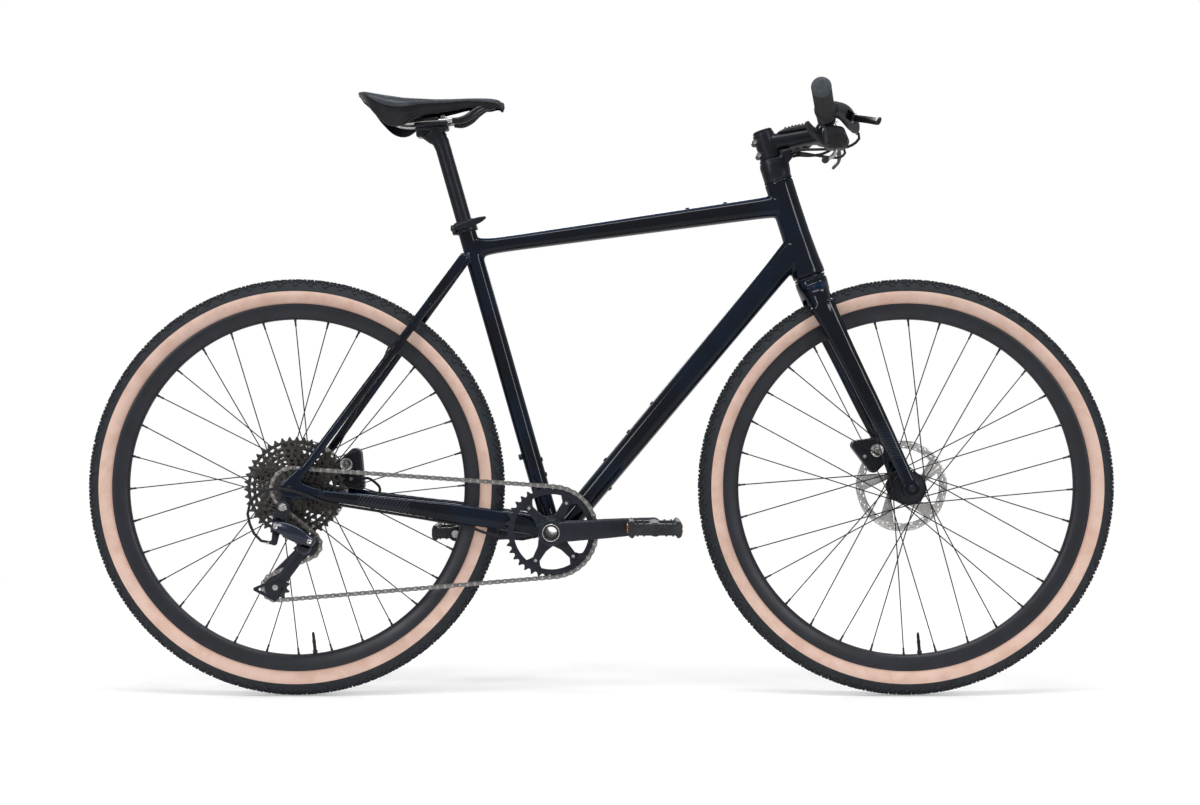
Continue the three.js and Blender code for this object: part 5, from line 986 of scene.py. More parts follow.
class BIKE_OT_wheels(BikeOperator, bpy.types.Operator):
    """Builds the rims, spokes, nipples, valves, hubs, axles and brake discs"""

    bl_idname = "bike.wheels"
    bl_label = "Wheels"

    RIM_RADIUS = 0.316
    PER_SIDE = 16
    FLANGE = 0.028
    # hub sizes: half width, right flange, left flange, disc plane, hole phase in degrees
    HUBS = {"front": (0.05, -0.034, 0.026, 0.0395, -0.7), "rear": (0.071, -0.0173, 0.036, 0.0557, 0.63)}
    VALVES = {"front": rad(-85.2), "rear": rad(-83.8)}

    def build(self):
        for wheel, centre in WHEELS:
            self.rim(wheel, centre)
            self.spokes(wheel, centre)
            self.hub(wheel, centre)
            self.disc(wheel, centre)
        self.axles()

    def rim(self, wheel, centre):
        sizes = settings("bike_wheels")
        outer, inner = self.RIM_RADIUS, self.RIM_RADIUS - sizes.rim_depth
        hook = 0.0133
        half = [(inner, 0.0), (inner + 0.0004, 0.0028), (inner + 0.002, 0.0056), (inner + 0.007, 0.0086),
                (inner + 0.014, 0.0110), (outer - 0.007, 0.0128), (outer - 0.001, hook),
                (outer, hook - 0.0006), (outer, hook - 0.0016), (outer - 0.0045, hook - 0.0022),
                (outer - 0.006, 0.004), (outer - 0.008, 0.0)]
        outline = half + [(r, -y) for r, y in half[-2:0:-1]]
        shape = Shape().turned(outline, 240, centre)
        piece(f"{wheel}_rim_ring", shape, "rim_coat", f"{wheel}_wheel", [f"{wheel}_rim"],
              sharp=50)
        turn = self.VALVES[wheel]
        valve = Shape()
        profile = [(0, -0.036), (0.0016, -0.036), (0.0022, -0.0335), (0.0026, -0.031), (0.0026, -0.022),
                   (0.0032, -0.0215), (0.0032, -0.0185), (0.0029, -0.018), (0.0029, -0.005),
                   (0.0042, -0.0045), (0.0042, 0.0), (0.0029, 0.0), (0.0029, 0.004), (0, 0.004)]
        at = centre @ Matrix.Rotation(-turn, 4, "Y") @ Matrix.Translation((inner - 0.0006, 0, 0))
        valve.turned(profile, 20, at @ Matrix.Rotation(-math.pi / 2, 4, "Z"))
        piece(f"{wheel}_valve", valve, "anodised", f"{wheel}_wheel", sharp=30)

    def spokes(self, wheel, centre):
        sizes = settings("bike_wheels")
        right, left, phase = (self.HUBS[wheel][i] for i in (1, 2, 4))
        inner = self.RIM_RADIUS - sizes.rim_depth
        thick = sizes.spoke_thick / 2
        step = 360 / self.PER_SIDE
        nipples = Shape()

        def point(radius, angle, y):
            x, z = polar(radius, angle)
            return Vector((x, y, z))

        for side, flange in ((-1, right), (1, left)):
            wires = Shape()
            for i in range(self.PER_SIDE):
                family = 1 if i % 2 == 0 else -1
                rim_turn = rad(-90 + phase + (step / 2 if side > 0 else 0) + step * i)
                hole_turn = rim_turn - family * rad(67.5)
                shift = family * 0.0014
                head = point(self.FLANGE - 0.003, hole_turn, flange + shift * 1.7)
                elbow = point(self.FLANGE - 0.0026, hole_turn, flange + shift * 0.6)
                start = point(self.FLANGE + 0.0012, hole_turn + family * 0.03, flange + shift)
                end = point(inner + 0.001, rim_turn, side * 0.003)
                along = (end - start).normalized()
                leave = start + along * 0.004
                wires.tube([head, elbow, start, leave, end], thick, 8, centre, 3)
                wires.turned([(0, -0.0007), (0.0021, -0.0005), (0.0021, 0.0004), (0, 0.0009)], 12,
                             centre @ Matrix.Translation(point(self.FLANGE - 0.003, hole_turn,
                                                               flange + shift * 1.7)))
                nipples.rod(end - along * 0.0125, end - along * 0.004, 0.0017, 10, centre)
                nipples.rod(end - along * 0.004, end, 0.0022, 10, centre)
            word = "right" if side < 0 else "left"
            piece(f"{wheel}_spoke_set_{word}", wires, "spoke_coat", f"{wheel}_wheel",
                  [f"{wheel}_spokes_{word}"])
        piece(f"{wheel}_nipples", nipples, "anodised", f"{wheel}_wheel")

    def hub(self, wheel, centre):
        half, right, left, plane = self.HUBS[wheel][:4]
        rear = wheel == "rear"
        cap, barrel, neck = 0.0095, 0.0125, 0.0155
        rows = [(0.0062, -half), (cap, -half)]
        if rear:
            rows += [(cap, -0.0208), (0.0135, -0.0206)]
        else:
            rows += [(cap, -half + 0.006), (0.0118, -half + 0.0075), (0.0128, right - 0.006)]
        for flange in (right, left):
            rows += [(barrel + 0.0025, flange - 0.0034), (self.FLANGE - 0.0035, flange - 0.0019),
                     (self.FLANGE - 0.0004, flange - 0.0016), (self.FLANGE, flange - 0.0011),
                     (self.FLANGE, flange + 0.0011), (self.FLANGE - 0.0004, flange + 0.0016),
                     (self.FLANGE - 0.0035, flange + 0.0019), (barrel + 0.0025, flange + 0.0034)]
            if flange == right:
                rows += [(barrel, flange + 0.0065), (barrel - 0.0006, flange + 0.012),
                         (barrel - 0.0006, left - 0.012), (barrel, left - 0.0065)]
        rotor_end = plane + 0.0035
        rows += [(neck, left + 0.0045), (neck, rotor_end), (neck - 0.001, rotor_end + 0.0006),
                 (cap, rotor_end + 0.0006), (cap, half), (0.0062, half)]
        shape = Shape().turned(rows, 72, centre)
        piece(f"{wheel}_hub_shell", shape, "anodised", f"{wheel}_wheel",
              [f"{wheel}_hub"], sharp=32)

    def disc(self, wheel, centre):
        """The brake disc: a waved band with slots, five arms and a lock ring."""
        plane = self.HUBS[wheel][3]
        outer, band_inner, wave, waves = 0.08, 0.0655, 0.0009, 10
        edge = [polar(outer - wave * (1 - math.cos(a * waves)) / 2, a) for a in around(240)]
        holes = []
        arms = 5
        for i in range(arms):
            start = FULL * i / arms
            inside = arc(0.0245, start + 0.08, start + 0.93, 10)
            outside = arc(band_inner, start + 1.60, start + 0.74, 14)
            holes.append(inside + outside)
        for i in range(60):
            ring = (0.0765, 0.0725, 0.0686)[i % 3]
            turn = FULL * (i + 0.5) / 60
            x, z = polar(ring, turn)
            ahead, wide = 0.0021, 0.0011
            slot = [(x + math.cos(a) * wide * math.cos(turn) - math.sin(a) * ahead * math.sin(turn),
                     z + math.cos(a) * wide * math.sin(turn) + math.sin(a) * ahead * math.cos(turn))
                    for a in around(10)]
            holes.append(slot)
        holes.append(circle(0, 0, 0.0157, 48))
        shape = Shape().plate([edge, *holes], plane - 0.0009, plane + 0.0009, 0.0002, centre)
        piece(f"{wheel}_disc", shape, "disc_steel", f"{wheel}_wheel",
              [f"{wheel}_brake_disc"], sharp=30)
        teeth = [polar(0.0215 if k % 2 else 0.0198, turn) for k, turn in enumerate(around(32))]
        ring = Shape().plate([teeth, circle(0, 0, 0.0159, 40)], plane + 0.001, plane + 0.0034, 0.0003,
                             centre)
        piece(f"{wheel}_disc_lock_ring", ring, "anodised", f"{wheel}_wheel", sharp=30)

    def axles(self):
        inner = ON_STEERER @ Matrix.Translation((FORK_RAKE, 0, 0))
        for wheel, place, left, right, body in (
                ("front", inner, 0.0613, 0.0613, "steering"),
                ("rear", ON_REAR, 0.0777, 0.0809, "frame")):
            shape = Shape()
            shape.turned([(0, -right - 0.0015), (0.0052, -right - 0.0015), (0.006, -right - 0.0008),
                          (0.006, left + 0.0005), (0.0092, left + 0.0005), (0.0092, left + 0.0035),
                          (0.0076, left + 0.005), (0.0034, left + 0.005), (0.0034, left + 0.0012),
                          (0, left + 0.0012)], 48, place)
            shape.turned([(0.0024, -right - 0.0017), (0.0046, -right - 0.0017),
                          (0.0046, -right - 0.0010), (0.0024, -right - 0.0010)], 32, place)
            piece(f"{wheel}_axle_rod", shape, "anodised", body, [f"{wheel}_axle"], sharp=30)


SEAT_TUBE_LONG = 0.539
STAY_SPREAD = 0.0745
# Chainstay stations: shares of the reach, drop, spread, depth and thickness
CHAINSTAY = [(0, 0.03, 1, 0.5, 0.43), (0.09, 0.11, 0.975, 0.54, 0.62), (0.191, 0.2, 0.86, 0.6, 0.8),
             (0.328, 0.32, 0.725, 0.7, 0.87), (0.51, 0.48, 0.577, 0.85, 0.93),
             (0.669, 0.62, 0.517, 1, 0.97), (1, 0.94, 0.36, 1, 1)]
# Seatstay stations: shares of the length, spread, depth and thickness
SEATSTAY = [(0, 1, 1, 0.5), (0.1, 0.955, 0.95, 0.8), (0.72, 0.51, 0.95, 1), (0.8, 0.43, 1, 1),
            (1, 0.175, 1.2, 1)]


def on_seat_axis(height, ahead=0.0, side=0.0):
    return CRANK + SEAT_UP * height + SEAT_AHEAD * ahead + Vector((0, side, 0))


def on_steer_axis(height, ahead=0.0, side=0.0):
    return STEER_FOOT + STEER_UP * height + STEER_AHEAD * ahead + Vector((0, side, 0))


TOP_TUBE = (on_seat_axis(0.503), on_steer_axis(0.526))
DOWN_TUBE = (CRANK + Vector((0.0163, 0, 0)), on_steer_axis(0.4545))


def tube_stations(ends, rows):
    """Stations along a tube from shares of its length, widths and heights."""
    start, end = ends
    return [(start.lerp(end, share), wide / 2, tall / 2) for share, wide, tall in rows]


def stay_point(side, spread, along):
    """The sideways place of a stay, with the right dropout's inset."""
    inset = 0.0032 if side < 0 else 0.0
    return side * (spread + inset * max(0, 0.15 - along) / 0.15)


class BIKE_OT_frame(BikeOperator, bpy.types.Operator):
    """Builds the frame: fused tubes, stays and dropouts, its bosses, cups, clamp and lever"""

    bl_idname = "bike.frame"
    bl_label = "Frame"

    # Discs from the rear axle that each dropout plate wraps: ahead, up and radius
    DROPOUT = [[(0, 0, 0.0165), (0.016, 0.027, 0.0075)], [(0, 0, 0.0165), (0.046, -0.0075, 0.0085)],
               [(0.004, 0.004, 0.012), (0.0125, 0.012, 0.006), (0.022, 0.001, 0.006)]]

    def build(self):
        self.tubes()
        self.fittings()
        self.seat_clamp()

    def stays(self, shape, side):
        reach, drop = CRANK.x - REAR.x, CRANK.z - REAR.z
        stations = [((REAR.x + reach * along, stay_point(side, STAY_SPREAD * spread, along),
                      REAR.z + drop * down), 0.0075 * thick, 0.01675 * deep)
                    for along, down, spread, deep, thick in CHAINSTAY]
        shape.loft(stations, 28, 0.8, smooth=6)
        top = on_seat_axis(0.494, -0.0119)
        stations = []
        for along, spread, deep, thick in SEATSTAY:
            at = REAR.lerp(top, along)
            at.y = stay_point(side, STAY_SPREAD * spread, along)
            stations.append((at, 0.0065 * thick, 0.008 * deep))
        shape.loft(stations, 24, 0.9, smooth=6)
        inner = 0.0711 + (0.0032 if side < 0 else 0)
        faces = sorted((side * inner, side * (inner + 0.0066)))
        for discs in self.DROPOUT:
            shape.plate([wrapped(discs, 36)], *faces, 0.0012, ON_REAR)

    def tubes(self):
        shape = Shape()
        shape.turned([(0, 0.396), (0.0278, 0.396), (0.0283, 0.3975), (0.0283, 0.404), (0.0262, 0.43),
                      (0.0246, 0.474), (0.0244, 0.52), (0.0248, 0.556), (0.025, 0.5675), (0.0245, 0.569),
                      (0, 0.569)], 72, ON_STEERER @ UPRIGHT)
        shape.turned([(0, 0), (0.0159, 0), (0.0159, 0.5385), (0.0154, 0.539), (0, 0.539)], 56,
                     ON_SEAT_TUBE @ UPRIGHT)
        shape.drum(0.023, -0.0365, 0.0365, 64, ON_CRANK, (0.0008, 0.0008))
        shape.loft(tube_stations(TOP_TUBE, [
            (0, 0.0254, 0.038), (0.03, 0.0285, 0.0335), (0.09, 0.0312, 0.0272), (0.3, 0.0342, 0.0286),
            (0.6, 0.0362, 0.0322), (0.88, 0.038, 0.0356), (0.95, 0.038, 0.038), (1, 0.038, 0.0407)]),
            48, 0.8, smooth=8)
        shape.loft(tube_stations(DOWN_TUBE, [
            (0, 0.046, 0.0399), (0.1, 0.046, 0.038), (0.5, 0.044, 0.041), (0.85, 0.042, 0.0435),
            (0.94, 0.042, 0.0462), (1, 0.042, 0.0487)]), 48, 0.8, smooth=8)
        for side in (-1, 1):
            self.stays(shape, side)
        shape.block((CRANK.x - 0.048, -0.0335, CRANK.z - 0.0024), (CRANK.x, 0.0335, CRANK.z + 0.0116),
                    0.004)
        lean = Vector((-math.cos(rad(25)), 0, -math.sin(rad(25))))
        tip = CRANK + Vector((-0.0332, -0.0285, -0.0108))
        shape.rod(tip - lean * 0.023, tip, 0.0045, 20)
        fused = joined_skin(shape, settings("bike_frame").voxel, 7)
        bores = Shape()
        for radius, low, high, sides, place in (
                (0.0138, 0.329, 0.545, 48, ON_SEAT_TUBE @ UPRIGHT), (0.0193, -0.04, 0.04, 48, ON_CRANK),
                (0.0062, -0.09, 0.09, 32, ON_REAR), (0.019, -0.0709, 0.0709, 48, ON_REAR),
                (0.019, -0.0742, 0, 48, ON_REAR), (0.0215, 0.39, 0.575, 48, ON_STEERER @ UPRIGHT),
                (0.0222, -0.06, -0.0366, 48, ON_CRANK), (0.0222, 0.0366, 0.06, 48, ON_CRANK)):
            bores.drum(radius, low, high, sides, place)
        piece("frame_tubes", cut_away(fused, bores), "frame_paint", "frame", ["frame"],
              sharp=40)

    def fittings(self):
        """Threaded bosses with their bolts, cups, the lower bearing race, and the hanger."""
        bolts = Shape()
        rows = [(TOP_TUBE, (0.69, 0.81), 1, 0.0125, 0.0185),
                (DOWN_TUBE, (0.22, 0.318, 0.417), 1, 0.019, 0.0218),
                (DOWN_TUBE, (0.168,), -1, 0.019, 0.0218),
                ((CRANK, on_seat_axis(SEAT_TUBE_LONG)), (0.176, 0.226), -1, 0.0159, 0.0159)]
        for (start, end), shares, side, low, high in rows:
            up = (end - start).normalized().cross(ALONG_Y) * side
            for share in shares:
                foot = start.lerp(end, share) + up * (mix(low, high, share) - 0.0012)
                turn = placed(foot, (end - start).normalized(), up)
                bolts.turned([(0, -0.002), (0.0048, -0.002), (0.0046, 0.0012), (0.0036, 0.0014),
                              (0.0036, 0.0026), (0.003, 0.0029), (0.0017, 0.0029), (0.0017, 0.0013),
                              (0, 0.0013)], 28, turn @ UPRIGHT)
        foot = on_seat_axis(0.135, -0.0155)
        bolts.turned([(0, -0.004), (0.0055, -0.004), (0.005, 0.005), (0.0042, 0.0058), (0, 0.0058)], 28,
                     placed(foot, SEAT_UP, -SEAT_AHEAD) @ UPRIGHT)
        piece("frame_bosses", bolts, "anodised", "frame")
        cups = Shape()
        for side in (-1, 1):
            rows = [(0.0148, 0.0366), (0.0219, 0.0366), (0.0221, 0.0374), (0.0221, 0.0398),
                    (0.0216, 0.0414), (0.0172, 0.0416), (0.0168, 0.0412), (0.0148, 0.0412)]
            cups.turned([(r, y * side) for r, y in rows], 60, ON_CRANK)
            ends = sorted((side * 0.037, side * 0.0408))
            for turn in around(16):
                x, z = polar(0.0216, turn)
                cups.rod((x, ends[0], z), (x, ends[1], z), 0.0009, 8, ON_CRANK)
        cups.turned([(0.0146, -0.0364), (0.019, -0.0364), (0.019, 0.0364), (0.0146, 0.0364)], 48, ON_CRANK)
        piece("bottom_bracket_cups", cups, "anodised", "frame", ["bottom_bracket"], sharp=30)
        race = Shape().turned([(0.0194, 0.3915), (0.0262, 0.3915), (0.0265, 0.3922), (0.0265, 0.395),
                               (0.0212, 0.3957), (0.0212, 0.409), (0.0194, 0.409)], 64,
                              ON_STEERER @ UPRIGHT)
        piece("lower_race", race, "anodised", "frame", ["headset_race"], sharp=30)
        self.hanger()

    def hanger(self):
        shape = Shape()
        eye = (-0.009, -0.03)
        shape.plate([wrapped([(0, 0, 0.0125), (*eye, 0.0088)], 40), circle(0, 0, 0.0062, 32)],
                    -0.0739, -0.0711, 0.0006, ON_REAR)
        place = ON_REAR @ Matrix.Translation((eye[0], 0, eye[1]))
        shape.turned([(0, -0.078), (0.0084, -0.078), (0.0089, -0.0774), (0.0089, -0.0712), (0, -0.0712)],
                     40, place)
        piece("hanger_plate", shape, "anodised", "frame", ["derailleur_hanger"], sharp=32)
        bolt = Shape().turned([(0, -0.0925), (0.0028, -0.0925), (0.0028, -0.0895), (0.0031, -0.0889),
                               (0.0055, -0.0905), (0.0072, -0.0888), (0.0078, -0.0866),
                               (0.0078, -0.0846), (0, -0.0846)], 40, place)
        piece("hanger_bolt", bolt, "steel", "frame", sharp=50)

    def seat_clamp(self):
        inner, outer = 0.016, 0.0196
        low, high = 0.5325, 0.5525
        shape = Shape()
        shape.turned([(inner, low), (outer - 0.0006, low), (outer, low + 0.0008), (outer, high - 0.0012),
                      (outer - 0.0012, high), (0.0139, high), (0.0139, 0.5391), (inner, 0.5391)], 64,
                     ON_SEAT_TUBE @ UPRIGHT)
        ear = ON_SEAT_TUBE @ Matrix.Translation((-outer - 0.0012, 0, (low + high) / 2))
        shape.drum(0.0048, -0.0196, 0.011, 32, ear, (0.0003, 0.0006))
        for side in (-1, 1):
            shape.block((-0.004, side * 0.004 - 0.0028, -0.0085), (0.008, side * 0.004 + 0.0028, 0.0085),
                        0.0012, ear)
        piece("seat_clamp_band", shape, "anodised", "frame", ["seat_clamp"], sharp=32)
        lever = Shape()
        pivot = ear @ Matrix.Translation((0, -0.02335, 0))
        lever.turned([(0, -0.0042), (0.0028, -0.0042), (0.0034, -0.0036), (0.0034, 0.0034),
                      (0.003, 0.004), (0, 0.004)], 28, pivot @ UPRIGHT)
        lever.loft([((-0.001, 0, 0), 0.0021, 0.003), ((0.016, -0.0006, 0.0004), 0.0022, 0.0054),
                    ((0.034, -0.0012, 0.0012), 0.0022, 0.006), ((0.048, -0.0006, 0.0022), 0.0021, 0.005),
                    ((0.0585, 0.0, 0.0036), 0.0013, 0.0022)], 28, 0.8, place=pivot, dome=0.8)
        piece("seat_clamp_handle", lever, "anodised", "seat_clamp_lever",
              ["seat_clamp_lever"])


STEERER_BORE = 0.01445
# Fork blade stations: shares of the crown's height, rake, crown length, spread and thickness
BLADE = [(0.88, 0, 0.84, 0.74, 1), (0.72, 0.2, 0.69, 0.79, 0.92), (0.537, 0.42, 0.615, 0.85, 0.8),
         (0.386, 0.6, 0.577, 0.895, 0.72), (0.153, 0.875, 0.46, 0.965, 0.57), (0, 1, 0.46, 1, 0.5)]


class BIKE_OT_fork(BikeOperator, bpy.types.Operator):
    """Builds the fork, the headset cover, the stem and its top cap"""

    bl_idname = "bike.fork"
    bl_label = "Fork and stem"

    PINCH_HEIGHTS = (0.6198, 0.6433)

    def build(self):
        self.fork()
        self.headset()
        self.stem()

    def fork(self):
        shape = Shape()
        spread, top, rake = 0.0558, 0.391, FORK_RAKE
        axle = ON_STEERER @ Matrix.Translation((rake, 0, 0))
        shape.loft([((0, 0, top), 0.0272, 0.0272), ((0, 0, top * 0.975), 0.0298, 0.0272),
                    ((0, 0, top * 0.94), 0.0447, 0.0255), ((0, 0, top * 0.88), 0.053, 0.0234),
                    ((rake * 0.06, 0, top * 0.83), 0.054, 0.0208)], 48, 0.8, smooth=6, place=ON_STEERER)
        for side in (-1, 1):
            shape.loft([((rake * ahead, side * spread * out, top * up), 0.011 * thick, 0.026 * long)
                        for up, ahead, long, out, thick in BLADE], 32, 0.85, smooth=7,
                       place=ON_STEERER)
            low, high = sorted((side * 0.0503, side * 0.0613))
            shape.turned([(0, low), (0.0145, low), (0.015, mix(low, high, 0.1)),
                          (0.015, mix(low, high, 0.9)), (0.0145, high), (0, high)], 48, axle)
        fused = joined_skin(shape, settings("bike_frame").voxel * 0.85, 6)
        room = Shape()
        for radius, half, sides in ((0.366, 0.03, 120), (0.0165, 0.0502, 48), (0.0062, 0.07, 32)):
            room.drum(radius, -half, half, sides, axle)
        piece("fork_blades", cut_away(fused, room), "fork_paint", "steering", ["fork"],
              sharp=45)
        steerer = Shape().turned([(0, 0.389), (0.0188, 0.389), (0.0188, 0.409), (0.0143, 0.45),
                                  (0.0143, 0.65), (0, 0.65)], 48, ON_STEERER @ UPRIGHT)
        piece("steerer", steerer, "anodised", "steering", sharp=30)

    def headset(self):
        shape = Shape()
        shape.turned([(0, 0.5693), (0.0245, 0.5693), (0.0245, 0.5712), (0.0236, 0.5722),
                      (0.0235, 0.598), (0.0222, 0.604), (0.0186, 0.6078), (0, 0.6078)], 64,
                     ON_STEERER @ UPRIGHT)
        shape.loft([((0.0, 0, 0.5725), 0.0232, 0.0232), ((0.0015, 0, 0.588), 0.0236, 0.0248),
                    ((0.004, 0, 0.6072), 0.0215, 0.0245)], 40, 0.82, place=ON_STEERER)
        shape.plate([[(0.012, 0.586), (0.031, 0.5965), (0.0355, 0.6), (0.0355, 0.6135), (0.034, 0.6145),
                      (0.0192, 0.6145), (0.012, 0.6078)]], -0.0185, 0.0185, 0.0022, ON_STEERER)
        bore = Shape().drum(STEERER_BORE, 0.55, 0.62, 48, ON_STEERER @ UPRIGHT)
        bore.drum(0.0188, 0.6079, 0.625, 48, ON_STEERER @ UPRIGHT)
        piece("headset_top", cut_away(fine_skin(shape, 4), bore), "anodised", "steering",
              ["headset_cover"], sharp=40)
        seam = Shape().turned([(0.0238, 0.5688), (0.0243, 0.569), (0.0243, 0.5696), (0.0238, 0.5698)], 64,
                              ON_STEERER @ UPRIGHT)
        piece("headset_seam", seam, "hose_skin", "steering")

    def stem(self):
        bar = STEM_BAR
        shape = Shape()
        shape.turned([(0, 0.6081), (0.018, 0.6081), (0.0186, 0.6088), (0.0186, 0.6542), (0.018, 0.655),
                      (0, 0.655)], 56, ON_STEERER @ UPRIGHT)
        middle = Vector((0, 0, 0.6357))
        shape.loft([(middle, 0.018, 0.0155), (middle.lerp(bar, 0.35), 0.0168, 0.0148),
                    (middle.lerp(bar, 0.7), 0.0175, 0.0144), (middle.lerp(bar, 0.9), 0.0222, 0.015),
                    (bar, 0.0238, 0.0155)], 40, 0.85, place=ON_STEERER)
        hold = ON_STEERER @ Matrix.Translation(bar)
        shape.drum(0.0203, -0.0236, 0.0236, 56, hold, (0.0007, 0.0008))
        for height in self.PINCH_HEIGHTS:
            shape.drum(0.0056, -0.013, 0.013, 28,
                       ON_STEERER @ Matrix.Translation((-0.0186, 0, height)), (0.0004, 0.0006))
        fused = fine_skin(shape, 5, 1.1)
        bores = Shape()
        bores.drum(STEERER_BORE, 0.6, 0.66, 48, ON_STEERER @ UPRIGHT)
        bores.drum(0.0161, -0.03, 0.03, 48, hold)
        face = Matrix.Rotation(rad(8), 4, "Y")
        bores.block((0.0015, -0.03, 0.0175), (0.0027, 0.03, 0.03), 0.0001, hold @ face)
        bores.block((0.0015, -0.03, -0.03), (0.0027, 0.03, -0.0175), 0.0001, hold @ face)
        bores.block((-0.03, -0.0008, 0.606), (-0.0135, 0.0008, 0.657), 0.0001, ON_STEERER)
        piece("stem_body", cut_away(fused, bores), "anodised", "steering", ["stem"],
              sharp=38)
        bolts = Shape()
        for height in self.PINCH_HEIGHTS:
            at = ON_STEERER @ Vector((-0.0192, -0.0128, height))
            bolts.bolt(at, -ALONG_Y, 0.0036, 0.0024)
        for side in (-1, 1):
            for tall in (-1, 1):
                at = hold @ Vector((0.0205, side * 0.0172, tall * 0.0126))
                bolts.bolt(at, STEER_AHEAD, 0.0034, 0.0028)
        piece("stem_bolts", bolts, "steel", "steering")
        cap = Shape()
        cap.turned([(0, 0.6551), (0.0168, 0.6551), (0.017, 0.6556), (0.017, 0.6588), (0.0158, 0.6602),
                    (0.0062, 0.6605), (0.0062, 0.6598), (0.0034, 0.6598), (0.0034, 0.658), (0, 0.658)],
                   48, ON_STEERER @ UPRIGHT)
        piece("steerer_cap", cap, "anodised", "steering", ["top_cap"], sharp=32)
        self.stem_cover(bar, middle)

    @staticmethod
    def stem_cover(bar, middle):
        """The low ribbed cover on the stem."""
        along = (bar - middle).normalized()
        up = -ALONG_Y.cross(along)
        place = ON_STEERER @ placed(middle + up * 0.0146, along, up)
        shape = Shape()
        shape.loft([((0.0215, 0, 0.0), 0.009, 0.0012), ((0.03, 0, 0.0014), 0.0128, 0.0034),
                    ((0.05, 0, 0.0024), 0.0145, 0.0052), ((0.07, 0, 0.002), 0.0145, 0.005),
                    ((0.08, 0, 0.0008), 0.011, 0.0022)], 28, 0.7, place=place)
        for i in range(7):
            x = mix(0.036, 0.072, i / 6)
            rise = 0.0066 if 1 < i < 6 else 0.0058
            shape.block((x - 0.0012, -0.0118, 0.001), (x + 0.0012, 0.0118, rise + 0.0018), 0.0006, place)
        piece("stem_cover", shape, "plastic", "steering", sharp=40)


BAR_BORE = 0.0112
LEVER_AXIS = Vector((0.3665, 0, 0.9304))
# Brake lever, in shares of its reach from the bar's middle, right side: x, y, z and radius
LEVER_REACH = 0.1
HOUSING = [(-0.08, -1.58, 0.17, 0.11), (-0.03, -1.5, 0.16, 0.13), (0.147, -1.3, 0.13, 0.135),
           (0.327, -1, -0.008, 0.11), (0.397, -0.88, -0.088, 0.07)]
LEVER_BLADE = [(0.297, -1.28, 0.052), (0.467, -1.7, -0.048), (0.547, -2.15, -0.148),
               (0.507, -2.55, -0.208)]
POD = [(-0.04, -0.31, 0.125), (0.13, -0.32, 0.115), (0.08, -0.16, 0.1), (-0.09, -0.13, 0.09)]
THUMB = [(0.045, -0.42), (0.02, -0.5), (-0.05, -0.565), (-0.135, -0.6)]
PADDLE = [(-0.12, -0.3, 0.006), (-0.25, -0.2, 0.006), (-0.37, -0.07, 0.0064), (-0.43, 0.03, 0.0045)]


def bar_point(side, reach):
    """A place on the bar's middle line."""
    share = max(0, abs(reach) - 0.04) / 0.26
    return Vector((-0.046 * share, side * abs(reach), 0.025 * share))


def on_lever(side, row):
    x, y, z = row[:3]
    return Vector((x * LEVER_REACH, -side * y * LEVER_REACH, z * LEVER_REACH))


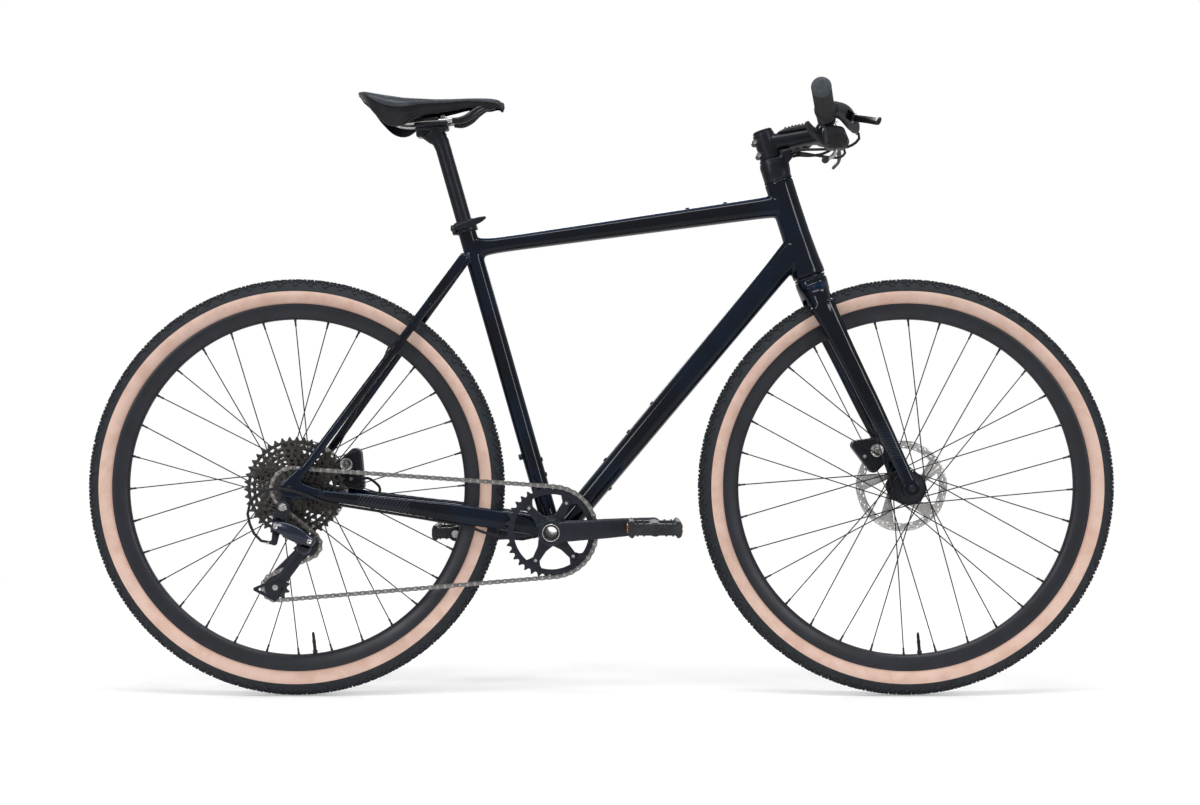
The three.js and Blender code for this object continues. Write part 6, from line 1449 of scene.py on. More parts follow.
class BIKE_OT_cockpit(BikeOperator, bpy.types.Operator):
    """Builds the bar, grips, brake levers and shifter"""

    bl_idname = "bike.cockpit"
    bl_label = "Bar, grips and levers"

    def build(self):
        self.bar()
        for side, name in SIDES:
            self.grip(side, name)
            self.brake_lever(side, name)
        self.shifter()

    @staticmethod
    def bar():
        shape = Shape()
        reaches = (0, 0.026, 0.034, 0.04, 0.055, 0.075, 0.12, 0.2, 0.298)
        radii = [0.0159, 0.0159, 0.0155, 0.0148, 0.0128, *[BAR_BORE - 0.0001] * 4]
        for side in (-1, 1):
            shape.tube([ON_BAR @ bar_point(side, y) for y in reaches], radii, 40)
        piece("bar_tube", shape, "anodised", "steering", ["handlebar"], sharp=50)

    @staticmethod
    def grip(side, name):
        start, end = bar_point(side, 0.165), bar_point(side, 0.2995)
        along = (end - start).normalized()
        length = (end - start).length
        place = ON_BAR @ Matrix.Translation(start) @ along.to_track_quat("Y", "Z").to_matrix().to_4x4()
        shape = Shape()
        ribs = 30
        outline = [(0.0144, 0.0055), (0.0152, 0.0075), (0.0154, 0.02), (0.0151, length * 0.5),
                   (0.0154, length - 0.008), (0.0152, length - 0.0062)]
        shape.turned([(0.0113, 0), (0.0172, 0), (0.0175, 0.0007), (0.0175, 0.0043), (0.0168, 0.0052),
                      *outline, (0.0113, length - 0.006)], 60, place)
        for turn in around(ribs):
            x, z = polar(0.0151, turn)
            shape.rod((x, 0.008, z), (x, length - 0.0065, z), 0.00085, 6, place)
        piece(f"grip_sleeve_{name}", shape, "grip_rubber", "steering", [f"grip_{name}"],
              sharp=45)
        plug = Shape().turned([(0.0113, length - 0.0058), (0.0153, length - 0.0058),
                               (0.016, length - 0.005), (0.016, length - 0.0012),
                               (0.0152, length - 0.0002), (0.008, length), (0, length + 0.0001)], 56,
                              place)
        piece(f"grip_plug_{name}", plug, "grip_end", "steering", sharp=50)

    @staticmethod
    def brake_lever(side, name):
        shape = Shape()
        ring = bar_point(side, 0.139)
        across = Matrix.Translation(ring)
        shape.drum(0.0154, -0.007, 0.007, 48, across, (0.0006, 0.0008))
        shape.tube([on_lever(side, row) for row in HOUSING], [row[3] * LEVER_REACH for row in HOUSING],
                   32, steps=5)
        fused = fine_skin(shape.moved(ON_BAR), 4)
        cut = Shape().drum(BAR_BORE, -0.02, 0.02, 40, ON_BAR @ across)
        blade = [on_lever(side, row) for row in LEVER_BLADE]
        slot = (blade[1] - blade[0]).normalized()
        axis = LEVER_AXIS
        room = ON_BAR @ placed(blade[0], slot, axis)
        cut.block((-0.009, -0.022, -0.0068), (0.022, 0.009, 0.0068), 0.0005, room)
        piece(f"lever_body_{name}", cut_away(fused, cut), "plastic", "steering",
              [f"brake_lever_housing_{name}"], sharp=40)
        lever = Shape()
        route = smooth_route(blade, 8)
        rows = []
        for i, at in enumerate(route):
            share = i / (len(route) - 1)
            rows.append((at, mix(0.0058, 0.0062, share), mix(0.0028, 0.0034, share)))
        lever.loft(rows, 28, 0.8, hint=axis, place=ON_BAR, smooth=1, dome=0.7)
        lever.drum(0.0065, -0.005, 0.005, 32, room @ UPRIGHT, (0.0003, 0.0005))
        piece(f"lever_blade_{name}", lever, "anodised", f"brake_lever_{name}",
              [f"brake_lever_{name}"], sharp=45)
        pin = Shape()
        for tall in (-1, 1):
            low, high = sorted((tall * 0.0056, tall * 0.0082))
            pin.rod(blade[0] + axis * low, blade[0] + axis * high, 0.0026, 20, ON_BAR)
        before, last = (on_lever(side, row) for row in HOUSING[3:])
        out = (last - before).normalized()
        pin.rod(last + out * 0.001, last + out * 0.0085, 0.0036, 6, ON_BAR)
        pin.bolt(ON_BAR @ (ring + Vector((-0.0148, 0, 0.004))), -ALONG_X, 0.0028, 0.002)
        piece(f"lever_fittings_{name}", pin, "steel", "steering", sharp=30)

    @staticmethod
    def shifter():
        ring = bar_point(-1, 0.112)
        shape = Shape()
        shape.drum(0.0154, -0.005, 0.005, 48, Matrix.Translation(ring), (0.0006, 0.0006))
        outline = wrapped([(x * LEVER_REACH, z * LEVER_REACH, r * LEVER_REACH) for x, z, r in POD], 40)
        shape.plate([outline], -0.122, -0.088, 0.004)
        fused = fine_skin(shape.moved(ON_BAR), 4)
        cut = Shape().drum(BAR_BORE, -0.02, 0.02, 40, ON_BAR @ Matrix.Translation(ring))
        piece("shifter_pod", cut_away(fused, cut), "plastic", "steering", ["shifter"],
              sharp=40)
        ribs = Shape()
        for i in range(9):
            x = mix(-0.0115, 0.0195, i / 8)
            half = 0.0118 * math.sqrt(max(0.12, 1 - ((x - 0.004) / 0.0185) ** 2))
            ribs.block((x - 0.0011, -0.1232, -0.0305 - half), (x + 0.0011, -0.1205, -0.0305 + half), 0.0006,
                       ON_BAR)
        piece("shifter_ribs", ribs, "grip_rubber", "steering", sharp=50)
        thumb = Shape()
        points = [Vector((x * LEVER_REACH, -0.105, z * LEVER_REACH)) for x, z in THUMB]
        thumb.tube(points, [0.0036, 0.0036, 0.0034, 0.0036], 24, ON_BAR, 5)
        thumb.turned([(0, -0.1115), (0.0042, -0.1115), (0.0056, -0.11), (0.006, -0.1075), (0.006, -0.1015),
                      (0.0052, -0.0995), (0, -0.0992)], 36,
                     ON_BAR @ Matrix.Translation((points[-1].x, 0, points[-1].z)), tag=1)
        piece("thumb_lever", thumb, ["steel", "plastic"], "shift_thumb_lever",
              ["shift_thumb_lever"])
        paddle = Shape()
        rows = [(Vector((x * LEVER_REACH, -0.095, z * LEVER_REACH)), 0.0038, r) for x, z, r in PADDLE]
        paddle.loft(rows, 24, 0.8, place=ON_BAR, smooth=4, dome=0.6)
        piece("release_paddle", paddle, "plastic", "shift_paddle", ["shift_paddle"])


class BIKE_OT_brakes(BikeOperator, bpy.types.Operator):
    """Builds the two brake calipers with their bolts and fittings"""

    bl_idname = "bike.brakes"
    bl_label = "Brake calipers"

    # Discs that the outline wraps, as shares of the brake disc's radius
    ROTOR_RADIUS = 0.08
    FRONT_SHARES = [(-0.675, 1.15, 0.1125), (-0.475, 0.575, 0.1125), (-0.25, 1.05, 0.1375),
                    (-0.15, 0.75, 0.125)]
    REAR_SHARES = [(0.775, 0.3375, 0.1375), (1.1625, 0.6875, 0.1375), (0.7375, 0.1, 0.0875),
                   (1.275, -0.0125, 0.0875)]

    def build(self):
        self.caliper("front", self.FRONT_SHARES, ON_FORK_END, 0.0395, "steering",
                     (-0.0235, 0.073), (-0.047, 0.07))
        self.caliper("rear", self.REAR_SHARES, ON_REAR, 0.0557, "frame", (0.0775, 0.037),
                     (0.0865, 0.012))

    def caliper(self, name, shares, place, plane, body, cover, fitting):
        outline = wrapped([[value * self.ROTOR_RADIUS for value in row] for row in shares], 40)
        shape = Shape().plate([outline], plane - 0.0135, plane + 0.0135, 0.003, place)
        slot = Shape().plate([circle(0, 0, 0.0812, 96)], plane - 0.0021, plane + 0.0021, 0.0002, place)
        piece(f"caliper_{name}", cut_away(fine_skin(shape, 3), slot), "anodised", body,
              [f"{name}_caliper"], sharp=38)
        parts = Shape()
        spot = place @ Matrix.Translation((cover[0], 0, cover[1]))
        for side in (-1, 1):
            face = plane + side * 0.0134
            rows = [(0, 0), (0.0112, 0), (0.0114, 0.0005), (0.0112, 0.0011), (0.0096, 0.0014),
                    (0.009, 0.001), (0.0036, 0.001), (0.0032, 0.0014), (0, 0.0014)]
            parts.turned([(r, face + side * y) for r, y in rows], 40, spot)
            at = place @ Vector((fitting[0], plane + side * 0.013, fitting[1]))
            parts.bolt(at, (0, side, 0), 0.0032, 0.0024)
        piece(f"caliper_parts_{name}", parts, "steel", body, sharp=35)


PITCH = 0.0127
LINKS = 118
GUIDE = Vector((-0.498, CHAIN_PLANE, 0.262))
TENSION = Vector((-0.551366, CHAIN_PLANE, 0.1909))
COGS = (11, 13, 15, 17, 19, 21, 24, 28, 32, 37, 42)
USED_COG = 3
RING_TEETH, PULLEY_TEETH = 38, 11
RING_BOLTS = [CRANK + Vector((math.cos(rad(a)), 0, math.sin(rad(a)))) * 0.055
              for a in (133.2, 62.4, -47.7, -118.9)]


def tooth_radius(teeth):
    """The radius to the chain's pins on a wheel with so many teeth."""
    return PITCH / (2 * math.sin(math.pi / teeth))


class ChainRoute:
    """The chain's closed route round the used cog, the chainring and the two pulleys."""

    def __init__(self):
        self.wheels = [(REAR, COGS[USED_COG], 1), (CRANK, RING_TEETH, 1), (TENSION, PULLEY_TEETH, 1),
                       (GUIDE, PULLEY_TEETH, -1)]
        count = len(self.wheels)
        headings, runs = [], []
        for i, (at, teeth, turn) in enumerate(self.wheels):
            after, next_teeth, next_turn = self.wheels[(i + 1) % count]
            away = after - at
            apart = math.hypot(away.x, away.z)
            lean = (next_turn * tooth_radius(next_teeth) - turn * tooth_radius(teeth)) / apart
            headings.append(math.atan2(away.z, away.x) + math.asin(lean))
            runs.append(apart * math.sqrt(1 - lean ** 2))
        self.legs = []
        for i, (at, teeth, turn) in enumerate(self.wheels):
            arrival = headings[i - 1] + turn * math.pi / 2
            sweep = (turn * (headings[i - 1] - headings[i])) % FULL
            self.legs.append((i, arrival, sweep, sweep / FULL * teeth * PITCH, headings[i], runs[i]))

    def along(self, distance):
        """The (x, z) place at a distance, and its wheel and angle where the chain bends."""
        total = sum(leg[3] + leg[5] for leg in self.legs)
        left = distance % total
        for i, arrival, sweep, bend, heading, run in self.legs:
            at, teeth, turn = self.wheels[i]
            radius = tooth_radius(teeth)
            if left < bend:
                angle = arrival - turn * left / PITCH * FULL / teeth
                return at.x + radius * math.cos(angle), at.z + radius * math.sin(angle), i, angle
            left -= bend
            if left < run:
                angle = arrival - turn * sweep
                return (at.x + radius * math.cos(angle) + left * math.cos(heading),
                        at.z + radius * math.sin(angle) + left * math.sin(heading), None, 0)
            left -= run
        raise ValueError("the chain's route is shorter than its distance")

    def pins(self):
        return [self.along((i + 0.5) * PITCH) for i in range(LINKS)]

    def phase(self, wheel):
        return next(pin[3] for pin in self.pins() if pin[2] == wheel)


def toothed(teeth, phase=0.0, root=0.0042, tip=0.0024):
    """A sprocket's outline round its centre: a hollow for each pin, a narrow tip between them."""
    radius = tooth_radius(teeth)
    shares = ((0, -root), (0.13, -root * 0.9), (0.24, -root * 0.52), (0.33, 0.0), (0.41, tip * 0.72),
              (0.47, tip))
    points = []
    for i in range(teeth):
        spots = shares + tuple((1 - share, rise) for share, rise in reversed(shares[1:]))
        for share, rise in spots:
            points.append(polar(radius + rise, phase + FULL * (i + share) / teeth))
    return points


class BIKE_OT_cassette(BikeOperator, bpy.types.Operator):
    """Builds the stepped cogs with their windows and the freewheel body"""

    bl_idname = "bike.cassette"
    bl_label = "Cassette"

    def build(self):
        phase = ChainRoute().phase(0)
        cogs, carrier = Shape(), Shape()
        for i, teeth in enumerate(COGS):
            plane = CHAIN_PLANE + (i - USED_COG) * 0.0039
            radius = tooth_radius(teeth)
            rim = radius - 0.0042 - min(0.005, 0.08 * radius)
            outline = toothed(teeth, phase if i == USED_COG else 0.31 * i)
            holes = [circle(0, 0, 0.0174, 48)]
            if rim > 0.032:
                holes += self.windows(0.0205, rim, i)
            elif rim > 0.024:
                holes += [circle(*polar(rim * 0.5 + 0.0102, turn), (rim - 0.0196) * 0.4, 16)
                          for turn in around(10)]
            cogs.plate([outline, *holes], plane - 0.0009, plane + 0.0009, 0.00022, ON_REAR)
            if i + 1 < len(COGS):
                ring = [circle(0, 0, 0.0198, 40), circle(0, 0, 0.0174, 40)]
                carrier.plate(ring, plane + 0.0009, plane + 0.003, 0.0001, ON_REAR)
        piece("cassette_cogs", cogs, "cog_steel", "freewheel", ["cassette"], sharp=30)
        rivets = Shape()
        for turn in around(6):
            x, z = polar(0.0225, turn)
            rivets.rod((x, -0.0465, z), (x, -0.0217, z), 0.0016, 12, ON_REAR)
        piece("cassette_spacers", carrier, "anodised", "freewheel", sharp=30)
        piece("cassette_rivets", rivets, "steel", "freewheel", sharp=30)
        body = Shape().turned([(0.0095, -0.0648), (0.0142, -0.0648), (0.0146, -0.0644),
                               (0.0162, -0.0636), (0.017, -0.0628), (0.017, -0.0206),
                               (0.0095, -0.0206)], 64, ON_REAR)
        piece("freewheel_body", body, "anodised", "freewheel", ["freehub"], sharp=30)
        lock = Shape().turned([(0.0118, -0.0652), (0.0165, -0.0652), (0.0192, -0.0644),
                               (0.0192, -0.0628), (0.0118, -0.0628)], 48, ON_REAR)
        for turn in around(12):
            x, z = polar(0.0128, turn)
            lock.rod((x, -0.0653, z), (x, -0.0635, z), 0.0011, 8, ON_REAR)
        piece("cassette_lock_ring", lock, "anodised", "freewheel", sharp=30)

    @staticmethod
    def windows(inner, outer, seed):
        """Six leaning windows between the hub of a cog and its rim."""
        holes = []
        for k in range(6):
            start = FULL * k / 6 + seed * 0.16
            wide = FULL / 6
            near = [(inner, start + wide * share) for share in (0.3, 0.5, 0.7)]
            far = [(outer, start + wide * (share + 0.12)) for share in (0.86, 0.68, 0.5, 0.32, 0.14)]
            corners = [*near, (mix(inner, outer, 0.5), start + wide * 0.86), *far,
                       (mix(inner, outer, 0.5), start + wide * 0.28)]
            holes.append([polar(*corner) for corner in corners])
        return holes


class BIKE_OT_chain(BikeOperator, bpy.types.Operator):
    """Builds the roller chain link by link along its route"""

    bl_idname = "bike.chain"
    bl_label = "Chain"

    def build(self):
        pins = [pin[:2] for pin in ChainRoute().pins()]
        shape = Shape()
        half = PITCH / 2
        side = []
        for end in (-1, 1):
            side += [(end * half + 0.0039 * math.cos(a), 0.0039 * math.sin(a))
                     for a in (rad(end * 90 - 90 + 210 * (k / 7 - 0.5)) for k in range(8))]
            side.append((0, 0.0029 * end))
        for i, (x, z) in enumerate(pins):
            far = pins[(i + 1) % LINKS]
            ahead = Vector((far[0] - x, 0, far[1] - z))
            place = placed(Vector(((x + far[0]) / 2, CHAIN_PLANE, (z + far[1]) / 2)), ahead.normalized(),
                           ahead.cross(ALONG_Y).normalized())
            low = 0.00195 if i % 2 else 0.00118
            for turn in (-1, 1):
                faces = sorted((turn * low, turn * (low + 0.00068)))
                shape.plate([side], *faces, 0.0001, place)
            at = Vector((x, CHAIN_PLANE, z))
            for half_wide, radius, sides in ((0.0029, 0.0018, 10), (0.00116, 0.00375, 14)):
                shape.rod(at - ALONG_Y * half_wide, at + ALONG_Y * half_wide, radius, sides, tag=1)
        piece("chain_links", shape, ["chain_steel", "steel"], "frame", ["chain"], sharp=30)


def arm_heading(side):
    """The way that a crank arm points: the left one is opposite the right one."""
    facing = ARM_TURN + (math.pi if side > 0 else 0)
    return Vector((math.cos(facing), 0, math.sin(facing)))


class BIKE_OT_cranks(BikeOperator, bpy.types.Operator):
    """Builds the chainring, the two crank arms with their spider and spindle, and the pedals"""

    bl_idname = "bike.cranks"
    bl_label = "Cranks and pedals"

    def build(self):
        self.ring()
        for side, name in SIDES:
            self.arm(side, name)
            self.pedal(side, name)

    @staticmethod
    def ring():
        phase = ChainRoute().phase(1)
        shape = Shape()
        place = ON_CRANK @ Matrix.Translation((0, CHAIN_PLANE, 0))
        inner = []
        for angle in around(96):
            reach = 0.0636
            for bolt in RING_BOLTS:
                away = abs((angle - math.atan2(bolt.z - CRANK.z, bolt.x - CRANK.x) + math.pi) % FULL
                           - math.pi)
                reach = min(reach, mix(0.0476, 0.064, min(1, (away / 0.2) ** 2.4)))
            inner.append(polar(reach, angle))
        shape.plate([toothed(RING_TEETH, phase), inner], -0.001, 0.001, 0.0003, place)
        piece("chainring_plate", shape, "crank_coat", "crankset", ["chainring"], sharp=30)
        bolts = Shape()
        for at in RING_BOLTS:
            spot = level(at, CHAIN_PLANE)
            bolts.turned([(0.0026, -0.0078), (0.0041, -0.0078), (0.0046, -0.0073), (0.0046, -0.0064),
                          (0.0026, -0.0064)], 28, spot)
            bolts.turned([(0, 0.001), (0.0055, 0.001), (0.0057, 0.0013), (0.0052, 0.0022),
                          (0.0028, 0.0024), (0.0028, 0.0016), (0, 0.0016)], 28, spot, tag=1)
            bolts.turned([(0, -0.0072), (0.0027, -0.0072), (0.0027, -0.0066), (0, -0.0066)], 20, spot,
                         tag=1)
        piece("chainring_bolts", bolts, ["crank_coat", "steel"], "crankset", sharp=30)

    @staticmethod
    def arm(side, name):
        ahead = arm_heading(side)
        middle = 0.0675
        shape = Shape()
        stations = [(0, middle, 0.0075, 0.018), (0.1, middle, 0.0075, 0.0178),
                    (0.3, 0.068, 0.0075, 0.0171), (0.54, 0.0689, 0.0073, 0.0166),
                    (0.8, 0.0696, 0.0067, 0.015), (1, 0.07, 0.006, 0.0134)]
        shape.loft([(CRANK + ahead * ARM_LENGTH * share + Vector((0, side * plane, 0)), wide, tall)
                    for share, plane, wide, tall in stations], 40, 0.72, smooth=5)
        tip = CRANK + ahead * ARM_LENGTH
        for at, radius, near, far, edge in ((CRANK, 0.0218, 0.0419, 0.0748, 0.0016),
                                            (tip, 0.0134, 0.0641, 0.0759, 0.0018)):
            low, high = sorted((side * near, side * far))
            shape.drum(radius, low, high, 56, level(at), (edge, edge))
        if side < 0:
            for at in RING_BOLTS:
                root = web(32, (CRANK, 0.0205), (CRANK.lerp(at, 0.55), 0.0088))
                shape.plate([root], -0.0566, -0.0514, 0.0012)
                end = web(32, (CRANK.lerp(at, 0.5), 0.0088), (at, 0.0065))
                shape.plate([end], -0.0562, -0.0514, 0.0012)
        fused = fine_skin(shape, 5, 1.2)
        away = level(tip)
        cut = Shape().drum(0.0074, -0.1, 0.1, 32, away)
        cut.drum(0.0103 if side < 0 else 0.0148, -0.1, 0.1, 48, ON_CRANK)
        piece(f"crank_arm_{name}", cut_away(fused, cut), "crank_coat", "crankset",
              [f"crank_{name}"], sharp=38)
        trim = Shape()
        if side < 0:
            trim.turned([(0.0136, -0.0758), (0.0142, -0.0762), (0.0148, -0.0758), (0.0148, -0.0735),
                         (0.0136, -0.0735)], 56, ON_CRANK)
            trim.turned([(0.0104, -0.0742), (0.0112, -0.0753), (0.0136, -0.0753), (0.0136, -0.073),
                         (0.0144, -0.073), (0.0144, 0.0748), (0.0104, 0.0748)], 56, ON_CRANK, tag=1)
        else:
            for tall in (-1, 1):
                out = Vector((-ahead.z, 0, ahead.x)) * tall
                trim.bolt(CRANK + ahead * 0.019 + out * 0.0178 + ALONG_Y * 0.0684, out, 0.003, 0.002)
        trim.turned([(0, side * 0.0596), (0.0066, side * 0.0596), (0.0066, side * 0.0608),
                     (0, side * 0.0608)], 24, away)
        piece(f"crank_trim_{name}", trim, ["steel", "cog_steel"], "crankset", sharp=30)

    @staticmethod
    def pedal(side, name):
        place = level(CRANK + arm_heading(side) * ARM_LENGTH)
        low, high = sorted((side * 0.0812, side * 0.1748))
        long, tall = 0.0438, 0.0138
        shape = Shape()
        corner = [(0.0125, 0.0096), (0.0325, 0.0094), (0.0362, tall), (0.0392, tall), (long, 0.0052)]
        quarter = [(x, -z) for x, z in corner]
        outline = [*quarter, *((x, -z) for x, z in reversed(quarter)),
                   *((-x, -z) for x, z in quarter), *((-x, z) for x, z in reversed(quarter))]
        for start, end in ((low, low + 0.0128), (high - 0.0128, high)):
            shape.plate([outline], start, end, 0.0014, place)
        for end in (-1, 1):
            near, far = sorted((end * (long - 0.0108), end * long))
            bar = [(near, 0.006 - tall), (near + 0.002, 0.001 - tall), (far - 0.002, 0.001 - tall),
                   (far, 0.006 - tall), (far, tall - 0.006), (far - 0.002, tall - 0.001),
                   (near + 0.002, tall - 0.001), (near, tall - 0.006)]
            shape.plate([bar], low + 0.005, high - 0.005, 0.0008, place)
        shape.drum(0.0112, low + 0.001, high - 0.001, 48, place)
        outside = high if side > 0 else low
        shape.turned([(0, outside - side * 0.004), (0.0098, outside - side * 0.004),
                      (0.0098, outside + side * 0.0002), (0.0088, outside + side * 0.0011),
                      (0, outside + side * 0.0012)], 40, place)
        rows = (low + 0.0064, high - 0.0064)
        for end, x, face, y in product((-1, 1), (0.018, 0.029), (-1, 1), rows):
            foot = Vector((end * x, y, face * 0.0088))
            shape.rod(foot, foot + Vector((0, 0, face * 0.0024)), 0.0017, 10, place)
        piece(f"pedal_body_{name}", shape, "plastic", f"pedal_{name}", [f"pedal_{name}"],
              sharp=32)
        axle = Shape().drum(0.0069, *sorted((side * 0.0642, side * 0.0825)), 36, place)
        piece(f"pedal_axle_{name}", axle, "steel", f"pedal_{name}", sharp=30)
        lamps = Shape()
        for end, face in product((-1, 1), repeat=2):
            near, far = sorted((end * (long - 0.0006), end * (long + 0.0016)))
            foot, top = sorted((face * 0.0012, face * (tall - 0.0072)))
            lamps.block((near, low + 0.018, foot), (far, high - 0.018, top), 0.0006, place)
        piece(f"pedal_reflectors_{name}", lamps, "reflector", f"pedal_{name}", sharp=30)


class BIKE_OT_derailleur(BikeOperator, bpy.types.Operator):
    """Builds the derailleur: mount, links, end knuckle, cage and pulleys"""

    bl_idname = "bike.derailleur"
    bl_label = "Derailleur"

    # The mount's bolt, the links' two pivots, and the cable stop
    hanger = Vector((-0.533, 0, 0.328))
    link_start = Vector((-0.543, 0, 0.297))
    link_end = Vector((-0.487, 0, 0.272))
    stop = Vector((-0.5476, 0, 0.269))
    axis = Vector((0.315, 0.611, 0.727)).normalized()
    # Room for the links: half its height, its planes, and its first turn, end and step in degrees
    ROOM_TALL = 0.0135
    ROOM_PLANES = (-0.0965, -0.0855)
    ROOM_TURNS = (-13, 28, 5)

    def build(self):
        self.mount()
        self.links()
        self.knuckle()
        self.cage()
        route = ChainRoute()
        for name, at, wheel in (("guide_pulley", GUIDE, 3), ("tension_pulley", TENSION, 2)):
            place = Matrix.Translation(at)
            shape = Shape()
            outline = toothed(PULLEY_TEETH, route.phase(wheel), tip=0.0018)
            shape.plate([outline, circle(0, 0, 0.0029, 20)], -0.0009, 0.0009, 0.0003, place)
            shape.turned([(0.0028, -0.0022), (0.0074, -0.0022), (0.0082, -0.0014), (0.0082, 0.0014),
                          (0.0074, 0.0022), (0.0028, 0.0022)], 36, place)
            piece(f"{name}_wheel", shape, "plastic", name, [name], sharp=32)

    def swept_room(self, at):
        """Room for the links to turn about an end of theirs."""
        room = Shape()
        pivot = at + Vector((0, -0.091, 0))
        outline = web(28, (self.link_start, self.ROOM_TALL), (self.link_end, self.ROOM_TALL))
        for turn in range(*self.ROOM_TURNS):
            spin = Matrix.Rotation(rad(turn), 4, self.axis)
            about = Matrix.Translation(pivot) @ spin @ Matrix.Translation(-pivot)
            room.plate([outline], *self.ROOM_PLANES, 0.0003, about)
        return room

    def mount(self):
        shape = Shape()
        low, high = -0.0862, -0.0786
        start, stop = self.link_start, self.stop + Vector((0, (low + high) / 2, 0))
        shape.plate([web(40, (self.hanger, 0.0115), (start, 0.009))], low, high, 0.0016)
        shape.plate([web(32, (start, 0.0072), (stop, 0.005))], low, high, 0.0014)
        shape.rod(stop - ALONG_X * 0.001, stop - ALONG_X * 0.0085, 0.0036, 20)
        piece("derailleur_mount_body", cut_away(fine_skin(shape, 4), self.swept_room(start)),
              "crank_coat", "frame", ["derailleur_mount"], sharp=40)
        screws = Shape().rod(stop - ALONG_X * 0.0086, stop - ALONG_X * 0.0135, 0.0029, 12)
        piece("derailleur_adjuster", screws, "steel", "frame", sharp=30)

    def links(self):
        shape = Shape()
        start, end = self.link_start, self.link_end
        middle = start.lerp(end, 0.5)
        shape.plate([web(44, (start, 0.0083), (end, 0.0083))], -0.0953, -0.0867, 0.0024)
        shape.loft([(start.lerp(end, share) + Vector((0, plane, rise)), thick, tall)
                    for share, plane, rise, thick, tall in (
                        (-0.04, -0.0918, 0, 0.004, 0.0076), (0.2, -0.0938, 0.002, 0.0056, 0.011),
                        (0.5, -0.0955, 0.003, 0.0066, 0.0124), (0.8, -0.0942, 0.001, 0.006, 0.011),
                        (1.06, -0.0918, 0, 0.004, 0.0076))], 36, 0.9)
        piece("derailleur_link_body", fine_skin(shape, 4), "gloss_blue", "derailleur_links",
              ["derailleur_links"], sharp=45)
        outline = wrapped([(mix(start.x, end.x, share), mix(start.z, end.z, share) - 0.009, 0.0034)
                           for share in (0.25, 0.75)], 36)
        panel = Shape().plate([outline], -0.0945, -0.0905, 0.0006)
        piece("derailleur_link_panel", panel, "plastic", "derailleur_links", sharp=45)
        pins = Shape()
        for at in (start, end):
            spot = Matrix.Translation(at + Vector((0, -0.001, 0)))
            pins.turned([(0, -0.0962), (0.0018, -0.0962), (0.0018, -0.0966), (0.0031, -0.097),
                         (0.0043, -0.0964), (0.0046, -0.0955), (0.0046, -0.095), (0, -0.095)], 28, spot)
        for reach in (0.006, 0.0125):
            foot = middle + Vector((reach, -0.0905, -0.0125))
            pins.rod(foot, foot + Vector((-0.0012, 0, -0.0048)), 0.0015, 12)
        piece("derailleur_link_pins", pins, "steel", "derailleur_links", sharp=35)

    def knuckle(self):
        shape = Shape()
        at, end = level(GUIDE), self.link_end
        shape.turned([(0, -0.086), (0.0116, -0.086), (0.0128, -0.0848), (0.013, -0.08), (0.013, -0.0635),
                      (0.0122, -0.0622), (0, -0.0622)], 48, at)
        shape.plate([web(32, (GUIDE, 0.0092), (end, 0.0088))], -0.086, -0.0787, 0.0016)
        piece("derailleur_knuckle_body", cut_away(fine_skin(shape, 4), self.swept_room(end)),
              "gloss_blue", "derailleur_knuckle", ["derailleur_knuckle"], sharp=42)
        cap = Shape().turned([(0, -0.0862), (0.0082, -0.0862), (0.009, -0.0855), (0.009, -0.0846),
                              (0, -0.0846)], 40, at)
        piece("derailleur_knuckle_cap", cut_away(cap, self.swept_room(end)), "anodised",
              "derailleur_knuckle", sharp=35)

    def cage(self):
        tail = Vector((TENSION.x - GUIDE.x, 0, TENSION.z - GUIDE.z)).normalized()
        back = Vector((tail.z, 0, -tail.x))
        tip = TENSION + back * 0.02
        shape = Shape()
        for side, discs in ((-1, [(GUIDE, 0.0095), (TENSION, 0.0085)]),
                            (1, [(GUIDE, 0.0095), (TENSION, 0.0095), (tip, 0.0028)])):
            low, high = sorted((CHAIN_PLANE + side * 0.0036, CHAIN_PLANE + side * 0.0049))
            shape.plate([web(40, *discs)], low, high, 0.0003)
        corners = [(-0.034, -0.003, 0.0035), (-0.001, -0.0195, 0.004), (0.003, 0.006, 0.0095)]
        plate = [(TENSION.x + x, TENSION.z + z, r) for x, z, r in corners]
        window = [(TENSION.x + x, TENSION.z + z, r) for x, z, r in (
            (-0.0265, -0.0035, 0.0018), (-0.0145, -0.0098, 0.0018), (-0.0148, 0.0016, 0.0018))]
        shape.plate([wrapped(plate, 40), wrapped(window, 24)], CHAIN_PLANE - 0.0053,
                    CHAIN_PLANE - 0.0038, 0.0004)
        shape.turned([(0, -0.0616), (0.0086, -0.0616), (0.009, -0.0612), (0.009, -0.0552), (0, -0.0552)],
                     40, level(GUIDE))
        piece("derailleur_cage_plates", shape, "crank_coat", "derailleur_cage",
              ["derailleur_cage"], sharp=32)
        bolts = Shape()
        for at in (GUIDE, TENSION):
            spot = Matrix.Translation(at)
            bolts.rod((0, -0.0052, 0), (0, 0.0052, 0), 0.0024, 20, spot)
            bolts.turned([(0, 0.0049), (0.0046, 0.0049), (0.005, 0.0054), (0.0046, 0.0066),
                          (0.0024, 0.007), (0, 0.0066)], 28, spot)
        spot = Matrix.Translation(TENSION)
        bolts.turned([(0, -0.0068), (0.0022, -0.0066), (0.0024, -0.0072), (0.0046, -0.007),
                      (0.0052, -0.0058), (0.0052, -0.0049), (0, -0.0049)], 28, spot)
        piece("derailleur_cage_bolts", bolts, "steel", "derailleur_cage", sharp=35)


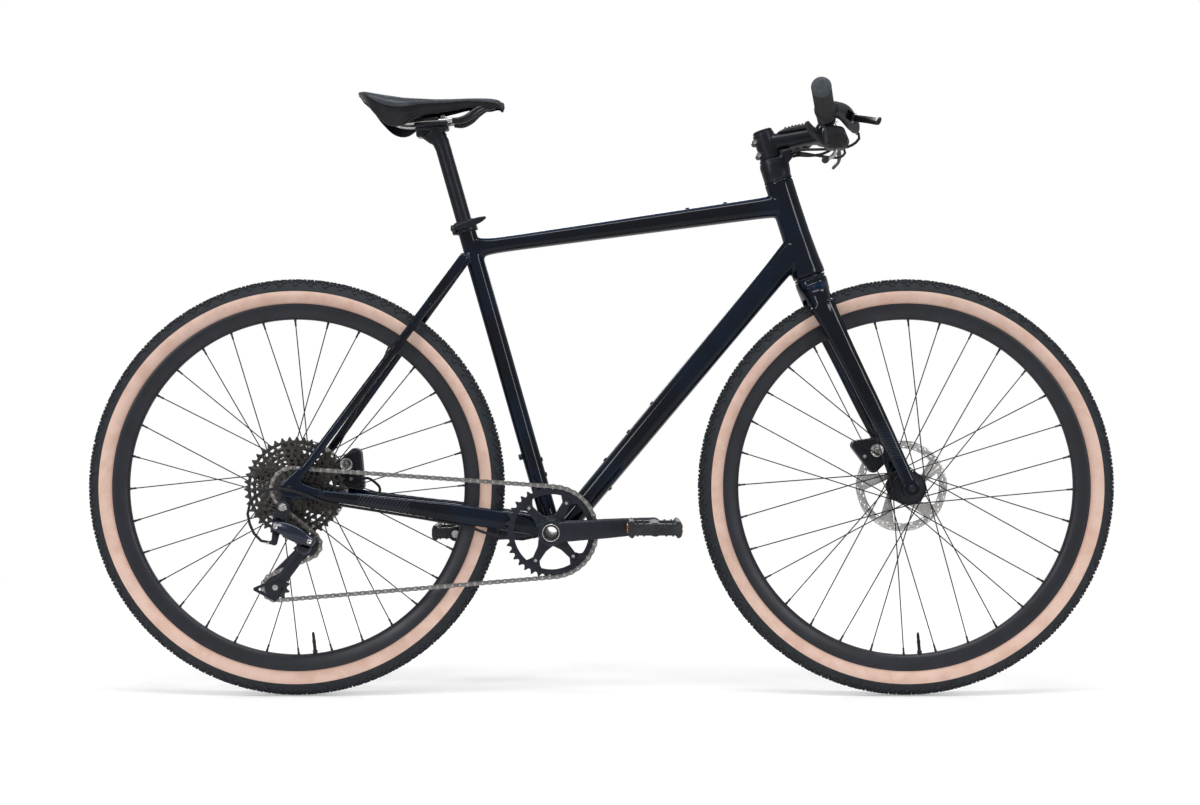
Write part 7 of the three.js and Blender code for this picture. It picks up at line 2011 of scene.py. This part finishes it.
# Saddle stations: shares of its length and half width, then of its top, seam and skirt heights
SADDLE = [(0, 0.5, 1, 0.35, 0.14), (0.05, 0.84, 0.86, -0.12, 0.28), (0.12, 0.97, 0.6, -0.5, 0.68),
          (0.21, 1, 0.3, -0.92, 0.95), (0.31, 0.94, -0.1, -1, 0.95), (0.44, 0.65, -0.25, -0.65, 0.62),
          (0.55, 0.44, -0.25, -0.46, 0.53), (0.66, 0.32, -0.12, -0.34, 0.44),
          (0.78, 0.26, 0.06, -0.24, 0.34), (0.9, 0.24, 0.06, -0.3, 0.38), (0.97, 0.19, -0.2, -0.4, 0.24),
          (1, 0.1, -0.7, -0.75, 0.14)]
SADDLE_TAIL = Vector((-0.413, 0, 1.026))
SADDLE_LONG = 0.2455
RAIL_SIDE = 0.022
RAIL_REAR = [(0.118, 0.09, -0.037), (0.163, 0.09, -0.11), (0.24, 0.09, -0.167)]
STRUT = [(0.643, 0.09, -0.165), (0.7, 0.088, -0.163), (0.757, 0.08, -0.137), (0.81, 0.062, -0.092),
         (0.87, 0.038, -0.06), (0.935, 0.022, -0.048)]


class BIKE_OT_seat(BikeOperator, bpy.types.Operator):
    """Builds the seatpost with its rail clamp, the rails, the saddle's shell and its padded cover"""

    bl_idname = "bike.seat"
    bl_label = "Seatpost and saddle"

    def build(self):
        self.post()
        self.rails()
        self.saddle()

    @staticmethod
    def post():
        shape = Shape()
        shape.turned([(0, 0.389), (0.0132, 0.389), (0.0136, 0.3894), (0.0136, 0.672), (0.0136, 0.697),
                      (0, 0.697)], 56, ON_SEAT_TUBE @ UPRIGHT)
        shape.loft([(on_seat_axis(0.682), 0.0134, 0.0134), (on_seat_axis(0.698, -0.002), 0.0136, 0.0148),
                    (on_seat_axis(0.708, -0.006), 0.0138, 0.0188),
                    (on_seat_axis(0.7165, -0.0085), 0.0138, 0.0235)], 32, 0.85)
        shape.block((-0.029, -0.014, -0.0145), (0.029, 0.014, -0.0042), 0.0035, ON_RAILS)
        shape.block((-0.0285, -0.008, -0.0225), (-0.002, 0.008, -0.0125), 0.003, ON_RAILS)
        shape.block((-0.029, -0.0275, -0.0085), (0.029, 0.0275, -0.0006), 0.0022, ON_RAILS)
        fused = fine_skin(shape, 4, 1.3)
        room = Shape()
        for side in (-1, 1):
            room.rod((-0.06, side * RAIL_SIDE, 0), (0.06, side * RAIL_SIDE, 0), 0.0041, 20, ON_RAILS)
            room.rod((side * 0.02, 0, -0.04), (side * 0.02, 0, 0.02), 0.0033, 20, ON_RAILS)
        piece("seatpost_tube", cut_away(fused, room), "anodised", "seatpost", ["seatpost"],
              sharp=38)
        top = Shape()
        top.block((-0.0285, -0.0135, 0.0006), (0.0285, 0.0135, 0.0068), 0.0018, ON_RAILS)
        top.block((-0.0138, -0.0278, 0.0006), (0.0138, 0.0278, 0.0068), 0.0022, ON_RAILS)
        rail_room = Shape()
        for side in (-1, 1):
            rail_room.rod((-0.06, side * RAIL_SIDE, 0), (0.06, side * RAIL_SIDE, 0), 0.0041, 20, ON_RAILS)
        piece("clamp_plate", cut_away(fine_skin(top, 3), rail_room), "anodised", "seatpost",
              ["rail_clamp"], sharp=38)
        bolts = Shape()
        for end in (-1, 1):
            bolts.rod((end * 0.02, 0, -0.021), (end * 0.02, 0, 0.009), 0.0027, 16, ON_RAILS)
            bolts.turned([(0, -0.0235), (0.002, -0.0235), (0.002, -0.0245), (0.0042, -0.0245),
                          (0.0046, -0.0238), (0.0046, -0.0195), (0, -0.0195)], 28,
                         ON_RAILS @ Matrix.Translation((end * 0.02, 0, 0)) @ UPRIGHT)
            bolts.rod((end * 0.02, -0.006, 0.0088), (end * 0.02, 0.006, 0.0088), 0.0042, 24, ON_RAILS)
        piece("clamp_bolts", bolts, "steel", "seatpost", sharp=35)

    @staticmethod
    def rails():
        def bend(rows, side):
            return [SADDLE_TAIL + Vector((x, side * y, down)) * SADDLE_LONG for x, y, down in rows]

        shape, strut = Shape(), Shape()
        sizes = [(0.0042, 0.0048), (0.005, 0.0062), (0.0052, 0.0066), (0.005, 0.0066),
                 (0.005, 0.0056), (0.0046, 0.0042)]
        for side in (-1, 1):
            straight = [ON_RAILS @ Vector((x, side * RAIL_SIDE, 0)) for x in (-0.041, -0.02, 0.02, 0.041)]
            shape.tube(bend(RAIL_REAR, side) + straight + bend(STRUT[1:3], side), 0.0035, 20)
            strut.loft([(at, *size) for at, size in zip(bend(STRUT, side), sizes)], 28, 0.85)
        piece("saddle_rail_pair", shape, "steel", "saddle", ["saddle_rails"], sharp=40)
        piece("saddle_nose_strut", strut, "saddle_shell", "saddle", sharp=40)

    @staticmethod
    def sections():
        """Smooth stations: x, half width, top, seam and skirt heights."""
        rows = [(share * SADDLE_LONG, 0.075 * wide, 0.008 * top,
                 (0.0235 if seam < 0 else 0.008) * seam, 0.033 * skirt)
                for share, wide, top, seam, skirt in SADDLE]
        first = smooth_route([row[:3] for row in rows], 6)
        second = smooth_route([(row[3], row[4], 0) for row in rows], 6)
        made = [(a.x * 0.985, a.y, a.z, b.x, b.y) for a, b in zip(first, second)]
        x, wide, top, seam, skirt = made[-1]
        middle = (top + seam) / 2
        for share in (0.45, 0.75, 0.93, 0.99):
            keep = math.sqrt(1 - share ** 2)
            made.append((x + 0.0045 * share, wide * keep, mix(middle, top, keep), mix(middle, seam, keep),
                         skirt * keep))
        return made

    def saddle(self):
        rings, skirts, seam_line = [], [], []
        for x, wide, top, seam, skirt in self.sections():
            rise = max(top - seam, 0.0006)
            over = []
            for k in range(33):
                angle = math.pi * k / 32
                across = -wide * math.cos(angle)
                lift = math.sin(angle) ** 0.72
                fade = min(1, max(0, (x - 0.02) / 0.04)) * min(1, max(0, (0.2 - x) / 0.04))
                groove = 0.0022 * math.exp(-(across / 0.006) ** 2) * fade
                over.append(SADDLE_TAIL + Vector((x, across, seam + rise * lift - groove)))
            under = [SADDLE_TAIL + Vector((x, wide * 0.94 * math.cos(math.pi * k / 16), seam - 0.002))
                     for k in range(1, 16)]
            rings.append(over + under)
            skirts.append([SADDLE_TAIL + Vector((x, y, z)) for y, z in self.skirt(wide, seam, skirt)])
            seam_line.append((x, wide, seam))
        cover = Shape().rings(rings).outward()
        skin = piece("saddle_pad", cover, "saddle_cover", "saddle", ["saddle_cover"],
                     sharp=60)
        shell = Shape().rings(skirts).outward()
        piece("saddle_base", shell, "saddle_shell", "saddle", ["saddle_shell"], sharp=60)
        welt = Shape()
        for side in (-1, 1):
            welt.tube([SADDLE_TAIL + Vector((x, side * (wide * 0.995), seam - 0.0008))
                       for x, wide, seam in seam_line[::3]], 0.0009, 8, steps=3)
        piece("saddle_welt", welt, "hose_skin", "saddle", sharp=60)

    @staticmethod
    def skirt(wide, seam, skirt):
        """The shell's section: out at the seam, drawn in below, and hollow underneath."""
        deep = max(skirt, 0.003)
        outer = [(1.0, -0.0004), (0.985, -0.18 * deep), (0.93, -0.45 * deep), (0.86, -0.75 * deep),
                 (0.82, -deep)]
        inner = [(0.79, -deep), (0.82, -0.72 * deep), (0.87, -0.42 * deep), (0.9, -0.0034)]
        right = [(wide * share, seam + down) for share, down in outer + inner]
        return right + [(-y, z) for y, z in reversed(right)]


OPERATORS = (BIKE_OT_stage, BIKE_OT_tyres, BIKE_OT_wheels, BIKE_OT_frame, BIKE_OT_fork, BIKE_OT_cockpit,
             BIKE_OT_brakes, BIKE_OT_cassette, BIKE_OT_chain, BIKE_OT_cranks, BIKE_OT_derailleur,
             BIKE_OT_seat)


class BIKE_PT_pieces(bpy.types.Panel):
    """Lists the pieces in the sidebar"""

    bl_idname = "BIKE_PT_pieces"
    bl_label = "Gravel bike"
    bl_space_type = "VIEW_3D"
    bl_region_type = "UI"
    bl_category = "Bike"

    def draw(self, context):
        for operator in OPERATORS:
            self.layout.operator(operator.bl_idname)
        for group, kind in SETTINGS.items():
            box = self.layout.box()
            for key in kind.__annotations__:
                box.prop(getattr(context.scene, group), key)


CLASSES = (*SETTINGS.values(), *OPERATORS, BIKE_PT_pieces)


def register():
    for kind in CLASSES:
        bpy.utils.register_class(kind)
    for group, kind in SETTINGS.items():
        setattr(bpy.types.Scene, group, PointerProperty(type=kind))


def unregister():
    for group in SETTINGS:
        delattr(bpy.types.Scene, group)
    for kind in reversed(CLASSES):
        bpy.utils.unregister_class(kind)


def main():
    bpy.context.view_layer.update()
    register()
    for operator in OPERATORS:
        getattr(bpy.ops.bike, operator.bl_idname.split(".")[1])()


if __name__ == "__main__":
    main()
